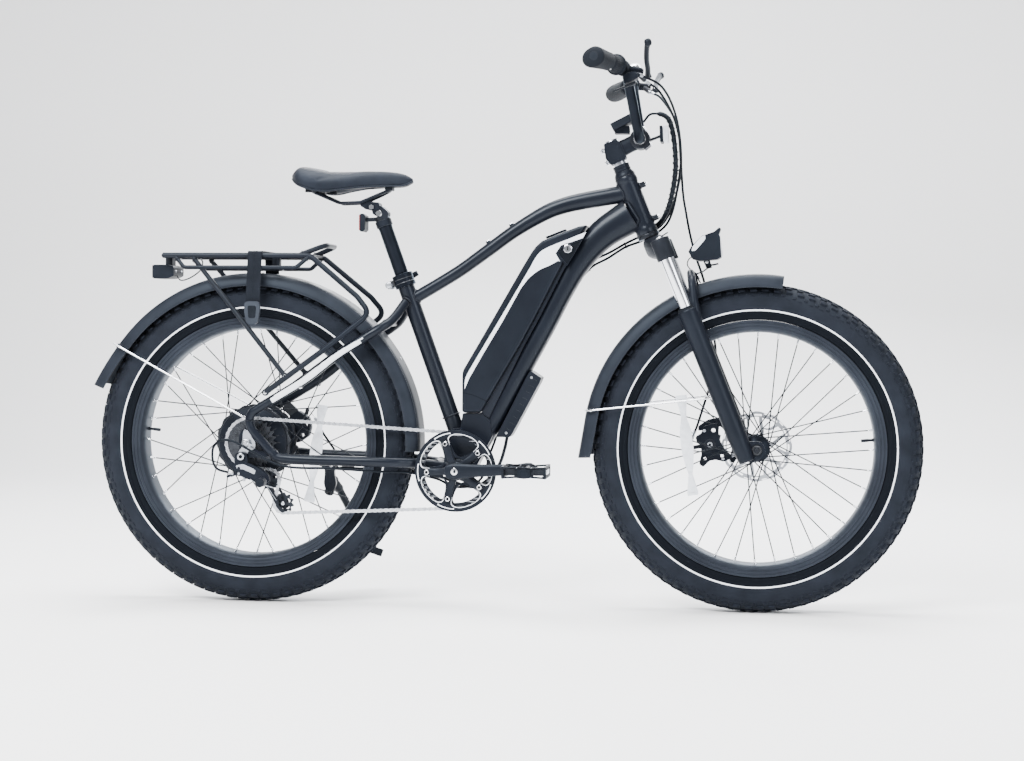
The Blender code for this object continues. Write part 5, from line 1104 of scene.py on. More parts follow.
# freewheel: seven cogs
COGS = [28, 24, 22, 20, 18, 16, 14]
cogs, gaps = [], []
for i, teeth in enumerate(COGS):
    y = -0.0600 - 0.0039 * i
    phase = tooth_phase(REAR, COG_R) if teeth == 28 else 0.3 * i
    line = toothed(REAR, teeth, phase, tip=0.0030)
    inner_r = max(0.0195, pitch_radius(teeth) - 0.0135)
    holes = []
    if teeth > 19:
        holes = [circle(REAR.x + (pitch_radius(teeth) - 0.0092) * cos(2 * pi * k / 12 + i), REAR.z + (pitch_radius(teeth) - 0.0092) * sin(2 * pi * k / 12 + i), 0.0029, 12) for k in range(12)]
    cogs.append(plate([line, *holes, list(reversed(circle(REAR.x, REAR.z, 0.0190, 40)))], y - 0.0010, y + 0.0008))
    gaps.append(lathe([(0.0180, y - 0.0033), (0.0225, y - 0.0033), (0.0225, y - 0.0007), (0.0180, y - 0.0007)], REAR, ring=True, sides=40))
gaps.append(lathe([(0.0168, -0.0535), (0.0300, -0.0535), (0.0300, -0.0588), (0.0225, -0.0600), (0.0225, -0.0840), (0.0205, -0.0852), (0.0168, -0.0852)], REAR, ring=True, sides=48))
emit("cog_stack", merged(cogs), COG_STEEL, "cogs", "freewheel", sharp=30)
emit("cog_carrier", merged(gaps), ANODISED, "cogs", sharp=30, slot="steel")

# rear derailleur
DERA_TOP = Vector((-0.010, 0, 0.3395))
body_parts = []
knuckle = [(-0.0245, 0.3250), (-0.0060, 0.3300), (0.0150, 0.3215), (0.0400, 0.3095), (0.0530, 0.2990), (0.0560, 0.2870), (0.0480, 0.2785), (0.0330, 0.2780), (0.0120, 0.2870), (-0.0100, 0.2940), (-0.0240, 0.3060), (-0.0290, 0.3170)]


def softened(outline, steps=3):
    """A closed outline with each of its corners turned into a short arc; more steps give a larger arc."""
    line = [Vector((*p, 0)) for p in outline]
    share = (0.10, 0.10, 0.22, 0.34)[min(steps, 3)]
    out = []
    for before, corner, after in zip(line[-1:] + line[:-1], line, line[1:] + line[:1]):
        start, end = corner.lerp(before, share), corner.lerp(after, share)
        for k in range(5):
            t = k / 4
            out.append((1 - t) ** 2 * start + 2 * t * (1 - t) * corner + t * t * end)
    return [(p.x, p.y) for p in out]


body_parts.append(plate([softened(knuckle)], -0.1095, -0.0975))
inner_link = [(x * 0.96 + 0.001, z - 0.0035) for x, z in knuckle]
body_parts.append(plate([softened(inner_link)], -0.0940, -0.0905))
for x, z in ((-0.0150, 0.3130), (0.0350, 0.2935)):
    body_parts.append(rod((x, -0.1110, z), (x, -0.0900, z), 0.0036, 16))
body_parts.append(lathe([(0.0003, -0.0700), (0.0095, -0.0700), (0.0105, -0.0720), (0.0105, -0.0985), (0.0090, -0.1010), (0.0003, -0.1010)], GUIDE, sides=28))
body_parts.append(plate([softened([(-0.0225, 0.3480), (0.0015, 0.3480), (0.0055, 0.3290), (-0.0010, 0.3170), (-0.0240, 0.3190), (-0.0265, 0.3330)])], -0.1080, -0.0978))
body_parts.append(lathe([(0.0003, -0.0975), (0.0090, -0.0975), (0.0090, -0.1110), (0.0080, -0.1130), (0.0003, -0.1130)], DERA_TOP, sides=32))
# barrel adjuster where the cable comes in, and two limit screws
body_parts.append(lathe([(0.0003, 0), (0.0034, 0), (0.0034, 0.004), (0.0044, 0.005), (0.0044, 0.014), (0.0030, 0.016), (0.0030, 0.024), (0.0003, 0.024)], Vector((-0.0225, -0.1000, 0.3010)), Vector((-0.90, 0, -0.34)), 14))
emit("derailleur_links", merged(body_parts), SATIN, "derailleur", "derailleur_body", sharp=35, bevel=0.0008)
shine = []
label = [(-0.0215, 0.3195), (-0.0050, 0.3225), (0.0130, 0.3150), (0.0240, 0.3085), (0.0215, 0.2995), (0.0100, 0.3045), (-0.0060, 0.3110), (-0.0195, 0.3110)]
shine.append(plate([softened(label, 2)], -0.1103, -0.1094))
shine.append(lathe([(0.0042, -0.1128), (0.0078, -0.1128), (0.0078, -0.1145), (0.0066, -0.1152), (0.0042, -0.1152)], DERA_TOP, ring=True, sides=30))
for x, z in ((0.0300, 0.2830), (0.0390, 0.2850), (-0.0150, 0.3010)):
    shine.append(lathe([(0.0003, -0.1095), (0.0028, -0.1095), (0.0028, -0.1108), (0.0020, -0.1114), (0.0003, -0.1114)], Vector((x, 0, z)), sides=16))
shine.append(rod((-0.004, -0.1030, 0.2960), (-0.004, -0.1030, 0.2830), 0.0028, 12))
shine.append(tube([(0.012, -0.1110, 0.2885), (0.028, -0.1110, 0.2780), (0.052, -0.1110, 0.2740), (0.066, -0.1105, 0.2700)], (0.0009, 0.0018), 8))
emit("derailleur_bright", merged(shine), SILVER, "derailleur", sharp=35, slot="silver_alloy", bevel=0.0002)
# painted shade: a flat near-black hexagon in the mounting bolt's socket
emit("derailleur_bolt_socket", merged([lathe([(0.0042, -0.1150), (0.0042, -0.1130), (0.0003, -0.1130)], DERA_TOP, sides=6)]), RECESS_SHADE, "derailleur", slot="black_alloy")

d = (TENSION - GUIDE).normalized()
n_ = Vector((d.z, 0, -d.x))


def cage_line(widen=0.0):
    pts = [GUIDE - d * 0.013 + n_ * 0.007, GUIDE - d * 0.013 - n_ * 0.007, GUIDE - d * 0.002 - n_ * 0.0135, GUIDE + d * 0.020 - n_ * 0.0095, TENSION - d * 0.014 - n_ * 0.0095, TENSION - n_ * (0.0125 + widen), TENSION + d * 0.0135 - n_ * 0.006, TENSION + d * 0.0135 + n_ * 0.006,
           TENSION + n_ * (0.0125 + widen), TENSION - d * 0.014 + n_ * 0.0100, GUIDE + d * 0.020 + n_ * 0.0120, GUIDE + n_ * 0.0135]
    return softened([(p.x, p.z) for p in pts], 2)


slot_mid = GUIDE.lerp(TENSION, 0.52)
slot_line = softened([((slot_mid + d * u + n_ * v).x, (slot_mid + d * u + n_ * v).z) for u, v in ((-0.011, -0.003), (0.009, -0.0035), (0.009, 0.004), (-0.011, 0.005))], 2)
outer_line = softened([(p.x, p.z) for p in (GUIDE - d * 0.010 + n_ * 0.002, GUIDE - d * 0.010 + n_ * 0.0130, TENSION - d * 0.012 + n_ * 0.0160, TENSION + d * 0.010 + n_ * 0.0165, TENSION + d * 0.0185 + n_ * 0.0120, TENSION + d * 0.0180 + n_ * 0.0060, TENSION + d * 0.006 + n_ * 0.0062, TENSION - d * 0.012 + n_ * 0.0070, GUIDE + d * 0.010 + n_ * 0.0035)], 2)
cage_parts = [plate([cage_line(), slot_line], -0.0553, -0.0540), plate([outer_line], -0.0673, -0.0657), strip([TENSION + n_ * 0.0100 - Y * 0.0065, TENSION - Y * 0.0065], 0.0042, 0.0008), strip([GUIDE + n_ * 0.0080 - Y * 0.0065, GUIDE - Y * 0.0065], 0.0042, 0.0008)]
for p in (GUIDE, TENSION):
    cage_parts.append(rod(p - Y * 0.0080, p + Y * 0.0072, 0.0030, 12))
for u in (0.30, 0.66):
    q = GUIDE.lerp(TENSION, u) - n_ * 0.0085
    cage_parts.append(rod(q - Y * 0.0070, q + Y * 0.0062, 0.0020, 10))
emit("derailleur_cage_plates", merged(cage_parts), SATIN, "cage", "derailleur_cage", sharp=35)
edge_line = [GUIDE + d * 0.004 + n_ * 0.0128 - Y * 0.0060, GUIDE + d * 0.020 + n_ * 0.0118 - Y * 0.0062, TENSION - d * 0.014 + n_ * 0.0098 - Y * 0.0062]
bright = [tube(edge_line, (0.0010, 0.0026), 8), lathe([(0.0003, -0.0673), (0.0038, -0.0673), (0.0038, -0.0688), (0.0028, -0.0694), (0.0003, -0.0694)], Vector((TENSION.x, 0, TENSION.z)), sides=16),
          lathe([(0.0003, -0.0673), (0.0034, -0.0673), (0.0034, -0.0686), (0.0026, -0.0690), (0.0003, -0.0690)], Vector((GUIDE.x, 0, GUIDE.z)), sides=16)]
emit("derailleur_cage_bright", merged(bright), SILVER, "cage", sharp=35, slot="silver_alloy")


def jockey_shape(centre):
    phase = tooth_phase(centre, JOCKEY_R)
    line = []
    for k in range(JOCKEY_TEETH * 10):
        t = 2 * pi * k / (JOCKEY_TEETH * 10)
        r = JOCKEY_R - 0.0007 + 0.0027 * cos(JOCKEY_TEETH * (t - phase))
        line.append((centre.x + r * cos(t), centre.z + r * sin(t)))
    holes = [circle(centre.x + 0.0122 * cos(2 * pi * k / 5 + 0.5), centre.z + 0.0122 * sin(2 * pi * k / 5 + 0.5), 0.0046, 16) for k in range(5)]
    c = Vector((centre.x, COG_Y, centre.z))
    return merged([plate([line, *holes, list(reversed(circle(centre.x, centre.z, 0.0037, 20)))], COG_Y - 0.0010, COG_Y + 0.0010),
                   lathe([(0.0037, -0.0030), (0.0060, -0.0030), (0.0060, 0.0030), (0.0037, 0.0030)], c, sides=24, ring=True)])


emit("jockey_upper_wheel", jockey_shape(GUIDE), PLASTIC, "jockey_upper", "upper_pulley", sharp=30)
emit("jockey_lower_wheel", jockey_shape(TENSION), PLASTIC, "jockey_lower", "lower_pulley", sharp=30)
# silver hanger plate over the right dropout, with its fixing nut
hanger = softened([(-0.0080, 0.3985), (0.0045, 0.3985), (0.0110, 0.3830), (0.0200, 0.3720), (0.0190, 0.3560), (0.0040, 0.3520), (-0.0020, 0.3330), (-0.0180, 0.3330), (-0.0190, 0.3500), (-0.0110, 0.3600)], 2)
emit("hanger_plate", plate([hanger, list(reversed(circle(0, AXLE_Z, 0.0062, 24)))], -0.0975, -0.0961), SILVER, "frame", sharp=30, slot="silver_alloy", bevel=0.0003)

# ---- frame ----
def oval(points, sizes, sides=40, steps=5, ref=Y, closed=False):
    """A smooth bar whose oval section changes along it."""
    line = smooth(points, steps)
    pairs = [s if isinstance(s, tuple) else (s, s) for s in (sizes if isinstance(sizes, list) else [sizes] * len(points))]
    widths = smooth([Vector((a, b, 0)) for a, b in pairs], steps)
    return tube(line, [(w.x, w.y) for w in widths], sides, ref=ref, closed=closed)


def beside(a, axis, radius):
    """How far outside a round tube a point lies."""
    a, axis = Vector(a), axis.normalized()
    return lambda p: (p - a - axis * (p - a).dot(axis)).length - radius


def weld(start, end, size, outside, radius=0.0021, ref=Y, ripples=30):
    """The rippled bead where a bar of oval section runs into another surface."""
    start, end = Vector(start), Vector(end)
    along = (end - start).normalized()
    side = (ref - along * ref.dot(along)).normalized()
    up = along.cross(side)
    loop, sizes = [], []
    count = ripples * 4
    for k in range(count):
        t = 2 * pi * k / count
        p = start + up * (size[0] * cos(t)) + side * (size[1] * sin(t))
        low, high = 0.0, (end - start).length
        for _ in range(24):
            middle = (low + high) / 2
            if outside(p + along * middle) > 0.0004:
                low = middle
            else:
                high = middle
        loop.append(p + along * low)
        sizes.append(radius * (0.84 + 0.22 * abs(cos(ripples * t / 2))))
    return tube(loop, sizes, 8, ref=along, closed=True)


def ring_bead(centre, axis, radius, bead=0.0020, ripples=30):
    axis = axis.normalized()
    side = (Y - axis * Y.dot(axis))
    side = (side if side.length > 0.1 else X - axis * X.dot(axis)).normalized()
    up = axis.cross(side)
    count = ripples * 4
    loop = [centre + up * (radius * cos(2 * pi * k / count)) + side * (radius * sin(2 * pi * k / count)) for k in range(count)]
    return tube(loop, [bead * (0.84 + 0.22 * abs(cos(pi * k / 4))) for k in range(count)], 8, ref=axis, closed=True)


DOWN_LINE = [(0.490, 0.336, 0.021), (0.534, 0.402, 0.021), (0.633, 0.582, 0.021), (0.667, 0.645, 0.021), (0.706, 0.720, 0.022),
             (0.745, 0.786, 0.027), (0.795, 0.845, 0.034), (0.860, 0.888, 0.039)]
TOP_LINE = [(0.350, 0.690), (0.373, 0.703), (0.465, 0.758), (0.531, 0.805), (0.597, 0.853), (0.662, 0.892), (0.706, 0.910), (0.753, 0.921), (0.805, 0.930), (0.856, 0.939)]
TOP_UP = [0.014, 0.014, 0.014, 0.0145, 0.015, 0.017, 0.0185, 0.0195, 0.020, 0.020]
TOP_SIDE = [0.014, 0.0142, 0.0145, 0.015, 0.0155, 0.016, 0.0165, 0.0165, 0.0165, 0.0165]
STAY = [(0.350, 0.022, 0.690), (0.325, 0.055, 0.650), (0.290, 0.078, 0.624), (0.205, 0.085, 0.570), (0.133, 0.092, 0.514),
        (0.028, 0.1000, 0.449), (0.012, 0.1002, 0.436), (0.007, 0.1000, 0.420), (0.013, 0.1001, 0.401), (0.040, 0.1000, 0.369), (0.062, 0.1000, 0.348),
        (0.095, 0.099, 0.335), (0.300, 0.085, 0.330), (0.360, 0.068, 0.328), (0.392, 0.050, 0.325), (0.450, 0.036, 0.318)]
STAY_SIZE = [0.0105] * 5 + [0.0100] * 6 + [(0.0100, 0.0115)] * 5


def squarish(points, sizes, steps=5, power=0.82, sides=48):
    """Like oval, with flatter sides: the section of a shaped alloy tube."""
    line = smooth([Vector(p) for p in points], steps)
    widths = smooth([Vector((a, b, 0)) for a, b in sizes], steps)
    sections = []
    for i, q in enumerate(line):
        along = ((line[min(i + 1, len(line) - 1)] - q).normalized() + (q - line[max(i - 1, 0)]).normalized()).normalized()
        side = (Y - along * Y.dot(along)).normalized()
        up = along.cross(side)
        ring = []
        for k in range(sides):
            t = 2 * pi * (k + 0.5) / sides
            c, s = cos(t), sin(t)
            ring.append(q + up * (widths[i].x * math.copysign(abs(c) ** power, c)) + side * (widths[i].y * math.copysign(abs(s) ** power, s)))
        sections.append(ring)
    return rings(sections)


# the tube's belly stands a little lower than its spine
BELLY = (0.0028, 0.0030, 0.0030, 0.0030, 0.0022, 0.0008, 0.0, 0.0)
down_shape = squarish([(x + 0.876 * k, 0, z - 0.482 * k) for (x, z, _), k in zip(DOWN_LINE, BELLY)], [(d + k, 0.030) for (_, _, d), k in zip(DOWN_LINE, BELLY)])
top_shape = squarish([(x, 0, z) for x, z in TOP_LINE], list(zip(TOP_UP, TOP_SIDE)), power=0.88)
seat_top = SEAT_FOOT + SEAT_AXIS * 0.370
seat_tube = lathe([(0.0187, -0.045), (0.0187, 0.366), (0.0189, 0.367), (0.0189, 0.3695), (0.0184, 0.370), (0.0164, 0.370), (0.0164, 0.100), (0.0020, 0.098)], SEAT_FOOT, SEAT_AXIS, 56)
head_profile = [(0.0172, -0.0780), (0.0243, -0.0780), (0.0247, -0.0775), (0.0247, -0.0640), (0.0238, -0.0620), (0.0232, -0.0560), (0.0232, 0.0400), (0.0238, 0.0460), (0.0247, 0.0480), (0.0247, 0.0595), (0.0243, 0.0600), (0.0172, 0.0600)]
head_tube = lathe(head_profile, S(0, 0, 0), STEER_AXIS, 72, ring=True)
shell = lathe([(0.0180, -0.0420), (0.0216, -0.0420), (0.0220, -0.0416), (0.0220, 0.0416), (0.0216, 0.0420), (0.0180, 0.0420)], BB, sides=72, ring=True)
stay_shape = oval(STAY, STAY_SIZE, sides=28, steps=4, ref=Z)
emit("frame_tubes", merged([down_shape, top_shape, seat_tube, head_tube, shell]), PAINT, "frame", "frame", sharp=40)
emit("frame_stay_left", stay_shape, PAINT, "frame", sharp=40, slot="frame_black")


def on_label(centre, polygon):
    lean = 0.10 + 0.25 * max(0.0, (centre.x - 0.150) / 0.09)
    return 1 if polygon.normal.y < -0.70 and 0.061 < centre.x < 0.262 and centre.z > 0.40 and polygon.normal.z < 0.62 - lean and polygon.normal.z > -0.62 else 0


fine_stay = oval(STAY, STAY_SIZE, sides=64, steps=12, ref=Z)
emit("frame_stay_right", mirrored(fine_stay), PAINT, "frame", sharp=40, slot="frame_black", looks=[FRAME_LIGHT], face_look=on_label)

# the joint block at the foot, with soft shoulders
block_line = [(0.452, 0.300), (0.476, 0.2965), (0.500, 0.296), (0.512, 0.312), (0.552, 0.388), (0.549, 0.404), (0.5480, 0.4240), (0.5275, 0.4397), (0.4838, 0.4397), (0.4815, 0.4250), (0.4785, 0.4060), (0.4600, 0.404), (0.445, 0.370), (0.4460, 0.330)]
emit("frame_joint_block", prism(softened(block_line, 1), -0.0328, 0.0328), PAINT, "frame", sharp=30, bevel=0.0055, segments=4, slot="frame_black")

beads = [
    weld((0.800, 0, 0.9292), (0.868, 0, 0.9415), (0.0203, 0.0168), beside(S(0, 0, 0), STEER_AXIS, 0.0240), radius=0.0026),
    weld((0.790, 0, 0.842), (0.868, 0, 0.893), (0.0345, 0.0290), beside(S(0, 0, 0), STEER_AXIS, 0.0240), radius=0.0028, ripples=42),
    weld((0.440, 0, 0.743), (0.350, 0, 0.690), (0.0143, 0.0146), beside(SEAT_FOOT, SEAT_AXIS, 0.0187), radius=0.0023),
    ring_bead(SEAT_FOOT + SEAT_AXIS * 0.030, SEAT_AXIS, 0.0190, 0.0022),
    ring_bead(BB - Y * 0.0332, Y, 0.0223, 0.0018), ring_bead(BB + Y * 0.0332, Y, 0.0223, 0.0018),
]
for sign in (1, -1):
    beads += [
        weld((0.322, sign * 0.058, 0.648), (0.352, sign * 0.018, 0.692), (0.0107, 0.0107), beside(SEAT_FOOT, SEAT_AXIS, 0.0187), ref=Z),
        weld((0.392, sign * 0.052, 0.325), (0.470, sign * 0.030, 0.317), (0.0104, 0.0118), lambda p: abs(p.y) - 0.0330 if p.x > 0.4455 else 0.4455 - p.x, ref=Z),
    ]
    for at, axis, r in (((0.312, sign * 0.0655, 0.642), Y, 0.0077), ((0.424, sign * 0.0395, 0.324), Y, 0.0097)):
        beads.append(ring_bead(Vector(at), axis, r, 0.0015, 16))
emit("frame_welds", merged(beads), PAINT, "frame", sharp=60, slot="frame_black")

# bridges, dropout plates, kickstand bracket, bosses
ends = [rod((0.312, -0.066, 0.642), (0.312, 0.066, 0.642), 0.0075, 28), rod((0.424, -0.040, 0.324), (0.424, 0.040, 0.324), 0.0095, 28)]
emit("frame_bridges", merged(ends), PAINT, "frame", sharp=40, slot="frame_black")
DROPOUT = [(-0.019, 0.385), (-0.012, 0.398), (0.010, 0.410), (0.030, 0.395), (0.062, 0.352), (0.050, 0.338), (0.000, 0.336), (-0.016, 0.341)]
DROP_HOLE = circle(0.0, AXLE_Z, 0.0068, 28)
window_in_plate = [(0.017, 0.3800), (0.024, 0.3840), (0.040, 0.3620), (0.043, 0.3540), (0.034, 0.3500), (0.018, 0.3560)]
drop = plate([softened(DROPOUT, 3), DROP_HOLE, softened(window_in_plate, 2)], 0.0880, 0.0960)
emit("frame_dropouts", merged([drop, mirrored(drop), mirrored(plate([softened([(-0.022, 0.352), (-0.002, 0.352), (-0.002, 0.326), (-0.020, 0.326)], 2)], 0.0875, 0.0935))]), PAINT, "frame", sharp=30, bevel=0.0010, segments=2, slot="frame_black")
bracket = plate([softened([(0.130, 0.330), (0.181, 0.330), (0.179, 0.318), (0.166, 0.306), (0.1630, 0.290), (0.1685, 0.266), (0.1635, 0.250), (0.1530, 0.2440), (0.1425, 0.2500), (0.1380, 0.266), (0.1410, 0.290), (0.1390, 0.306), (0.1310, 0.318)], 3), circle(0.1555, 0.3080, 0.0045, 20)], 0.084, 0.096)
STAND_PIVOT = Vector((0.152, 0.1125, 0.262))
STAND_AXIS = Vector((0.0965, 0.749, 0.656)).normalized()
barrel = lathe([(0.0048, -0.0285), (0.0108, -0.0285), (0.0115, -0.0278), (0.0115, -0.0007), (0.0108, 0.0), (0.0048, 0.0)], STAND_PIVOT, STAND_AXIS, 36, ring=True)
emit("kickstand_bracket", merged([bracket, barrel]), PAINT, "frame", sharp=30, bevel=0.0007, segments=2, slot="frame_black")
emit("kickstand_bracket_bolts", merged([hex_bolt((0.1440, 0.0962, 0.3180), Y, 0.0042, 0.0035, 0.0020), hex_bolt((0.1680, 0.0962, 0.3180), Y, 0.0042, 0.0035, 0.0020)]), STEEL, "frame", slot="steel")
boss_parts, boss_bolts = [], []
for foot_at, top_at in (((0.548, 0, 0.806), (0.5341, 0, 0.8313)), ((0.604, 0, 0.845), (0.5866, 0, 0.8699))):
    a, b = Vector(foot_at), Vector(top_at)
    axis = (b - a).normalized()
    boss_parts.append(rod(a, b - axis * 0.0022, 0.0058, 24))
    boss_bolts.append(lathe([(0.0002, 0.0), (0.0052, 0.0), (0.0056, 0.0006), (0.0050, 0.0020), (0.0030, 0.0022), (0.0028, 0.0012), (0.0002, 0.0012)], b - axis * 0.0022, axis, 24))
emit("bottle_bosses", merged(boss_parts), PAINT, "frame", slot="frame_black")
emit("bottle_boss_bolts", merged(boss_bolts), CHROME, "frame", slot="silver_alloy")

# ---- controller and battery ----
CONTROL = [(0.6360, 0.5384), (0.6635, 0.5205), (0.5925, 0.3860), (0.5595, 0.3864)]
emit("controller_case", prism(softened(CONTROL, 1), -0.0298, 0.0298), SATIN, "frame", "controller_box", sharp=30, bevel=0.0026, segments=3)
ribs = []
for k in range(9):
    t = k / 8
    a, b = Vector((0.5890, 0, 0.4030)), Vector((0.6480, 0, 0.5160))
    at = a + (b - a) * t
    for y in (-1, 1):
        ribs.append(strip([at + Vector((-0.0060, y * 0.0298, 0.0030)), at + Vector((0.0040, y * 0.0298, -0.0020))], 0.0008, 0.0006))
emit("controller_fins", merged(ribs), SATIN, "frame", slot="satin_black")
emit("controller_bolts", merged([hex_bolt((x, y * 0.0298, z), Y * y, 0.0030, 0.0012) for x, z in ((0.6400, 0.5220), (0.5830, 0.3960)) for y in (-1, 1)]), STEEL, "frame", slot="steel")

UPPER = [(0.764, 0.8655), (0.745, 0.862), (0.7250, 0.8545), (0.6850, 0.8390), (0.662, 0.8290), (0.6480, 0.8160), (0.638, 0.802), (0.6200, 0.7720), (0.5300, 0.6150), (0.487, 0.541), (0.4838, 0.5330), (0.483, 0.524)]


def along_tube(extra):
    """The down tube's upper edge, this far off it."""
    line = DOWN_LINE[:-1]
    out = []
    for i, (x, z, d) in enumerate(line):
        a, b = line[max(i - 1, 0)], line[min(i + 1, len(line) - 1)]
        dx, dz = b[0] - a[0], b[1] - a[1]
        size = sqrt(dx * dx + dz * dz)
        out.append((x - dz / size * (d + extra), z + dx / size * (d + extra)))
    return out


edge = along_tube(0.0014)
case_line = UPPER + [(0.483, 0.4415), (0.5255, 0.4415), edge[2], edge[3], edge[4], edge[5]]
emit("battery_case", prism(case_line, -BATTERY_HALF, BATTERY_HALF), BATTERY_M, "battery_case", "battery", sharp=24, bevel=0.0062, segments=5)


def side_layers(outline, base, height, sign):
    low, high = sorted((sign * base, sign * (base + height)))
    return plate([outline], low, high)


def eased(points, steps=4):
    """An open run of outline points made into a soft curve."""
    return [(p.x, p.z) for p in smooth([(x, 0, z) for x, z in points], steps)]


tongue = eased([(0.7000, 0.7850), (0.6790, 0.7735), (0.6610, 0.7660), (0.6440, 0.7545), (0.6310, 0.7430)]) + [(0.6155, 0.7220), (0.5765, 0.6510), (0.5285, 0.5700), (0.5000, 0.5200), (0.4895, 0.4950)]
outer = eased([(0.4895, 0.5080), (0.4915, 0.5200), (0.4980, 0.5340)]) + [(0.5220, 0.5750), (0.5710, 0.6570), (0.6130, 0.7290)]
outer += eased([(0.6370, 0.7700), (0.6480, 0.7900), (0.6600, 0.8050), (0.6790, 0.8160)]) + [(0.7090, 0.8280), (0.7390, 0.8400), (0.7620, 0.8490), (0.7545, 0.8355), (0.7240, 0.8250), (0.7055, 0.8190), (0.6935, 0.8010), (0.7040, 0.7830)]
stripe = tongue + outer
for side, sign in (("left", 1), ("right", -1)):
    emit("battery_stripe_" + side, side_layers(stripe, BATTERY_HALF - 0.0004, 0.0009, sign), FRAME_LIGHT, "battery_case", sharp=30, slot="battery_plastic")
    rim_line = softened([(0.7560, 0.8350), (0.7070, 0.8180), (0.6955, 0.8010), (0.7190, 0.7720), (0.7300, 0.7900)], 1)
    shrunk = [(0.7235 + (x - 0.7235) * 0.86, 0.8050 + (z - 0.8050) * 0.86) for x, z in rim_line]
    emit("battery_lock_frame_" + side, plate([rim_line, shrunk], *sorted((sign * (BATTERY_HALF - 0.0004), sign * (BATTERY_HALF + 0.0014)))), BATTERY_M, "battery_case", sharp=30, bevel=0.0004, segments=1, slot="battery_plastic")
    # painted shade: a near-black field sunk inside the lock frame
    emit("battery_lock_field_" + side, side_layers(shrunk, BATTERY_HALF - 0.0008, 0.0010, sign), RECESS_SHADE, "battery_case", slot="battery_plastic")
    # painted shade: a near-black line in the seam near the foot of the case
    seam = strip([(0.4840, sign * (BATTERY_HALF - 0.0002), 0.4870), (0.5060, sign * (BATTERY_HALF - 0.0002), 0.4820), (0.5200, sign * (BATTERY_HALF - 0.0002), 0.4770), (0.5430, sign * (BATTERY_HALF - 0.0002), 0.4660)], 0.0007, 0.0005)
    emit("battery_base_seam_" + side, seam, RECESS_SHADE, "battery_case", slot="battery_plastic")
# a near-black band that runs along the top edge, painted shade in the seam there, and the pad under the handle
band = [(x, z) for x, z in UPPER[1:]]
emit("battery_top_seam", merged([strip([(x + 0.0035 * (z > 0.80), s * 0.0300, z - 0.0002) for x, z in band], 0.0006, 0.0006) for s in (-1, 1)]), RECESS_SHADE, "battery_case", slot="battery_plastic")
grip_slot = plate([softened([(0.6700, 0.8350), (0.7150, 0.8525), (0.7130, 0.8570), (0.6680, 0.8395)], 1)], -0.0150, 0.0150)
emit("battery_carry_pad", grip_slot, PLASTIC, "battery_case", bevel=0.0008, slot="battery_plastic")
lock_at = Vector((0.721, -0.042, 0.812))
barrel = lathe([(0.0093, 0.0080), (0.0093, -0.0016), (0.0078, -0.0022), (0.0070, -0.0010), (0.0012, -0.0010)], lock_at, Y, 48)
emit("lock_barrel", barrel, CHROME, "battery_key", "battery_lock", sharp=30)
# painted shade: a near-black keyhole slot and a near-black ring in the groove round the barrel
emit("lock_keyhole", merged([box((0.721, -0.0436, 0.812), (0.0022, 0.0016, 0.0086)), ring_bead(Vector((0.721, -0.0438, 0.812)), Y, 0.0082, 0.0005, 12)]), RECESS_SHADE, "battery_key", slot="silver_alloy")
shut = lathe([(0.0110, -0.0007), (0.0118, -0.0018), (0.0108, -0.0026), (0.0098, -0.0020), (0.0098, 0.0)], lock_at, Y, 48)
emit("lock_ring", shut, BATTERY_M, "battery_case", slot="battery_plastic")
# charging port cover on the left
port = Vector((0.545, 0.0420, 0.530))
emit("charge_port_cover", merged([lathe([(0.0115, 0.0), (0.0115, 0.0016), (0.0098, 0.0024), (0.0002, 0.0027)], port, Y, 40), box(port + Vector((0.010, 0.0012, 0.012)), (0.008, 0.0020, 0.005))]), GRIP, "battery_case", bevel=0.0004, slot="battery_plastic")

# the long rail under the battery, seated in the down tube
rail_low, rail_high = [(0.5440, 0.4290)] + along_tube(-0.0070)[2:6], [(0.5262, 0.4410)] + along_tube(0.0008)[2:6]
emit("battery_rail", prism(rail_low + rail_high[::-1], -0.0330, 0.0330), SATIN, "frame", sharp=30, bevel=0.0006, slot="frame_black")

# ---- rack ----
def both(shape):
    return [shape, mirrored(shape)]


SIDE_RAIL = rounded([(-0.203, -0.070, 0.794), (0.139, -0.070, 0.794), (0.250, -0.082, 0.702), (0.281, -0.091, 0.664), (0.174, -0.100, 0.579), (0.046, -0.1085, 0.485)], 0.030, 8)
LOW_RAIL = rounded([(-0.172, -0.072, 0.790), (-0.152, -0.078, 0.7665), (0.108, -0.078, 0.7665), (0.135, -0.072, 0.790)], 0.014, 7)
REAR_STRUT = [(-0.132, -0.071, 0.789), (0.090, -0.1045, 0.522)]
HOOP = rounded([(0.116, 0.068, 0.796), (0.172, 0.055, 0.818), (0.172, -0.055, 0.818), (0.116, -0.068, 0.796)], 0.026, 9)
END_BAR = rounded([(-0.180, 0.070, 0.794), (-0.2030, 0.070, 0.794), (-0.2030, -0.070, 0.794), (-0.180, -0.070, 0.794)], 0.016, 8)
bars = [*both(tube(SIDE_RAIL, 0.0064, 24)), *both(tube(LOW_RAIL, 0.0048, 20)), *both(tube(REAR_STRUT, 0.0057, 20)), tube(HOOP, 0.0059, 24, ref=Z), tube(END_BAR, 0.0062, 24, ref=Z)]
emit("rack_tubes", merged(bars), SATIN, "frame", "rear_rack", sharp=45)
slats = []
for x, w in ((-0.130, 0.022), (-0.045, 0.022), (0.060, 0.022), (0.134, 0.012)):
    line = softened([(x - w / 2, -0.0705), (x + w / 2, -0.0705), (x + w / 2, 0.0705), (x - w / 2, 0.0705)], 1)
    slots = [softened([(x - w / 4, y - 0.0180), (x + w / 4, y - 0.0180), (x + w / 4, y + 0.0180), (x - w / 4, y + 0.0180)], 2) for y in (-0.034, 0.034)] if w > 0.02 else []
    slats.append(plate([line] + slots, 0.7918, 0.7972, lambda a, h, b: Vector((a, b, h))))
slats.append(box((0.045, 0, 0.7795), (0.018, 0.018, 0.028)))
emit("rack_slats", merged(slats), SATIN, "frame", sharp=30, bevel=0.0012, segments=2, slot="satin_black")
joints = []
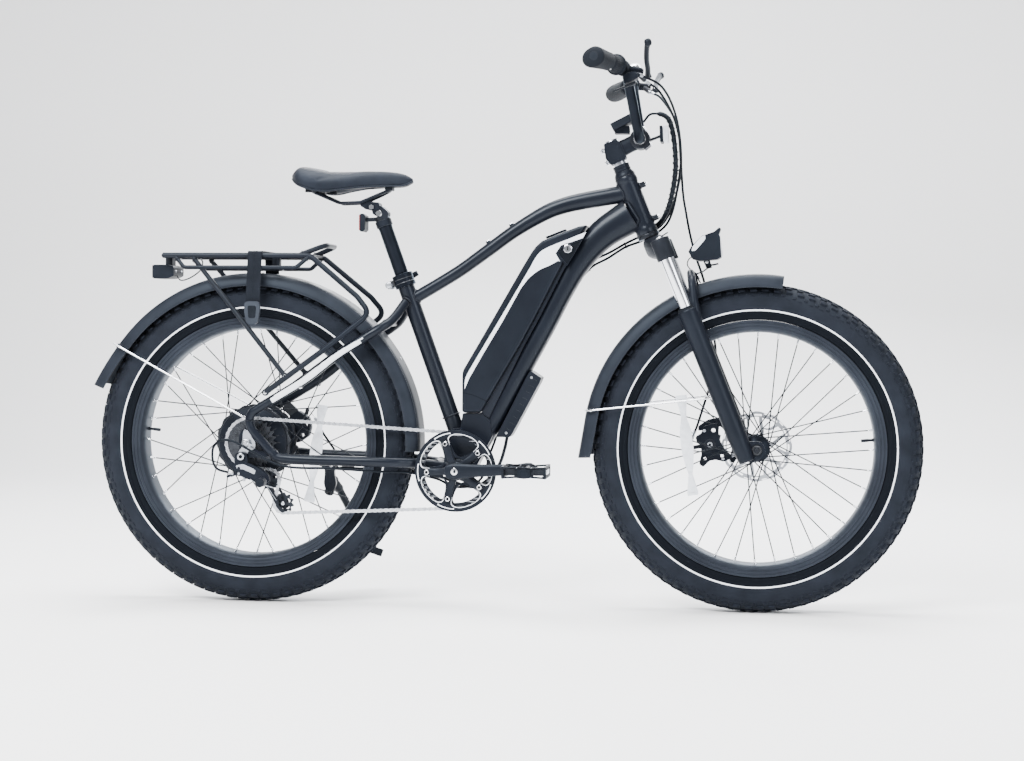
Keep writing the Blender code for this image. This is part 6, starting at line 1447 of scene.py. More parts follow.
for s in (1, -1):
    for at, to, r in (((-0.172, -0.072, 0.790), (-0.152, -0.078, 0.7665), 0.0052), ((0.135, -0.072, 0.790), (0.108, -0.078, 0.7665), 0.0052), ((-0.132, -0.071, 0.789), (0.090, -0.1045, 0.522), 0.0062), ((0.116, -0.068, 0.7965), (0.172, -0.055, 0.818), 0.0062)):
        a, b = Vector((at[0], s * at[1], at[2])), Vector((to[0], s * to[1] * -1 * -1, to[2]))
        axis = (b - a).normalized()
        joints.append(ring_bead(a + axis * 0.0062, axis, r, 0.0013, 14))
emit("rack_welds", merged(joints), SATIN, "frame", sharp=60, slot="satin_black")
feet, bolts = [], []
for s in (1, -1):
    for x, z, y in ((0.046, 0.485, 0.1085), (0.090, 0.522, 0.1045)):
        feet.append(lathe([(0.0030, 0.0), (0.0072, 0.0), (0.0078, 0.0008), (0.0078, 0.0056), (0.0072, 0.0064), (0.0030, 0.0064)], Vector((x, s * (y - 0.0040), z)), Y * s, 30, ring=True))
        bolts.append(hex_bolt((x, s * (y + 0.0024), z), Y * s, 0.0046, 0.0034))
emit("rack_feet", merged(feet), SATIN, "frame", sharp=35, slot="satin_black")
for s in (1, -1):
    bolts.append(hex_bolt((0.1240, s * 0.0985, 0.4970), Y * s, 0.0040, 0.0034))
    bolts.append(hex_bolt((0.0740, s * 0.1050, 0.4920), Y * s, 0.0030, 0.0034))
emit("rack_bolts", merged(bolts), CHROME, "frame", slot="silver_alloy")
fender_bracket = strip(rounded([(0.045, 0, 0.7910), (0.045, 0, 0.7655), (0.060, 0, 0.7620)], 0.006, 4), 0.0016, 0.0090)
emit("rack_fender_bracket", merged([fender_bracket]), SATIN, "frame", bevel=0.0004, slot="satin_black")

# ---- tail light ----
case = plate([softened([(-0.2380, 0.7410), (-0.2030, 0.7415), (-0.1870, 0.7480), (-0.1870, 0.7690), (-0.2030, 0.7735), (-0.2380, 0.7735)], 2)], -0.0405, 0.0405)
emit("tail_light_case", merged([case, box((-0.2060, 0, 0.7810), (0.016, 0.028, 0.0180))]), PLASTIC, "frame", "tail_light", sharp=30, bevel=0.0016, segments=3)
lens_shape = []
for k in range(9):
    t = k / 8
    y = -0.0385 + 0.077 * t
    bow = 0.0022 * sin(pi * t) ** 0.5
    lens_shape.append([Vector((-0.2372 - bow, y, 0.7425)), Vector((-0.2385 - bow, y, 0.7455)), Vector((-0.2385 - bow, y, 0.7700)), Vector((-0.2372 - bow, y, 0.7722)), Vector((-0.2350, y, 0.7722)), Vector((-0.2350, y, 0.7425))])
emit("tail_light_lens", rings(lens_shape), RED, "frame", slot="red_lens", sharp=40)
cells = []
for row in range(3):
    for col in range(7):
        cells.append(lathe([(0.0001, 0.0014), (0.0022, 0.0010), (0.0036, 0.0)], Vector((-0.2392, -0.0300 + 0.0100 * col, 0.7495 + 0.0082 * row)), -X, 14))
emit("tail_light_cells", merged(cells), RED, "frame", slot="red_lens")
tail_lead = tube(smooth([(-0.1900, 0.0, 0.7470), (-0.1780, -0.010, 0.7380), (-0.1500, -0.030, 0.7440), (-0.1220, -0.050, 0.7600), (-0.1120, -0.064, 0.7780), (-0.1180, -0.068, 0.7880)], 6), 0.0016, 10)
emit("tail_light_lead", tail_lead, CABLE, "frame", slot="plastic")
emit("tail_light_screws", merged([hex_bolt((-0.2060, y, 0.7730), -Z, 0.0020, 0.0012) for y in (-0.008, 0.008)] + [hex_bolt((-0.1870, y, 0.7585), X, 0.0026, 0.0018) for y in (-0.022, 0.022)]), STEEL, "frame", slot="steel")


# ---- mudguards ----
def blade(centre, start, end, radius, steps, tip):
    """A curved mudguard with a ridge along each edge of its crown, rolled rims and a flared tip."""
    half = [(-0.0300, 0.0600), (-0.0285, 0.0606), (-0.0240, 0.0602), (-0.0120, 0.0560), (-0.0062, 0.0522), (-0.0040, 0.0495), (-0.0028, 0.0470), (-0.0030, 0.0440), (-0.0012, 0.0400), (0.0, 0.0330), (0.0002, 0.0200), (0.0002, 0.0)]
    inner = [(-0.0024, 0.0), (-0.0024, 0.0215), (-0.0040, 0.0400), (-0.0075, 0.0478), (-0.0140, 0.0542), (-0.0240, 0.0580), (-0.0300, 0.0584)]
    sections = []
    for k in range(steps + 1):
        t = k / steps
        a = radians(start + (end - start) * t)
        e = max(0.0, 1 - (1 - t) * 8)
        f = max(0.0, 1 - t * 26)
        r = radius + tip * e * e - 0.0004
        up = Vector((cos(a), 0, sin(a)))
        draw = 1 - 0.05 * f * f
        outer_line = [(h, w * draw) for h, w in half]
        ring = outer_line + [(h, -w) for h, w in reversed(outer_line[:-1])] + [(h, -w * draw) for h, w in reversed(inner)][:-1] + [(h, w * draw) for h, w in inner]
        sections.append([centre + up * (r + h) + Y * w for h, w in ring])
    return rings(sections)


REAR_UP, FRONT_UP = 0.3875, 0.3895
emit("rear_mudguard", blade(REAR, -2.5, 161.0, REAR_UP, 150, 0.0105), FENDER, "frame", "rear_fender", sharp=28)
emit("front_mudguard", blade(FRONT, 81.5, 183.6, FRONT_UP, 100, 0.0105), FENDER, "lowers", "front_fender", sharp=28)


def wire_stay(points, radius=0.0021):
    return tube(rounded(points, 0.012, 6), radius, 14, ref=X)


def stay_clip(at, along, s):
    """The clamp that holds a wire on the mudguard's side, with its bolt."""
    along = Vector(along).normalized()
    across = along.cross(Y).normalized()
    at = Vector(at)
    return box(at, (0.014, 0.0052, 0.0100), (along, Y, across)), hex_bolt(at + Y * s * 0.0026, Y * s, 0.0034, 0.0026)


rear_wires, rear_clips, clip_bolts = [], [], []
for s in (1, -1):
    rear_wires.append(wire_stay([(-0.3230, s * 0.0592, 0.5915), (-0.3050, s * 0.0660, 0.5830), (-0.0300, s * 0.0960, 0.4400), (-0.0060, s * 0.0965, 0.4270)]))
    clip, head_bolt = stay_clip((-0.3080, s * 0.0605, 0.5845), (0.30, 0, -0.155), s)
    rear_clips.append(clip)
    clip_bolts.append(head_bolt)
    clip_bolts.append(hex_bolt((-0.0060, s * 0.0985, 0.4270), Y * s, 0.0042, 0.0030))
emit("rear_wire_stays", merged(rear_wires), CHROME, "frame", slot="steel", sharp=50)
emit("rear_stay_clips", merged(rear_clips), PLASTIC, "frame", bevel=0.0008, slot="plastic")
emit("rear_stay_bolts", merged(clip_bolts), CHROME, "frame", slot="silver_alloy")
front_wires, front_clips, clip_bolts = [], [], []
for s in (1, -1):
    front_wires.append(wire_stay([(0.7640, s * 0.0592, 0.4500), (0.7820, s * 0.0660, 0.4515), (1.0300, s * 0.0800, 0.4800), (1.0620, s * 0.0800, 0.4838)]))
    clip, head_bolt = stay_clip((0.7770, s * 0.0605, 0.4508), (1, 0, 0.10), s)
    front_clips.append(clip)
    clip_bolts += [head_bolt, hex_bolt((1.0580, s * 0.0822, 0.4835), Y * s, 0.0044, 0.0032)]
emit("front_wire_stays", merged(front_wires), CHROME, "lowers", slot="steel", sharp=50)
emit("front_stay_clips", merged(front_clips), PLASTIC, "lowers", bevel=0.0008, slot="plastic")
emit("front_stay_bolts", merged(clip_bolts), CHROME, "lowers", slot="silver_alloy")
fender_rivets = [lathe([(0.0002, 0.0012), (0.0022, 0.0011), (0.0034, 0.0)], at_angle(REAR, REAR_UP + 0.0001, a), Vector((cos(radians(a)), 0, sin(radians(a)))), 18) for a in (83, 88, 30)]
emit("rear_mudguard_rivets", merged(fender_rivets), STEEL, "frame", slot="steel")
fender_rivets = [lathe([(0.0002, 0.0012), (0.0022, 0.0011), (0.0034, 0.0)], at_angle(FRONT, FRONT_UP + 0.0001, a), Vector((cos(radians(a)), 0, sin(radians(a)))), 18) for a in (112, 117)]
emit("front_mudguard_rivets", merged(fender_rivets), STEEL, "lowers", slot="steel")

# ---- elastic strap over the rack ----
STRAP = [(0.0135, -0.1030, 0.670), (0.0135, -0.0940, 0.7150), (0.0135, -0.0858, 0.762), (0.0135, -0.0806, 0.7945), (0.0135, -0.0780, 0.8010), (0.0135, -0.0720, 0.8030), (0.0135, -0.0300, 0.8033),
         (0.0135, 0.0300, 0.8033), (0.0135, 0.0720, 0.8030), (0.0135, 0.0780, 0.8010), (0.0135, 0.0806, 0.7945), (0.0135, 0.0858, 0.762), (0.0135, 0.0940, 0.7150), (0.0135, 0.1030, 0.670)]
STRAP_LINE = smooth(STRAP, 8)
bands = []
for offset in (-0.0088, 0.0088):
    bands.append(strip([p + X * offset for p in STRAP_LINE], 0.0011, 0.0074, ref=X))
emit("strap_bands", merged(bands), WEB, "frame", "rack_strap", sharp=40, bevel=0.0005)
emit("strap_middle", strip(STRAP_LINE, 0.0007, 0.0030, ref=X), WEB, "frame", slot="webbing", sharp=40)
stitches = []
for p, q in zip(STRAP_LINE[2:-2:2], STRAP_LINE[3:-2:2]):
    d = (q - p).normalized()
    out = X.cross(d) * -1
    for offset in (-0.0148, -0.0030, 0.0030, 0.0148):
        c = (p + q) / 2 + X * offset
        c += out * (0.0012 if out.dot(c - Vector((0.0135, 0, 0.70))) > 0 else -0.0012)
        stitches.append(box(c, (0.0034, 0.0007, 0.0006), (d, X, out)))
emit("strap_stitches", merged(stitches), GRIP, "frame", slot="webbing")
buckles, slots = [], []
for s in (1, -1):
    line = softened([(-0.0030, 0.6900), (0.0310, 0.6900), (0.0320, 0.6680), (0.0270, 0.6420), (0.0230, 0.6385), (0.0050, 0.6385), (0.0010, 0.6420), (-0.0040, 0.6680)], 3)
    buckles.append(plate([line], *sorted((s * 0.0992, s * 0.1085))))
    slots.append(plate([softened([(0.0040, 0.6800), (0.0240, 0.6800), (0.0220, 0.6520), (0.0060, 0.6520)], 2)], *sorted((s * 0.1083, s * 0.1090))))
emit("strap_buckles", merged(buckles), BUCKLE, "frame", bevel=0.0026, segments=4, slot="webbing")
emit("strap_buckle_panels", merged(slots), GRIP, "frame", bevel=0.0003, slot="webbing")

# ---- fork ----
def steer_plate(outlines, low, high):
    return plate(outlines, low, high, lambda v, y, w: S(v, y, w))


def steer_lathe(profile, v, y, sides=64, ring=False):
    """Turned round the steering direction, (radius, w)."""
    return lathe(profile, HEAD + STEER_FORWARD * v + Y * y, STEER_AXIS, sides, ring=ring)


steerer = steer_lathe([(0.0005, 0.148), (STEERER_R - 0.0006, 0.148), (STEERER_R, 0.1470), (STEERER_R, 0.0880), (STEERER_R, 0.0700)], 0, 0, 48)
spacer_stack = steer_lathe([(0.0144, 0.0883), (0.0182, 0.0883), (0.0190, 0.0876), (0.0190, 0.0818), (0.0182, 0.0811), (0.0182, 0.0806), (0.0190, 0.0799), (0.0190, 0.0742), (0.0184, 0.0736), (0.0192, 0.0728), (0.0226, 0.0668), (0.0236, 0.0640), (0.0238, 0.0608), (0.0144, 0.0608)], 0, 0, 72, ring=True)
lower_race = steer_lathe([(0.0144, -0.0785), (0.0238, -0.0785), (0.0244, -0.0800), (0.0246, -0.0850), (0.0236, -0.0872), (0.0144, -0.0872)], 0, 0, 72, ring=True)
emit("steerer_tube", steerer, STEEL, "steering_head", "fork_crown", sharp=35)
emit("headset_spacers", spacer_stack, SATIN, "steering_head", sharp=35, slot="black_alloy")
emit("headset_lower_race", lower_race, ANODISED, "steering_head", sharp=35, slot="black_alloy")
# the crown: a bridge swept from leg to leg with sockets round the stanchions
bridge = []
for k in range(41):
    t = -1 + 2 * k / 40
    y = 0.080 * t
    dip = 0.012 * abs(t) ** 1.8
    high, low = -0.0865 - dip - 0.004 * abs(t), -0.1390 + 0.006 * (1 - abs(t)) - dip * 0.15
    back, front = -0.0190 + 0.018 * abs(t) ** 2, 0.0300 + 0.010 * abs(t) ** 1.5
    mv, mw, hv, hw = (back + front) / 2, (high + low) / 2, (front - back) / 2, (high - low) / 2
    ring = []
    for j in range(28):
        a = 2 * pi * j / 28
        c, s = cos(a), sin(a)
        ring.append(S(mv + hv * math.copysign(abs(c) ** 0.55, c), y, mw + hw * math.copysign(abs(s) ** 0.55, s)))
    bridge.append(ring)
crown_parts = [rings(bridge)]
for s in (1, -1):
    crown_parts.append(steer_lathe([(0.0158, -0.1500), (0.0205, -0.1500), (0.0214, -0.1488), (0.0214, -0.1050), (0.0206, -0.1030), (0.0130, -0.1015), (0.0126, -0.1030), (0.0002, -0.1030)], FORK_V, s * STANCHION_Y, 56))
emit("crown_forging", merged(crown_parts), CAST, "steering_head", sharp=40, slot="black_alloy")
tops, knobs, marks = [], [], []
for s in (1, -1):
    tops.append(steer_lathe([(0.0002, -0.0985), (0.0058, -0.0985), (0.0066, -0.0995), (0.0066, -0.1018), (0.0100, -0.1022), (0.0100, -0.1030)], FORK_V, s * STANCHION_Y, 30))
    knobs.append(box(S(FORK_V, s * STANCHION_Y, -0.0982), (0.0090, 0.0014, 0.0012), (STEER_FORWARD, Y, STEER_AXIS)))
emit("fork_top_caps", merged(tops), CHROME, "steering_head", slot="silver_alloy", sharp=35)
# painted shade: near-black bars in the slots of the top caps
emit("fork_top_slots", merged(knobs), RECESS_SHADE, "steering_head", slot="black_alloy")
lock = [strip(rounded([S(FORK_V - 0.002, -0.0800, -0.0990), S(FORK_V + 0.010, -0.0820, -0.0985), S(FORK_V + 0.0235, -0.0840, -0.0962)], 0.004, 4), 0.0013, 0.0034)]
emit("fork_lockout_lever", merged(lock), CAST, "steering_head", bevel=0.0006, slot="black_alloy")
stanchion = [steer_lathe([(STANCHION_R, -0.104), (STANCHION_R, -0.418), (STANCHION_R - 0.001, -0.420), (0.0005, -0.420)], FORK_V, s * STANCHION_Y, 64) for s in (1, -1)]
emit("fork_stanchions", merged(stanchion), CHROME, "steering_head", sharp=35, slot="chrome")

seals, legs = [], []
for s in (1, -1):
    seals.append(steer_lathe([(0.0162, -0.2640), (0.0182, -0.2640), (0.0192, -0.2648), (0.0194, -0.2664), (0.0186, -0.2672), (0.0204, -0.2684), (0.0207, -0.2712), (0.0162, -0.2712)], FORK_V, s * STANCHION_Y, 64, ring=True))
    legs.append(steer_lathe([(0.0162, -0.2705), (0.0212, -0.2705), (0.0226, -0.2722), (0.0229, -0.2745), (0.0229, -0.2980), (0.0224, -0.3010), (0.0222, -0.5500), (0.0226, -0.5580), (0.0222, -0.5720), (0.0205, -0.5980), (0.0188, -0.6220), (0.0176, -0.6295), (0.0160, -0.6305), (0.0068, -0.6305), (0.0066, -0.6270), (0.0004, -0.6270)], FORK_V, s * STANCHION_Y, 64))
arch_line = rounded([S(0.0340, -0.0800, -0.3000), S(0.0420, -0.0800, -0.2600), S(0.0545, -0.0720, -0.2150), S(0.0575, -0.0300, -0.1975), S(0.0575, 0.0300, -0.1975), S(0.0545, 0.0720, -0.2150), S(0.0420, 0.0800, -0.2600), S(0.0340, 0.0800, -0.3000)], 0.030, 8)
arch_sizes = []
for i in range(len(arch_line)):
    t = abs(2 * i / (len(arch_line) - 1) - 1)
    arch_sizes.append((0.0100 + 0.002 * t, 0.0078 + 0.003 * t))
arch = tube(arch_line, arch_sizes, 30, ref=STEER_FORWARD)
emit("fork_seals", merged(seals), GRIP, "lowers", slot="satin_black", sharp=30)
feet = []
for s in (1, -1):
    line = softened([(0.0100, -0.575), (0.0400, -0.590), (0.0660, -0.6000), (0.0690, -0.6150), (0.0660, -0.6290), (0.0400, -0.640), (0.0100, -0.630)], 3)
    hole = [(v, w) for v, w in circle(FRONT_V, FRONT_W, 0.0120, 30)]
    feet.append(steer_plate([line, hole], *sorted((s * 0.0780, s * 0.0690))))
emit("fork_legs", merged(legs), SATIN, "lowers", "fork_lowers", sharp=40)
emit("fork_arch", arch, SATIN, "lowers", sharp=40, slot="satin_black")
emit("fork_dropouts", merged(feet), SATIN, "lowers", sharp=30, bevel=0.0018, segments=3, slot="satin_black")
arch_plate = [steer_plate([softened([(0.0480, -0.2350), (0.0500, -0.1960), (0.0560, -0.1885), (0.0640, -0.1900), (0.0670, -0.2000), (0.0640, -0.2350)], 2)], -0.0105, 0.0105)]
arch_plate.append(strip([S(0.0655, 0, -0.1960), S(0.0690, 0, -0.2240)], 0.0016, 0.0085))
emit("arch_centre_pad", merged(arch_plate), SATIN, "lowers", sharp=30, bevel=0.0018, segments=3, slot="satin_black")
mud_bolts = [hex_bolt(S(0.0672, 0, -0.2060), STEER_FORWARD, 0.0046, 0.0036), hex_bolt(S(FORK_V, -STANCHION_Y, -0.6305), -STEER_AXIS, 0.0056, 0.0040), hex_bolt(S(FORK_V, STANCHION_Y, -0.6305), -STEER_AXIS, 0.0056, 0.0040)]
emit("fork_bolts", merged(mud_bolts), CHROME, "lowers", slot="silver_alloy")
arch_ribs = []
for s in (1, -1):
    for k in range(3):
        y = s * (0.018 + 0.014 * k)
        arch_ribs.append(strip([S(0.0480, y, -0.1990 - 0.004 * k), S(0.0480, y, -0.2120 - 0.006 * k)], 0.0009, 0.0009))
emit("arch_ribs", merged(arch_ribs), SATIN, "lowers", slot="satin_black")

# bosses with bolts on the front of the head tube
studs, stud_bolts = [], []
for w in (0.0290, -0.0500):
    studs.append(lathe([(0.0066, 0.0200), (0.0066, 0.0350), (0.0060, 0.0358), (0.0030, 0.0358)], S(0, 0, w), STEER_FORWARD, 30))
    stud_bolts.append(hex_bolt(S(0.0357, 0, w), STEER_FORWARD, 0.0050, 0.0046))
    studs.append(ring_bead(S(0.0238, 0, w), STEER_FORWARD, 0.0072, 0.0012, 12))
emit("head_tube_bosses", merged(studs), PAINT, "frame", slot="frame_black", sharp=40)
emit("head_tube_boss_bolts", merged(stud_bolts), CHROME, "frame", slot="silver_alloy")

# ---- headlight ----
shell_line = softened([(0.0800, -0.1420), (0.1120, -0.1280), (0.1300, -0.1310), (0.1445, -0.1345), (0.1480, -0.1440), (0.1340, -0.1885), (0.1240, -0.1900), (0.0860, -0.1790), (0.0720, -0.1680), (0.0700, -0.1500)], 1)
emit("headlight_shell", steer_plate([shell_line], -0.0320, 0.0320), PLASTIC, "lamp", "headlight", sharp=30, bevel=0.0055, segments=5)
visor = steer_plate([softened([(0.1200, -0.1290), (0.1400, -0.1300), (0.1530, -0.1250), (0.1560, -0.1290), (0.1490, -0.1370), (0.1440, -0.1430), (0.1300, -0.1390)], 1)], -0.0290, 0.0290)
emit("headlight_visor", visor, PLASTIC, "lamp", sharp=30, bevel=0.0012, segments=2, slot="lamp_housing")
cell = [steer_plate([softened([(0.0770, -0.1520), (0.0830, -0.1430), (0.1080, -0.1300), (0.1180, -0.1290), (0.1160, -0.1380), (0.0860, -0.1540)], 2)], y0, y1) for y0, y1 in ((-0.0330, -0.0240), (0.0240, 0.0330))]
emit("headlight_top_windows", merged(cell), REFLECT, "lamp", sharp=40, bevel=0.0008, slot="red_lens")
face = []
for k in range(17):
    t = -1 + 2 * k / 16
    y = 0.0285 * t
    bow = 0.0035 * (1 - t * t)
    face.append([S(0.1462 + bow, y, -0.1400), S(0.1440 + bow * 1.2, y, -0.1500), S(0.1390 + bow * 1.2, y, -0.1650), S(0.1350 + bow, y, -0.1850), S(0.1310, y, -0.1840), S(0.1420, y, -0.1400)])
emit("headlight_lens", rings(face), REFLECT, "lamp", slot="red_lens", sharp=40)
lamp_parts = [steer_lathe([(0.0004, -0.1990), (0.0060, -0.1990), (0.0068, -0.1980), (0.0068, -0.1900), (0.0060, -0.1850), (0.0004, -0.1850)], 0.1000, 0.0, 30)]
for s in (1, -1):
    lamp_parts.append(steer_plate([softened([(0.0930, -0.1780), (0.1070, -0.1780), (0.1070, -0.1900), (0.1000, -0.1990), (0.0930, -0.1900)], 2)], *sorted((s * 0.0095, s * 0.0120))))
lamp_parts.append(strip(rounded([S(0.1000, 0, -0.1940), S(0.1120, 0, -0.1975), S(0.1220, 0, -0.1990)], 0.004, 3), 0.0018, 0.0100))
emit("headlight_bracket", merged(lamp_parts), PLASTIC, "lamp", sharp=35, bevel=0.0006, slot="lamp_housing")
emit("headlight_bracket_bolt", merged([hex_bolt(S(0.1000, s * 0.0120, -0.1860), Y * s, 0.0040, 0.0026) for s in (1, -1)]), CHROME, "lamp", slot="silver_alloy")
holder_arm = strip(rounded([S(0.0690, 0, -0.2020), S(0.0820, 0, -0.2030), S(0.0960, 0, -0.1995), S(0.1060, 0, -0.2005)], 0.006, 4), 0.0014, 0.0080)
emit("headlight_arm", merged([holder_arm, strip([S(0.0672, 0, -0.1990), S(0.0700, 0, -0.2150)], 0.0014, 0.0080)]), SATIN, "lowers", sharp=35, bevel=0.0005, slot="satin_black")
lamp_lead = tube(smooth([S(0.0730, 0.006, -0.1620), S(0.0620, 0.018, -0.1660), S(0.0560, 0.030, -0.1760), S(0.0600, 0.040, -0.1900)], 6), 0.0014, 10)
emit("headlight_lead", lamp_lead, CABLE, "lamp", slot="lamp_housing")

# ---- stem, bars, controls ----
BAR_HALF = [(0.062, 0.0, 0.125), (0.062, 0.038, 0.125), (0.066, 0.066, 0.142), (0.084, 0.098, 0.232), (0.091, 0.118, 0.262), (0.088, 0.150, 0.266), (0.078, 0.205, 0.2715), (0.044, 0.340, 0.2870)]
GRIP_A, GRIP_B = Vector((0.078, 0.205, 0.2715)), Vector((0.044, 0.340, 0.2870))


def bar_point(y):
    """The handlebar's middle in its straight outer part."""
    if y < 0.205:
        t = (y - 0.150) / 0.055
        a, b = Vector((0.088, 0.150, 0.266)), GRIP_A
    else:
        t = (y - 0.205) / 0.135
        a, b = GRIP_A, GRIP_B
    return a + (b - a) * t


def side_point(p, sign):
    return S(p.x, sign * p.y, p.z)


half = [S(*p) for p in BAR_HALF]
bar_path = rounded([Vector((p.x, -p.y, p.z)) for p in reversed(half[1:])] + half[1:], 0.030, 8)
sizes = []
for p in bar_path:
    near = abs(p.y)
    t = max(0.0, min(1.0, (near - 0.030) / 0.012))
    sizes.append(BAR_CLAMP_R + (BAR_R - BAR_CLAMP_R) * t)
emit("handlebar_tube", tube(bar_path, sizes, 40, ref=STEER_FORWARD), ANODISED, "steering_head", "handlebar", sharp=40)
emit("handlebar_marks", merged([ring_bead(S(0.062, s * 0.0270, 0.125), Y, 0.01255, 0.0003, 12) for s in (1, -1)]), PALE, "steering_head", slot="black_alloy")

# the stem: a steerer clamp with a faceted cheek, a shaft, the bar clamp with its face plate
clamp = steer_plate([softened([(-0.0255, 0.1120), (-0.0175, 0.1445), (0.0060, 0.1445), (0.0175, 0.1380), (0.0195, 0.1010), (0.0150, 0.0955), (-0.0185, 0.0945)], 1)], -0.0210, 0.0210)
emit("stem_clamp", clamp, CAST, "steering_head", "stem", sharp=24, bevel=0.0040, segments=3)
cheeks, stem_bolts, split = [], [], []
for s in (1, -1):
    cheeks.append(steer_plate([softened([(-0.0200, 0.1120), (-0.0135, 0.1390), (0.0130, 0.1310), (0.0145, 0.1010), (-0.0130, 0.0990)], 1)], *sorted((s * 0.0205, s * 0.0222))))
emit("stem_cheeks", merged(cheeks), CAST, "steering_head", sharp=24, bevel=0.0010, segments=2, slot="black_alloy")
for w, v in ((0.1310, -0.0225), (0.1030, -0.0225)):
    for s in (1, -1):
        stem_bolts.append(hex_bolt(S(v, s * 0.0085, w), -STEER_FORWARD, 0.0052, 0.0085))
    stem_bolts.append(lathe([(0.0030, -0.020), (0.0050, -0.020), (0.0050, 0.020), (0.0030, 0.020)], S(v - 0.0012, 0, w), Y, 28, ring=True))
stem_bolts.append(steer_lathe([(0.0004, 0.1475), (0.0130, 0.1475), (0.0142, 0.1468), (0.0142, 0.1435), (0.0004, 0.1435)], 0.0, 0.0, 48))
shaft = []
for k in range(13):
    t = k / 12
    v = 0.0120 + 0.0450 * t
    hw, hy, mid = 0.0195 - 0.0020 * sin(pi * t), 0.0175 - 0.0012 * sin(pi * t), 0.1210 + 0.004 * t
    ring = []
    for j in range(36):
        a = 2 * pi * j / 36
        c, sn = cos(a), sin(a)
        ring.append(S(v, hy * math.copysign(abs(c) ** 0.72, c), mid + hw * math.copysign(abs(sn) ** 0.72, sn)))
    shaft.append(ring)
emit("stem_shaft", rings(shaft), CAST, "steering_head", sharp=40, slot="black_alloy")
collar_ring = lathe([(0.0130, -0.0255), (0.0215, -0.0255), (0.0225, -0.0245), (0.0225, 0.0245), (0.0215, 0.0255), (0.0130, 0.0255)], S(0.062, 0, 0.125), Y, 72, ring=True)
face_plate = [strip([S(0.0625, 0, 0.1475), S(0.0790, 0, 0.1425)], 0.0040, 0.0235), strip([S(0.0625, 0, 0.1025), S(0.0790, 0, 0.1075)], 0.0040, 0.0235)]
emit("stem_bar_clamp", collar_ring, CAST, "steering_head", sharp=35, slot="black_alloy")
emit("stem_face_plate", merged(face_plate), CAST, "steering_head", sharp=30, bevel=0.0015, segments=2, slot="black_alloy")
for w, s in ((0.1440, 1), (0.1440, -1), (0.1065, 1), (0.1065, -1)):
    stem_bolts.append(hex_bolt(S(0.0780, s * 0.0170, w), STEER_FORWARD, 0.0040, 0.0040))
emit("stem_bolts", merged(stem_bolts), CHROME, "steering_head", slot="silver_alloy")
# painted shade: near-black rings for the seams on the faces of the bar clamp
seams = [ring_bead(S(0.062, s * 0.0256, 0.125), Y, 0.0175, 0.0006, 16) for s in (1, -1)] + [steer_lathe([(0.0228, 0.0890), (0.0228, 0.0888), (0.0160, 0.0888)], 0, 0, 48)]
emit("stem_seams", merged(seams[:2]), RECESS_SHADE, "steering_head", slot="black_alloy")

# front reflector on its bracket
arm = strip(rounded([S(0.0760, 0, 0.1160), S(0.0950, 0, 0.1150), S(0.1100, 0, 0.1150)], 0.006, 3), 0.0026, 0.0085)
emit("front_reflector_bracket", arm, PLASTIC, "steering_head", bevel=0.0012, slot="plastic")
back_line = softened([(0.1010, 0.1010), (0.1130, 0.1350), (0.1190, 0.1330), (0.1075, 0.0985)], 1)
emit("front_reflector_case", steer_plate([back_line], -0.0285, 0.0285), PLASTIC, "steering_head", sharp=30, bevel=0.0016, segments=3, slot="plastic")
lens_line = softened([(0.1085, 0.0985), (0.1200, 0.1325), (0.1305, 0.1285), (0.1190, 0.0950)], 1)
emit("front_reflector_lens", steer_plate([lens_line], -0.0270, 0.0270), REFLECT, "steering_head", sharp=30, bevel=0.0016, segments=3, slot="plastic")

# ---- grips and throttle ----
def sleeve(y0, y1, sign, profile, sides=64, ring=True):
    """A turned sleeve on the bar: profile is (radius, share of the length)."""
    a, b = side_point(bar_point(y0), sign), side_point(bar_point(y1), sign)
    length = (b - a).length
    return lathe([(r, length * t) for r, t in profile], a, b - a, sides, ring=ring, first=STEER_FORWARD), a, b


def shaped_grip(y0, sign):
    a, b = side_point(bar_point(y0), sign), side_point(bar_point(0.340), sign)
    length = (b - a).length
    across = (b - a).normalized()
    back = (-STEER_FORWARD - across * across.dot(-STEER_FORWARD)).normalized()
    rise = across.cross(back)
    sections = []
    steps = 80
    for k in range(steps + 1):
        t = k / steps
        base = 0.0186 + 0.0024 * t + (0.0008 if 0.03 < t < 0.06 else 0.0)
        ring = []
        for j in range(96):
            q = 2 * pi * j / 96
            r = base
            palm = max(0.0, cos(q)) ** 2 * 0.0085 * t
            inside = 0.08 < t < 0.94
            groove = 0.00035 * (1 if inside and (j + 2 * (k // 2)) % 4 < 2 else 0) * (1 if k % 2 else 0.4)
            edge_soft = min(1.0, (1 - t) / 0.03, t / 0.02 + 0.35)
            rr = (r + palm) * (0.93 + 0.07 * edge_soft) + groove
            ring.append(a + across * (length * t) + back * (rr * cos(q)) + rise * (rr * sin(q)))
        sections.append(ring)
    cap = []
    for radius, out in ((0.90, 0.0022), (0.70, 0.0044), (0.35, 0.0050), (0.05, 0.0051)):
        ring = []
        for j in range(96):
            q = 2 * pi * j / 96
            rr = (0.0185 + max(0.0, cos(q)) ** 2 * 0.0085) * radius
            ring.append(b + across * out + back * (rr * cos(q)) + rise * (rr * sin(q)))
        cap.append(ring)
    shape = rings(sections + cap)
    lock_a, lock_b = a + across * 0.0005, a + across * 0.0075
    return shape, lathe([(0.0150, 0.0), (0.0176, 0.0), (0.0181, 0.0008), (0.0181, 0.0062), (0.0176, 0.0070), (0.0150, 0.0070)], lock_a, across, 64, ring=True), lock_a + across * 0.0035, across


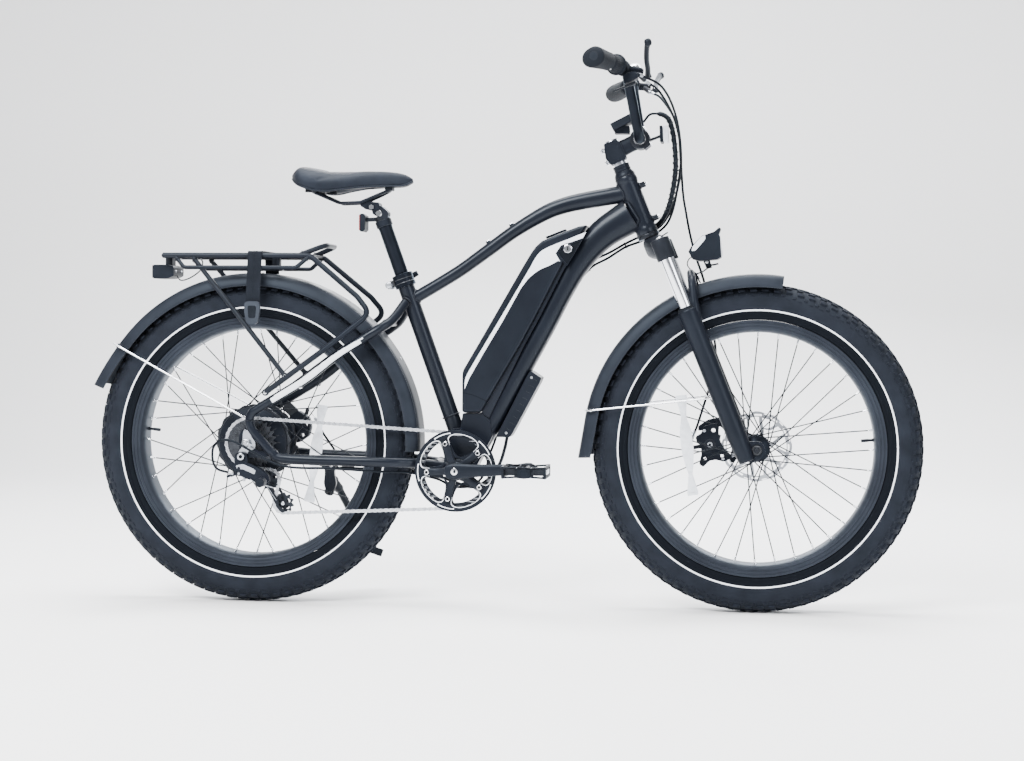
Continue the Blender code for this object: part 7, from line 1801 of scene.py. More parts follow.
for side, y0, sign in (("left", 0.206, 1), ("right", 0.258, -1)):
    shape, lock_ring, at, across = shaped_grip(y0, sign)
    emit("grip_rubber_" + side, shape, GRIP, "steering_head", "grip_" + side, sharp=60)
    emit("grip_lock_ring_" + side, lock_ring, ANODISED, "steering_head", slot="grip_rubber", sharp=30)
    down = (-STEER_AXIS - across * across.dot(-STEER_AXIS)).normalized()
    emit("grip_lock_bolt_" + side, hex_bolt(at + down * 0.0178, down, 0.0026, 0.0016), CHROME, "steering_head", slot="grip_rubber")
    end = side_point(bar_point(0.340), sign)
    emit("grip_end_plug_" + side, lathe([(0.0002, 0.0054), (0.0090, 0.0052), (0.0098, 0.0044)], end, across, 40), PLASTIC, "steering_head", slot="grip_rubber")
throttle_at = side_point(bar_point(0.206), -1)
throttle_end = side_point(bar_point(0.2565), -1)
twist = (throttle_end - throttle_at).normalized()
run = (throttle_end - throttle_at).length
barrel = lathe([(0.0116, 0.0), (0.0218, 0.0), (0.0230, 0.0010), (0.0230, 0.0040), (0.0222, 0.0052), (0.0196, 0.0066), (0.0186, 0.0090), (0.0182, run * 0.5), (0.0178, run - 0.0020), (0.0168, run), (0.0116, run)], throttle_at, twist, 72, ring=True, first=STEER_FORWARD)
emit("throttle_sleeve", barrel, GRIP, "twist_throttle", "throttle", sharp=35)
fins = []
side_dir = (STEER_FORWARD - twist * twist.dot(STEER_FORWARD)).normalized()
up_dir = twist.cross(side_dir)
for j in range(26):
    q = 2 * pi * j / 26
    out = side_dir * cos(q) + up_dir * sin(q)
    fins.append(strip([throttle_at + twist * 0.0130 + out * 0.0184, throttle_at + twist * (run - 0.0040) + out * 0.0179], 0.0006, 0.0009, ref=out.cross(twist)))
emit("throttle_ribs", merged(fins), GRIP, "twist_throttle", slot="grip_rubber", bevel=0.0003, segments=1)

# ---- brake levers, perches, shifter ----
LEVER_PIVOT = Vector((0.128, 0.146, 0.232))
for side, sign in (("left", 1), ("right", -1)):
    clamp_ring, a, b = sleeve(0.1525, 0.1675, sign, [(0.0116, 0.0), (0.0168, 0.0), (0.0175, 0.06), (0.0175, 0.94), (0.0168, 1.0), (0.0116, 1.0)])
    body_line = [side_point(Vector(p), sign) for p in ((0.0980, 0.1590, 0.2590), (0.1080, 0.1550, 0.2530), (0.1180, 0.1500, 0.2470), (0.1210, 0.1470, 0.2440))]
    arm = tube(smooth(body_line, 5), [(0.0066, 0.0088)] * 16, 28, ref=STEER_AXIS)
    barrel = tube([side_point(Vector((0.1125, 0.1480, 0.2465)), sign), side_point(Vector((0.1200, 0.1180, 0.2310)), sign)], 0.0058, 24, ref=STEER_AXIS)
    emit("perch_" + side, merged([clamp_ring, arm, barrel]), CAST, "steering_head", "brake_perch_" + side, sharp=38)
    direction = (side_point(Vector((0.1200, 0.1180, 0.2310)), sign) - side_point(Vector((0.1125, 0.1480, 0.2465)), sign)).normalized()
    tip = side_point(Vector((0.1200, 0.1180, 0.2310)), sign)
    adjuster = lathe([(0.0002, -0.001), (0.0052, -0.001), (0.0052, 0.0018), (0.0044, 0.0024), (0.0044, 0.0046), (0.0032, 0.0056), (0.0030, 0.0080), (0.0002, 0.0080)], tip, direction, 24)
    emit("cable_adjuster_" + side, adjuster, SILVER, "steering_head", slot="silver_alloy", sharp=35)
    under = side_point(bar_point(0.160), sign) - STEER_AXIS * 0.0168
    emit("perch_bolt_" + side, merged([hex_bolt(under - STEER_FORWARD * 0.006, -STEER_AXIS, 0.0034, 0.0030), hex_bolt(side_point(Vector((0.1215, 0.1465, 0.2478)), sign), STEER_AXIS, 0.0036, 0.0014)]), CHROME, "steering_head", slot="silver_alloy")
    pivot = side_point(LEVER_PIVOT, sign)
    blade = [(0.1300, 0.1460, 0.2320), (0.1360, 0.1760, 0.2420), (0.1410, 0.2150, 0.2560), (0.1500, 0.2620, 0.2710), (0.1560, 0.2860, 0.2770)]
    line = smooth([side_point(Vector(p), sign) for p in blade], 10)
    widths = [(0.0078 - 0.0008 * sin(pi * i / (len(line) - 1)), 0.0056) for i in range(len(line))]
    lever_shape = tube(line, widths, 28, ref=STEER_FORWARD)
    ball = lathe([(0.0006, -0.0082), (0.0046, -0.0076), (0.0070, -0.0050), (0.0080, -0.0014), (0.0080, 0.0014), (0.0070, 0.0050), (0.0046, 0.0076), (0.0006, 0.0082)], side_point(Vector((0.157, 0.290, 0.278)), sign), STEER_AXIS, 32)
    eye = lathe([(0.0020, -0.0060), (0.0060, -0.0060), (0.0066, -0.0052), (0.0066, 0.0042), (0.0060, 0.0050), (0.0020, 0.0050)], pivot + STEER_FORWARD * 0.0035, STEER_AXIS, 36, ring=True)
    emit("lever_blade_" + side, merged([lever_shape, ball, eye]), CAST, "lever_" + side, "brake_lever_" + side, sharp=45)
    emit("lever_pin_" + side, lathe([(0.0002, -0.0066), (0.0030, -0.0066), (0.0034, -0.0058), (0.0034, 0.0050), (0.0030, 0.0056), (0.0002, 0.0056)], pivot + STEER_FORWARD * 0.0035, STEER_AXIS, 24), CHROME, "lever_" + side, slot="silver_alloy")
pod = steer_plate([softened([(0.0780, 0.2300), (0.1100, 0.2300), (0.1110, 0.2440), (0.1020, 0.2480), (0.0800, 0.2480)], 1)], -0.1925, -0.1635)
emit("shifter_pod", merged([pod, box(S(0.0900, -0.168, 0.2495), (0.015, 0.018, 0.010), (STEER_FORWARD, Y, STEER_AXIS))]), PLASTIC, "steering_head", sharp=28, bevel=0.0032, segments=4, slot="plastic")
gauge = steer_plate([softened([(0.0820, 0.2450), (0.1040, 0.2440), (0.1040, 0.2486), (0.0830, 0.2494)], 1)], -0.1895, -0.1790)
emit("shifter_window", gauge, SCREEN, "steering_head", bevel=0.0008, slot="plastic")
emit("shifter_barrel", lathe([(0.0002, 0.0), (0.0044, 0.0), (0.0052, 0.0008), (0.0052, 0.0050), (0.0040, 0.0060), (0.0036, 0.0076), (0.0002, 0.0076)], S(0.1090, -0.178, 0.2380), STEER_FORWARD, 24), PLASTIC, "steering_head", slot="plastic", sharp=30)
shift_at = S(0.094, -0.178, 0.2270)
hub = lathe([(0.0002, -0.0052), (0.0070, -0.0052), (0.0080, -0.0044), (0.0080, 0.0000), (0.0072, 0.0005), (0.0002, 0.0005)], shift_at, STEER_AXIS, 40)
thumb = tube(smooth([S(0.0930, -0.178, 0.2245), S(0.0800, -0.1860, 0.2232), S(0.0660, -0.196, 0.2225), S(0.0520, -0.2055, 0.2215)], 6), [(0.0022, 0.0050 + 0.0010 * min(1, i / 12)) for i in range(19)], 28, ref=STEER_FORWARD.cross(STEER_AXIS))
emit("shift_lever_hub", merged([hub, thumb]), PLASTIC, "shifter", "shift_lever", sharp=40)

# ---- display and bell ----
display_at = S(0.0350, 0, 0.1660)
top_z = display_at + Z * 0.0085
SCREEN_X, SCREEN_UP = Vector((cos(radians(27)), 0, sin(radians(27)))), Vector((-sin(radians(27)), 0, cos(radians(27))))
case_shape = plate([softened([(-0.0250, -0.0330), (0.0250, -0.0330), (0.0250, 0.0330), (-0.0250, 0.0330)], 1)], -0.0085, 0.0085, lambda x, h, y: top_z + SCREEN_X * x + Y * y + SCREEN_UP * h)
emit("display_case", case_shape, PLASTIC, "steering_head", "display", sharp=28, bevel=0.0036, segments=4)
emit("display_foot", plate([softened([(-0.0165, -0.0165), (0.0165, -0.0165), (0.0165, 0.0165), (-0.0165, 0.0165)], 1)], -0.0098, 0.0070, lambda x, h, y: display_at + Vector((x, y, h - 0.0060))), PLASTIC, "steering_head", bevel=0.0026, segments=3, slot="plastic")
glass = plate([softened([(-0.0195, -0.0275), (0.0190, -0.0275), (0.0190, 0.0275), (-0.0195, 0.0275)], 1)], 0.0082, 0.0091, lambda x, h, y: top_z + SCREEN_X * x + Y * y + SCREEN_UP * h)
emit("display_glass", glass, SCREEN, "steering_head", bevel=0.0004, slot="plastic")
keys = [lathe([(0.0002, 0.0092), (0.0022, 0.0092), (0.0028, 0.0088), (0.0028, 0.0078)], top_z + SCREEN_X * -0.0222 + Y * y, SCREEN_UP, 20) for y in (-0.012, 0.0, 0.012)]
emit("display_keys", merged(keys), GRIP, "steering_head", slot="plastic")
bell_at = S(0.104, 0.112, 0.290)
dome = [(0.0150, 0.0006), (0.0168, 0.0000), (0.0171, 0.0006), (0.0169, 0.0030), (0.0160, 0.0068), (0.0140, 0.0102), (0.0110, 0.0128), (0.0070, 0.0144), (0.0030, 0.0150), (0.0003, 0.0151)]
emit("bell_dome", lathe(dome, bell_at, STEER_AXIS, 72), CHROME, "steering_head", "bell", sharp=60)
post_parts = [lathe([(0.0002, -0.0140), (0.0060, -0.0140), (0.0060, -0.0020), (0.0040, 0.0010), (0.0002, 0.0012)], bell_at, STEER_AXIS, 30), lathe([(0.0116, -0.0055), (0.0150, -0.0055), (0.0156, -0.0045), (0.0156, 0.0045), (0.0150, 0.0055), (0.0116, 0.0055)], S(0.0910, 0.1190, 0.2622), Y, 48, ring=True),
              strip([bell_at + STEER_FORWARD * 0.004 - STEER_AXIS * 0.004, bell_at + STEER_FORWARD * 0.0190 - STEER_AXIS * 0.0030], 0.0014, 0.0036)]
emit("bell_base", merged(post_parts), PLASTIC, "steering_head", sharp=35, slot="chrome")

# ---- seat collar, quick release, seatpost, rails ----
SEAT_FORWARD = Vector((SEAT_AXIS.z, 0, -SEAT_AXIS.x))
collar_at = SEAT_FOOT + SEAT_AXIS * 0.3640
band = lathe([(0.0197, -0.0220), (0.0228, -0.0220), (0.0240, -0.0210), (0.0240, -0.0130), (0.0234, -0.0120), (0.0234, -0.0040), (0.0240, -0.0030), (0.0240, 0.0070), (0.0230, 0.0080), (0.0166, 0.0080), (0.0166, 0.0064), (0.0197, 0.0062)], collar_at, SEAT_AXIS, 72, ring=True)
ears = []
for s in (1, -1):
    ears.append(box(collar_at - SEAT_FORWARD * 0.0300 - SEAT_AXIS * 0.007 + Y * (s * 0.0075), (0.0180, 0.0105, 0.0155), (SEAT_FORWARD, Y, SEAT_AXIS)))
emit("seat_collar_band", merged([band, *ears]), ANODISED, "frame", "seat_collar", sharp=32, bevel=0.0010, segments=2)
qr = collar_at - SEAT_FORWARD * 0.034 - SEAT_AXIS * 0.007
nut = lathe([(0.0030, -0.0130), (0.0070, -0.0130), (0.0080, -0.0145), (0.0080, -0.0205), (0.0066, -0.0222), (0.0040, -0.0228), (0.0002, -0.0228)], qr, Y, 12)
emit("seat_collar_nut", merged([nut, lathe([(0.0030, -0.0125), (0.0078, -0.0125), (0.0078, -0.0134), (0.0030, -0.0134)], qr, Y, 36, ring=True)]), SILVER, "frame", slot="silver_alloy", bevel=0.0005, sharp=30)
cam = lathe([(0.0030, 0.0166), (0.0078, 0.0166), (0.0085, 0.0175), (0.0085, 0.0262), (0.0076, 0.0270), (0.0002, 0.0270)], qr, Y, 48)
handle = smooth([qr + Y * 0.021 + SEAT_FORWARD * 0.002, qr + Y * 0.0235 + SEAT_FORWARD * 0.014, qr + Y * 0.0280 + SEAT_FORWARD * 0.038 + SEAT_AXIS * 0.0035, qr + Y * 0.0290 + SEAT_FORWARD * 0.056 + SEAT_AXIS * 0.0065, qr + Y * 0.0288 + SEAT_FORWARD * 0.0655 + SEAT_AXIS * 0.0080], 8)
widths = [(0.0058 + 0.0010 * sin(pi * i / (len(handle) - 1)), 0.0024) for i in range(len(handle))]
emit("quick_release_lever", merged([cam, tube(handle, widths, 28, ref=Y)]), ANODISED, "qr_lever", "seat_qr_lever", sharp=40)

post_low, post_high = SEAT_FOOT + SEAT_AXIS * 0.150, SEAT_FOOT + SEAT_AXIS * 0.512
tube_post = lathe([(0.0138, 0.0), (0.0154, 0.0), (SEATPOST_R, 0.0006), (SEATPOST_R, (post_high - post_low).length - 0.030), (0.0162, (post_high - post_low).length - 0.029), (0.0165, (post_high - post_low).length - 0.026), (0.0165, (post_high - post_low).length), (0.0150, (post_high - post_low).length + 0.0015), (0.0004, (post_high - post_low).length + 0.0015)], post_low, SEAT_AXIS, 64)
emit("seatpost_tube", tube_post, ANODISED, "seat", "seatpost", sharp=35)
ticks = [ring_bead(post_low + SEAT_AXIS * d, SEAT_AXIS, SEATPOST_R - 0.0001, 0.0003, 10) for d in (0.0700, 0.0730)]
emit("seatpost_minimum_marks", merged(ticks), PALE, "seat", slot="black_alloy")
head_line = softened([(0.3035, 0.8740), (0.3085, 0.8940), (0.2940, 0.9080), (0.2760, 0.9120), (0.2690, 0.9030), (0.2720, 0.8900)], 2)
emit("seatpost_head", prism(head_line, -0.0165, 0.0165), CAST, "seat", sharp=28, bevel=0.0030, segments=3, slot="black_alloy")
clamp_line = softened([(0.2530, 0.9020), (0.2860, 0.8960), (0.2900, 0.9020), (0.2860, 0.9170), (0.2600, 0.9180), (0.2520, 0.9115)], 1)
emit("seat_clamp_middle", prism(clamp_line, -0.0180, 0.0180), CAST, "seat", sharp=28, bevel=0.0024, segments=3, slot="black_alloy")
clamp_parts = []
for s in (1, -1):
    clamp_parts.append(plate([softened([(0.2440, 0.9080), (0.2580, 0.9010), (0.2840, 0.8990), (0.2890, 0.9060), (0.2860, 0.9160), (0.2640, 0.9200), (0.2460, 0.9180)], 2)], *sorted((s * 0.0180, s * 0.0196))))
emit("seat_clamp_cheeks", merged(clamp_parts), CAST, "seat", sharp=30, bevel=0.0006, slot="black_alloy")
nuts = [rod((0.2700, -0.0215, 0.9060), (0.2700, 0.0215, 0.9060), 0.0040, 24), lathe([(0.0002, -0.0240), (0.0060, -0.0240), (0.0068, -0.0230), (0.0068, -0.0196), (0.0002, -0.0196)], Vector((0.2700, 0, 0.9060)), Y, 6), lathe([(0.0002, 0.0240), (0.0060, 0.0240), (0.0068, 0.0230), (0.0068, 0.0196), (0.0002, 0.0196)], Vector((0.2700, 0, 0.9060)), Y, 6),
        lathe([(0.0002, -0.0192), (0.0062, -0.0192), (0.0074, -0.0180), (0.0074, -0.0160), (0.0002, -0.0160)], Vector((0.2860, 0, 0.8920)), Y, 30)]
emit("seat_clamp_bolts", merged(nuts), CHROME, "seat", slot="silver_alloy", sharp=35)

# rear reflector on the seatpost
emit("rear_reflector_arm", merged([strip([(0.2840, 0, 0.8790), (0.2510, 0, 0.8780)], 0.0045, 0.0060), lathe([(0.0158, -0.0075), (0.0182, -0.0075), (0.0188, -0.0066), (0.0188, 0.0066), (0.0182, 0.0075), (0.0158, 0.0075)], SEAT_FOOT + SEAT_AXIS * 0.4950, SEAT_AXIS, 56, ring=True)]), PLASTIC, "seat", sharp=30, bevel=0.0008, slot="plastic")
emit("rear_reflector_case", prism(softened([(0.2435, 0.8510), (0.2500, 0.8500), (0.2550, 0.8550), (0.2555, 0.8870), (0.2500, 0.8915), (0.2435, 0.8905)], 1), -0.0225, 0.0225), PLASTIC, "seat", sharp=28, bevel=0.0020, segments=3, slot="plastic")
emit("rear_reflector_lens", prism(softened([(0.2412, 0.8535), (0.2438, 0.8525), (0.2438, 0.8895), (0.2412, 0.8885)], 1), -0.0205, 0.0205), RED, "seat", sharp=28, bevel=0.0008, slot="red_lens")
cells = []
for row in range(6):
    for col in range(7):
        cells.append(lathe([(0.0001, 0.0009), (0.0016, 0.0006), (0.0026, 0.0)], Vector((0.2412, -0.0174 + 0.0058 * col, 0.8565 + 0.0058 * row)), -X, 6))
emit("rear_reflector_cells", merged(cells), RED, "seat", slot="red_lens", sharp=20)

RAIL = [(0.118, 0.043, 0.9540), (0.138, 0.040, 0.9400), (0.196, 0.0235, 0.9150), (0.245, 0.0228, 0.9170), (0.285, 0.0205, 0.9340), (0.305, 0.0130, 0.9430), (0.311, 0.0, 0.9450)]
rail_path = rounded(RAIL + [(x, -y, z) for x, y, z in reversed(RAIL[:-1])], 0.020, 6)
emit("saddle_rail_bar", tube(rail_path, 0.0035, 24, ref=Z), SATIN, "seat", "saddle_rails", sharp=50)

# ---- saddle ----
SADDLE = [(0.0905, 0.050, 0.986, 0.966, 0.970), (0.105, 0.078, 0.999, 0.953, 0.965), (0.123, 0.088, 1.000, 0.944, 0.964), (0.150, 0.087, 0.994, 0.937, 0.962), (0.178, 0.074, 0.988, 0.936, 0.958),
          (0.215, 0.053, 0.988, 0.942, 0.954), (0.255, 0.038, 0.991, 0.947, 0.954), (0.300, 0.028, 0.991, 0.949, 0.953), (0.340, 0.023, 0.986, 0.951, 0.954), (0.3640, 0.010, 0.974, 0.961, 0.962)]
smooth_rows = smooth([Vector((x, w, top)) for x, w, top, skirt, under in SADDLE], 6)
smooth_lows = smooth([Vector((x, skirt, under)) for x, w, top, skirt, under in SADDLE], 6)


def saddle_section(row, low, grow=0.0):
    """One slice of the padded cover: a crown with a shallow centre groove, full sides, a turned-in skirt."""
    x, w, top = row
    skirt, under = low.y, low.z
    w = max(0.004, w - 0.0035) + grow
    top, skirt = top - 0.0035 + grow, skirt + 0.0030 - grow
    h = max(0.004, top - skirt)
    rear = max(0.0, min(1.0, (0.240 - x) / 0.12))
    half = [(0.0, top - 0.0018 * rear), (0.16, top - 0.0006 * rear), (0.34, top - h * 0.008), (0.55, top - h * 0.045), (0.74, top - h * 0.14), (0.88, top - h * 0.29), (0.965, top - h * 0.48), (1.0, top - h * 0.68), (0.985, top - h * 0.86), (0.945, skirt)]
    inner = [(0.86, skirt + 0.0012), (0.70, skirt + 0.0035), (0.50, under - 0.0005), (0.25, under + 0.0005), (0.0, under + 0.0008)]
    line = half + inner
    points = [Vector((x, w * a, z)) for a, z in line]
    return points + [Vector((x, -p.y, p.z)) for p in reversed(points[1:-1])]


cover = rings([saddle_section(r, l) for r, l in zip(smooth_rows, smooth_lows)])
saddle = emit("saddle_cover", cover, LEATHER, "seat", "saddle", sharp=70)
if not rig.quick():
    step = saddle.modifiers.new("remesh", "REMESH")
    step.mode, step.voxel_size, step.use_smooth_shade = "VOXEL", 0.0045, True
    graph = bpy.context.evaluated_depsgraph_get()
    held = bpy.data.meshes.new_from_object(saddle.evaluated_get(graph))
    saddle.modifiers.clear()
    saddle.data = held
    rest = [v.co.copy() for v in held.vertices]
    pins = saddle.vertex_groups.new(name="held")
    for v in held.vertices:
        x, y, z = v.co - SHIFT
        row = min(range(len(smooth_rows)), key=lambda i: abs(smooth_rows[i].x - x))
        skirt = smooth_lows[row].y
        share = 1.0 if z < skirt + 0.007 else max(0.0, 1.0 - (z - skirt - 0.007) / 0.006)
        if share > 0:
            pins.add([v.index], share, "REPLACE")
    soft = saddle.modifiers.new("cloth", "CLOTH")
    soft.settings.quality = 6
    soft.settings.mass = 0.25
    soft.settings.tension_stiffness = soft.settings.compression_stiffness = 18
    soft.settings.shear_stiffness, soft.settings.bending_stiffness = 6, 0.8
    soft.settings.use_pressure, soft.settings.uniform_pressure_force = True, 4.0
    soft.settings.vertex_group_mass = "held"
    soft.settings.effector_weights.gravity = 0.0
    soft.collision_settings.use_collision = False
    soft.collision_settings.use_self_collision = False
    soft.point_cache.frame_start, soft.point_cache.frame_end = 1, 20
    scene = bpy.context.scene
    for number in range(1, 21):
        scene.frame_set(number)
    graph = bpy.context.evaluated_depsgraph_get()
    settled = bpy.data.meshes.new_from_object(saddle.evaluated_get(graph))
    saddle.modifiers.clear()
    scene.frame_set(1)
    for v, home in zip(settled.vertices, rest):
        shift = v.co - home
        if shift.length > 0.0032:
            v.co = home + shift.normalized() * 0.0032
    settled.materials.clear()
    settled.materials.append(LEATHER)
    settled.shade_smooth()
    saddle.data = settled
    fine = saddle.modifiers.new("fine", "SUBSURF")
    fine.levels = fine.render_levels = 1
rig.padded(saddle, 0.9)
# the welt along the lower edge, the shell under the padding
welt = []
for r, l in zip(smooth_rows, smooth_lows):
    welt.append(Vector((r.x, max(0.004, r.y - 0.0035) * 0.968, l.y + 0.0042)))
welt = welt[1:-1]
loop = welt + [Vector((p.x, -p.y, p.z)) for p in reversed(welt)]
emit("saddle_welt", tube(loop, 0.0019, 14, ref=Z, closed=True), LEATHER, "seat", sharp=60, slot="saddle_skin")
base_rows = []
for r, l in list(zip(smooth_rows, smooth_lows))[3:-3]:
    w = (r.y - 0.0035) * 0.80
    base_rows.append([Vector((r.x, w, l.y + 0.0060)), Vector((r.x, w * 0.5, l.z - 0.0010)), Vector((r.x, -w * 0.5, l.z - 0.0010)), Vector((r.x, -w, l.y + 0.0060)), Vector((r.x, -w, l.y + 0.0090)), Vector((r.x, -w * 0.5, l.z + 0.0015)), Vector((r.x, w * 0.5, l.z + 0.0015)), Vector((r.x, w, l.y + 0.0090))])
emit("saddle_base_shell", rings(base_rows), PLASTIC, "seat", sharp=40, slot="plastic")
sockets = [box((0.126, s * 0.0420, 0.9530), (0.020, 0.014, 0.0100)) for s in (1, -1)] + [box((0.308, 0, 0.9480), (0.018, 0.030, 0.0080))]
emit("saddle_rail_sockets", merged(sockets), PLASTIC, "seat", bevel=0.0018, segments=2, slot="plastic")
coils = []
for s in (1, -1):
    for k, (x, y) in enumerate(((0.135, 0.052), (0.165, 0.040))):
        coils.append(lathe([(0.0040, -0.0170), (0.0110, -0.0170), (0.0125, -0.0150), (0.0110, -0.0120), (0.0125, -0.0090), (0.0110, -0.0060), (0.0125, -0.0030), (0.0100, 0.0), (0.0040, 0.0)], Vector((x, s * y, 0.9550)), Z, 28, ring=True))
emit("saddle_elastomers", merged(coils), GRIP, "seat", sharp=40, slot="plastic")

# ---- kickstand ----
foot = Vector((0.234, 0.210, 0.102))
away = foot - STAND_PIVOT
away = (away - STAND_AXIS * away.dot(STAND_AXIS)).normalized()
leg_line = rounded([STAND_PIVOT + STAND_AXIS * 0.0095, STAND_PIVOT + STAND_AXIS * 0.0090 + away * 0.030, Vector((0.205, 0.172, 0.155)), foot], 0.022, 8)
eye = lathe([(0.0042, 0.0004), (0.0108, 0.0004), (0.0115, 0.0012), (0.0115, 0.0176), (0.0108, 0.0185), (0.0042, 0.0185)], STAND_PIVOT, STAND_AXIS, 44, ring=True)
pin = lathe([(0.0002, -0.0180), (0.0040, -0.0180), (0.0040, 0.0190), (0.0072, 0.0190), (0.0078, 0.0198), (0.0070, 0.0216), (0.0030, 0.0222), (0.0028, 0.0206), (0.0002, 0.0206)], STAND_PIVOT, STAND_AXIS, 32)
emit("kickstand_arm", merged([eye, tube(leg_line, [0.0118 - 0.0038 * min(1.0, 1.6 * i / (len(leg_line) - 1)) for i in range(len(leg_line))], 32, ref=X)]), SATIN, "kickstand", "kickstand_leg", sharp=45)
emit("kickstand_pin", pin, STEEL, "kickstand", slot="steel", sharp=30)
fa, fb, fc = Vector((0.75, 0.55, -0.36)).normalized(), Vector((-0.59, 0.80, 0.0)).normalized(), Vector((0.29, 0.215, 0.93)).normalized()
foot_at = Vector((0.2385, 0.2160, 0.0930))
sole = plate([softened([(-0.0150, -0.0100), (0.0150, -0.0100), (0.0150, 0.0100), (-0.0150, 0.0100)], 2), softened([(-0.0085, -0.0022), (0.0085, -0.0022), (0.0085, 0.0022), (-0.0085, 0.0022)], 2)], -0.0090, 0.0085, lambda a, h, b: foot_at + fa * a + fb * b + fc * h)
emit("kickstand_foot", sole, GRIP, "kickstand", slot="satin_black", sharp=30, bevel=0.0022, segments=3)
spring_line = []
for k in range(181):
    t = k / 180
    base = STAND_PIVOT - STAND_AXIS * 0.0040 + away * (0.0150 + 0.0340 * t) + STAND_AXIS * (0.0040 * t)
    turn = 2 * pi * 11 * t
    spring_line.append(base + away.cross(STAND_AXIS) * (0.0030 * cos(turn)) + STAND_AXIS * (0.0030 * sin(turn) - 0.0100))

# ---- brake calipers ----
def caliper(frame_of, outline, windows, y0, y1, slot_y):
    """A cast body with a groove for the disc: two halves and a bridge outside the disc's edge."""
    lo, hi = sorted((y0, y1))
    a, b = sorted(slot_y)
    low_half = plate([outline, *windows], lo, a, frame_of)
    high_half = plate([outline, *windows], b, hi, frame_of)
    return low_half, high_half, (a, b)


rear_line = softened([(0.0580, 0.3760), (0.0820, 0.3600), (0.1080, 0.3780), (0.1125, 0.3980), (0.1080, 0.4200), (0.0840, 0.4370), (0.0640, 0.4240), (0.0540, 0.4000)], 2)
half_in, half_out, _ = caliper(None, rear_line, [circle(0.0935, 0.3800, 0.0048, 20), circle(0.0760, 0.3745, 0.0036, 18), circle(0.1020, 0.4040, 0.0042, 18)], 0.0530, 0.0798, (0.0565, 0.0635))
bridge_points = []
for k in range(15):
    a = 16 + 42 * k / 14
    bridge_points.append([at_angle(REAR, r, a, y) for r, y in ((0.0838, 0.0560), (0.0838, 0.0640), (0.1080, 0.0640), (0.1080, 0.0560))])
emit("rear_caliper_body", merged([half_in, half_out]), CAST, "frame", "rear_caliper", sharp=28, bevel=0.0030, segments=3)
inside_bridge = [ring for ring in bridge_points if ring]
emit("rear_caliper_bridge", rings(inside_bridge), CAST, "frame", sharp=30, slot="black_alloy")
rear_arm = Vector((0.090, 0.0803, 0.400))
turret = lathe([(0.0030, 0.0003), (0.0078, 0.0003), (0.0080, 0.0012), (0.0080, 0.0056), (0.0070, 0.0065), (0.0030, 0.0065)], rear_arm, Y, 40, ring=True)
lever_bar = strip(rounded([rear_arm + Y * 0.0035, rear_arm + Y * 0.0035 + Vector((0.003, 0, 0.018)), rear_arm + Y * 0.0035 + Vector((0.0100, 0, 0.0400))], 0.006, 4), 0.0044, 0.0019)
emit("rear_caliper_lever", merged([turret, lever_bar]), CAST, "rear_brake_arm", "rear_caliper_arm", sharp=35, bevel=0.0005)
emit("rear_caliper_lever_bolts", merged([hex_bolt(rear_arm + Y * 0.0060, Y, 0.0044, 0.0022), hex_bolt(rear_arm + Vector((0.0090, 0.0054, 0.0360)), Y, 0.0032, 0.0016)]), CHROME, "rear_brake_arm", slot="silver_alloy")
rear_fix = [hex_bolt((x, 0.0795, z), Y, 0.0040, 0.0034) for x, z in ((0.0640, 0.3850), (0.0700, 0.4260))]
rear_bracket = plate([softened([(0.0280, 0.3800), (0.0560, 0.3700), (0.0720, 0.3780), (0.0800, 0.4280), (0.0680, 0.4360), (0.0560, 0.4160), (0.0300, 0.3980)], 2)], 0.0820, 0.0872)
emit("rear_caliper_bracket", rear_bracket, SILVER, "frame", sharp=30, bevel=0.0010, segments=2, slot="silver_alloy")
emit("rear_caliper_bolts", merged(rear_fix), STEEL, "frame", slot="steel")

front_line = softened([(-0.0080, -0.5330), (-0.0430, -0.5280), (-0.0560, -0.5420), (-0.0700, -0.5440), (-0.0720, -0.5580), (-0.0660, -0.5660), (-0.0720, -0.5860), (-0.0850, -0.6040), (-0.0790, -0.6140), (-0.0600, -0.6060), (-0.0460, -0.6090), (-0.0300, -0.6200), (-0.0080, -0.6180), (-0.0180, -0.5980), (-0.0220, -0.5760), (-0.0190, -0.5560)], 2)
to_steer = lambda v, y, w: S(v, y, w)
half_in, half_out, _ = caliper(to_steer, front_line, [circle(-0.0270, -0.5450, 0.0050, 20), circle(-0.0300, -0.6060, 0.0046, 20), circle(-0.0680, -0.5980, 0.0040, 18)], 0.0402, 0.0718, (0.0495, 0.0560))
emit("front_caliper_body", merged([half_in, half_out]), CAST, "lowers", "front_caliper", sharp=28, bevel=0.0030, segments=3)
front_bridge = []
for k in range(15):
    a = 141 + 33 * k / 14
    front_bridge.append([FRONT + (STEER_FORWARD * cos(radians(a)) + STEER_AXIS * sin(radians(a))) * r + Y * y for r, y in ((0.0838, 0.0490), (0.0838, 0.0565), (0.1080, 0.0565), (0.1080, 0.0490))])
emit("front_caliper_bridge", rings(front_bridge), CAST, "lowers", sharp=30, slot="black_alloy")
front_arm = S(-0.046, 0.0723, -0.572)
turret = lathe([(0.0030, 0.0003), (0.0078, 0.0003), (0.0080, 0.0012), (0.0080, 0.0056), (0.0070, 0.0065), (0.0030, 0.0065)], front_arm, Y, 40, ring=True)
lever_bar = strip(rounded([front_arm + Y * 0.0035, front_arm + Y * 0.0035 - STEER_FORWARD * 0.018 + STEER_AXIS * 0.001, front_arm + Y * 0.0035 - STEER_FORWARD * 0.040 + STEER_AXIS * 0.006], 0.006, 4), 0.0044, 0.0019)
emit("front_caliper_lever", merged([turret, lever_bar]), CAST, "front_brake_arm", "front_caliper_arm", sharp=35, bevel=0.0005)
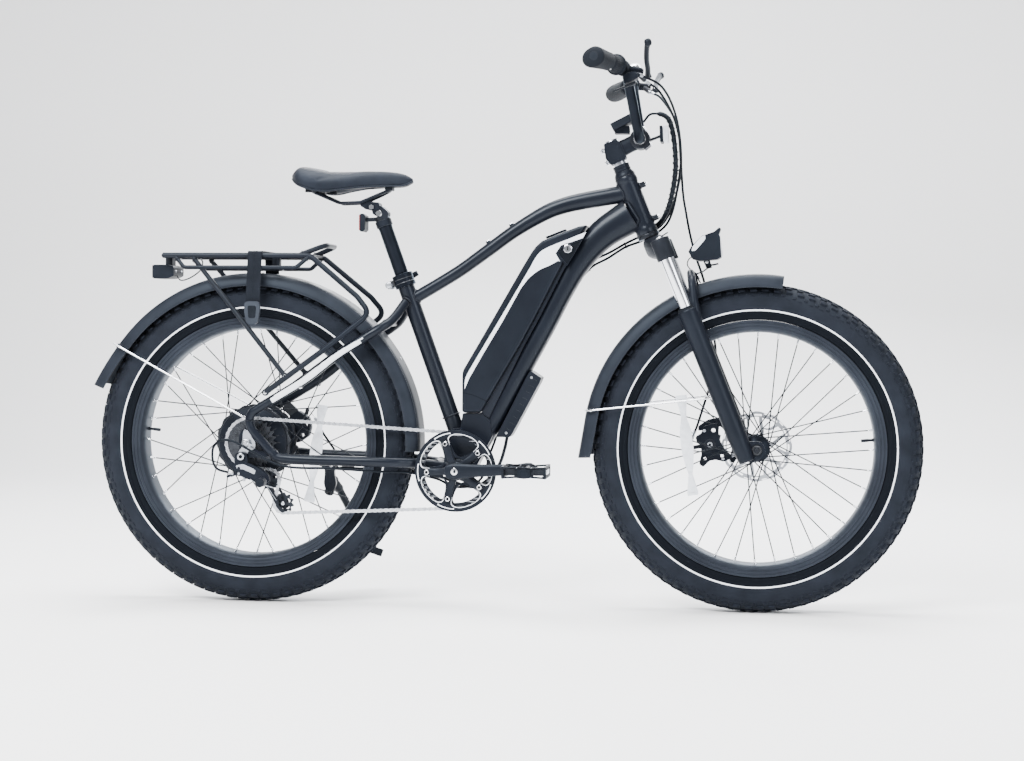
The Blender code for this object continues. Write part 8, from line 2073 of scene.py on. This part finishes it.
emit("front_caliper_lever_bolts", merged([hex_bolt(front_arm + Y * 0.0060, Y, 0.0044, 0.0022), hex_bolt(front_arm + Y * 0.0054 - STEER_FORWARD * 0.036 + STEER_AXIS * 0.0055, Y, 0.0032, 0.0016)]), CHROME, "front_brake_arm", slot="silver_alloy")
knob = lathe([(0.0002, 0.0404), (0.0118, 0.0404), (0.0130, 0.0396), (0.0130, 0.0386), (0.0112, 0.0376), (0.0070, 0.0376), (0.0066, 0.0386), (0.0002, 0.0386)], S(-0.046, 0, -0.572), Y, 48)
emit("front_caliper_pad_knob", knob, CAST, "lowers", slot="black_alloy", sharp=35)
emit("front_caliper_pad_screw", merged([lathe([(0.0030, 0.0372), (0.0056, 0.0372), (0.0062, 0.0378), (0.0062, 0.0388), (0.0030, 0.0388)], S(-0.046, 0, -0.572), Y, 36, ring=True)]), SILVER, "lowers", slot="silver_alloy", sharp=35)
bracket_line = softened([(0.0020, -0.5240), (-0.0300, -0.5180), (-0.0560, -0.5240), (-0.0600, -0.5340), (-0.0460, -0.5380), (-0.0260, -0.5340), (-0.0060, -0.5460), (-0.0020, -0.5960), (-0.0200, -0.6240), (-0.0120, -0.6320), (0.0040, -0.6200)], 2)
emit("front_caliper_bracket", plate([bracket_line], 0.0600, 0.0650, to_steer), CAST, "lowers", sharp=30, bevel=0.0010, segments=2, slot="black_alloy")
emit("front_caliper_bolts", merged([hex_bolt(S(-0.0460, 0.0716, -0.5330), Y, 0.0040, 0.0034), hex_bolt(S(-0.0280, 0.0716, -0.6180), Y, 0.0040, 0.0034), hex_bolt(S(-0.0460, 0.0404, -0.5380), -Y, 0.0036, 0.0030), hex_bolt(S(-0.0300, 0.0404, -0.6120), -Y, 0.0036, 0.0030)]), STEEL, "lowers", slot="steel")
barrel_f = lathe([(0.0002, -0.002), (0.0042, -0.002), (0.0042, 0.0060), (0.0052, 0.0066), (0.0052, 0.0110), (0.0040, 0.0120), (0.0030, 0.0150), (0.0002, 0.0150)], S(-0.0790, 0.0778, -0.5420), (S(-0.0400, 0.0960, -0.5000) - S(-0.0880, 0.0790, -0.5560)), 24)
emit("front_cable_barrel", barrel_f, SILVER, "lowers", slot="silver_alloy", sharp=35)


# ---- cables ----
def hose(line, radius, sides=14):
    """A round jacket along a line, its rings carried along without a twist. radius is a number or one for each point."""
    p = [Vector(q) for q in line]
    side = None
    sections = []
    for i, q in enumerate(p):
        along = (p[min(i + 1, len(p) - 1)] - p[max(i - 1, 0)]).normalized()
        if side is None:
            side = Z if abs(along.z) < 0.8 else X
        side = (side - along * side.dot(along)).normalized()
        up = along.cross(side)
        r = radius[i] if isinstance(radius, list) else radius
        sections.append([q + up * (r * cos(2 * pi * k / sides)) + side * (r * sin(2 * pi * k / sides)) for k in range(sides)])
    return rings(sections)


def ferrule(at, to, length=0.011, radius=0.0036):
    """The turned metal cap on the end of a jacket."""
    axis = (Vector(to) - Vector(at)).normalized()
    return lathe([(0.0002, -0.0004), (radius * 0.72, -0.0004), (radius * 0.9, 0.0004), (radius, 0.0014), (radius, length * 0.55), (radius * 0.86, length * 0.62),
                  (radius * 0.9, length * 0.70), (radius * 0.86, length * 0.95), (0.0027, length), (0.0002, length)], Vector(at), axis, 22)


def cable_tie(spots, axis, radius):
    """A narrow strap pulled round the cables at these spots, with its square head and the cut end."""
    axis = Vector(axis).normalized()
    centre = sum((Vector(s) for s in spots), Vector()) / len(spots)
    reach = max((Vector(s) - centre).length for s in spots)
    far = (Vector(spots[0]) - centre)
    long_way = (far - axis * far.dot(axis)).normalized() if far.length > 1e-4 else axis.orthogonal().normalized()
    short_way = axis.cross(long_way)
    loop = []
    for k in range(40):
        a = 2 * pi * k / 40
        loop.append(centre + long_way * ((reach + radius + 0.0006) * cos(a)) + short_way * ((radius + 0.0008 + 0.15 * reach) * sin(a)))
    band = strip(loop, 0.0006, 0.0014, ref=axis, closed=True)
    top = centre + short_way * (radius + 0.0014 + 0.15 * reach)
    head = box(top + short_way * 0.0006, (0.0044, 0.0034, 0.0032), (long_way, axis, short_way))
    tail = box(top + long_way * 0.0042 + short_way * 0.0006, (0.0050, 0.0024, 0.0008), (long_way, axis, short_way))
    return merged([band, head, tail])


P = lambda v, y, w: tuple(S(v, y, w))
ROUTES = {
    "rear_brake_cable": ("frame", 0.0025, [P(0.1228, -0.1095, 0.2267), P(0.142, -0.075, 0.196), P(0.149, -0.005, 0.130), P(0.130, 0.020, 0.050), P(0.095, 0.030, -0.012), P(0.060, 0.033, -0.052), P(0.026, 0.036, -0.072),
        (0.880, 0.0370, 0.843), (0.845, 0.0355, 0.826), (0.810, 0.0345, 0.806), (0.775, 0.0350, 0.790), (0.745, 0.0350, 0.770), (0.706, 0.0350, 0.717), (0.667, 0.0350, 0.645), (0.633, 0.0350, 0.582), (0.590, 0.0350, 0.504),
        (0.560, 0.0380, 0.440), (0.535, 0.0460, 0.385), (0.520, 0.0480, 0.345), (0.505, 0.0480, 0.305), (0.478, 0.0490, 0.280), (0.436, 0.0500, 0.298), (0.372, 0.060, 0.308), (0.320, 0.078, 0.309), (0.200, 0.1000, 0.317),
        (0.170, 0.1130, 0.328), (0.150, 0.1165, 0.352), (0.122, 0.100, 0.400), (0.108, 0.0838, 0.442)]),
    "shift_cable": ("frame", 0.0025, [P(0.1136, -0.178, 0.238), P(0.150, -0.130, 0.200), P(0.155, -0.040, 0.140), P(0.134, 0.008, 0.060), P(0.100, 0.020, -0.004), P(0.066, 0.027, -0.054), P(0.034, 0.032, -0.0775),
        (0.884, 0.0310, 0.833), (0.846, 0.0290, 0.818), (0.806, 0.0310, 0.793), (0.772, 0.0345, 0.775), (0.748, 0.0345, 0.751), (0.7160, 0.0345, 0.7130), (0.6775, 0.0345, 0.6395), (0.6433, 0.0345, 0.5765), (0.6000, 0.0345, 0.4980),
        (0.5690, 0.0360, 0.434), (0.5480, 0.0390, 0.372), (0.536, 0.0400, 0.340), (0.5240, 0.0330, 0.2960), (0.500, 0.008, 0.2720), (0.462, -0.030, 0.2730), (0.430, -0.0450, 0.2900), (0.372, -0.0560, 0.304), (0.330, -0.0700, 0.307),
        (0.300, -0.0800, 0.308), (0.200, -0.1130, 0.316), (0.080, -0.1160, 0.322), (-0.030, -0.1150, 0.375), (-0.072, -0.1120, 0.362), (-0.070, -0.1080, 0.315), (-0.0295, -0.1030, 0.300)]),
    "front_brake_cable": ("steering_head", 0.0025, [P(0.1228, 0.1095, 0.2267), P(0.140, 0.088, 0.200), P(0.150, 0.052, 0.130), P(0.128, 0.040, 0.050), P(0.106, 0.042, -0.020), P(0.096, 0.046, -0.064), P(0.086, 0.058, -0.115),
        P(0.080, 0.070, -0.165), P(0.076, 0.080, -0.225), P(0.060, 0.090, -0.300), P(0.034, 0.1090, -0.400), P(-0.040, 0.096, -0.500), P(-0.088, 0.0790, -0.556)]),
    "main_harness": ("frame", 0.0045, [P(0.082, 0.012, 0.160), P(0.108, 0.012, 0.170), P(0.138, 0.006, 0.140), P(0.118, -0.012, 0.050), P(0.080, -0.002, -0.020), P(0.046, 0.020, -0.056), P(0.016, 0.0365, -0.066),
        (0.869, 0.0420, 0.861), (0.840, 0.0380, 0.852), (0.815, 0.0355, 0.846)]),
    "motor_cable": ("frame", 0.0035, [(0.5800, 0.0150, 0.3860), (0.5730, 0.024, 0.356), (0.5580, 0.044, 0.318), (0.5300, 0.0540, 0.282), (0.490, 0.0550, 0.265), (0.430, 0.058, 0.284), (0.372, 0.066, 0.296), (0.300, 0.080, 0.300),
        (0.220, 0.0960, 0.3000), (0.185, 0.1080, 0.300), (0.150, 0.1130, 0.300), (0.100, 0.1160, 0.3160), (0.040, 0.1175, 0.3500), (0.0180, 0.1150, 0.3680)]),
}
LINES = {}
for cable_name, (cable_body, cable_r, cable_points) in ROUTES.items():
    line = smooth([Vector(q) for q in cable_points], 7)
    if cable_name == "rear_brake_cable":
        line = line[:-4]
    LINES[cable_name] = line
    fine = [cable_r * 1.12] * len(line)
    if cable_name == "main_harness":
        fine = [cable_r * (0.62 if i < 10 else 1.25) for i in range(len(line))]
    emit(cable_name + "_jacket", hose(line, fine), CABLE, cable_body, cable_name, sharp=50)
    if cable_name in ("rear_brake_cable", "shift_cable", "front_brake_cable"):
        ends = merged([ferrule(line[0], line[3]), ferrule(line[-1], line[-4])])
        emit(cable_name + "_ferrules", ends, STEEL, cable_body, slot="steel", sharp=35)
plug = [lathe([(0.0036, 0.0), (0.0060, 0.0010), (0.0062, 0.0120), (0.0054, 0.0130), (0.0054, 0.0150), (0.0062, 0.0160), (0.0062, 0.0300), (0.0040, 0.0320)], LINES["motor_cable"][58], (LINES["motor_cable"][62] - LINES["motor_cable"][58]), 26),
        lathe([(0.0036, 0.0), (0.0058, 0.0010), (0.0058, 0.0100), (0.0036, 0.0150)], LINES["motor_cable"][-1], (LINES["motor_cable"][-3] - LINES["motor_cable"][-1]), 24)]
emit("motor_cable_plugs", merged(plug), PLASTIC, "frame", slot="plastic", sharp=35)
wrap_line = LINES["main_harness"]
wound = []
turns, first_, last_ = 16.0, 13, 33
for k in range(260):
    t = first_ + (last_ - first_) * k / 259
    i = int(t)
    here = wrap_line[i].lerp(wrap_line[i + 1], t - i)
    along = (wrap_line[i + 1] - wrap_line[i]).normalized()
    side = (Y - along * Y.dot(along)).normalized()
    a = 2 * pi * turns * k / 259
    wound.append((here, along, side, along.cross(side), a))
coil = rings([[h + (s * cos(a) + u * sin(a)) * r + al * o for r, o in ((0.0056, -0.0014), (0.0070, -0.0014), (0.0070, 0.0014), (0.0056, 0.0014))] for h, al, s, u, a in wound])
emit("main_harness_wrap", coil, PLASTIC, "frame", slot="plastic", sharp=35)


def spot(name, target):
    """The place on a cable that is nearest to the target."""
    return min(LINES[name], key=lambda q: (q - Vector(target)).length)


ties = []
for target, axis_to in (((0.8455, 0.032, 0.822), (0.810, 0.033, 0.800)), ((0.7600, 0.0350, 0.770), (0.7300, 0.0345, 0.738)), ((0.6550, 0.0350, 0.620), (0.6380, 0.0345, 0.586)), ((0.5950, 0.0350, 0.505), (0.5800, 0.036, 0.470))):
    ties.append(cable_tie([spot("rear_brake_cable", target), spot("shift_cable", target)], Vector(axis_to) - Vector(target), 0.0030))
for target, axis_to in (((0.2600, 0.0880, 0.308), (0.2000, 0.1000, 0.312)), ((0.3600, 0.0630, 0.305), (0.3200, 0.0780, 0.305))):
    ties.append(cable_tie([spot("rear_brake_cable", target), spot("motor_cable", target)], Vector(axis_to) - Vector(target), 0.0040))
ties.append(cable_tie([spot("rear_brake_cable", P(0.118, 0.022, 0.030)), spot("shift_cable", P(0.118, 0.014, 0.030))], STEER_AXIS, 0.0032))
emit("cable_ties", merged(ties), PLASTIC, "frame", slot="plastic", sharp=35)
bare_r = [LINES["rear_brake_cable"][-1], rear_arm + Vector((0.0110, 0.0035, 0.0380)), rear_arm + Vector((0.0085, 0.0042, 0.0290))]
emit("rear_brake_inner_wire", hose(smooth(bare_r, 4), 0.0008, 8), CHROME, "frame", slot="silver_alloy", sharp=50)
bare_f = [Vector(ROUTES["front_brake_cable"][2][-1]), front_arm + Y * 0.0045 - STEER_FORWARD * 0.0385 + STEER_AXIS * 0.0085, front_arm + Y * 0.0045 - STEER_FORWARD * 0.0370 - STEER_AXIS * 0.0060]
emit("front_brake_inner_wire", hose(smooth(bare_f, 4), 0.0008, 8), CHROME, "lowers", slot="silver_alloy", sharp=50)

# ---- spoke reflectors ----
spoke_reflector("rear_spoke_reflector", REAR, "rear_wheel", (0.1428, -0.0220, 0.3425), 0.2246, 7.85, -0.022)
spoke_reflector("front_spoke_reflector", FRONT, "front_wheel", (0.9907, -0.0220, 0.3732), 0.2258, -7.3, -0.022)

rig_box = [list(map(float, corner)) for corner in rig.bounds()]
with open("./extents.json", "w") as out:
    json.dump({"cad": CAD_BOX, "visual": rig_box}, out)
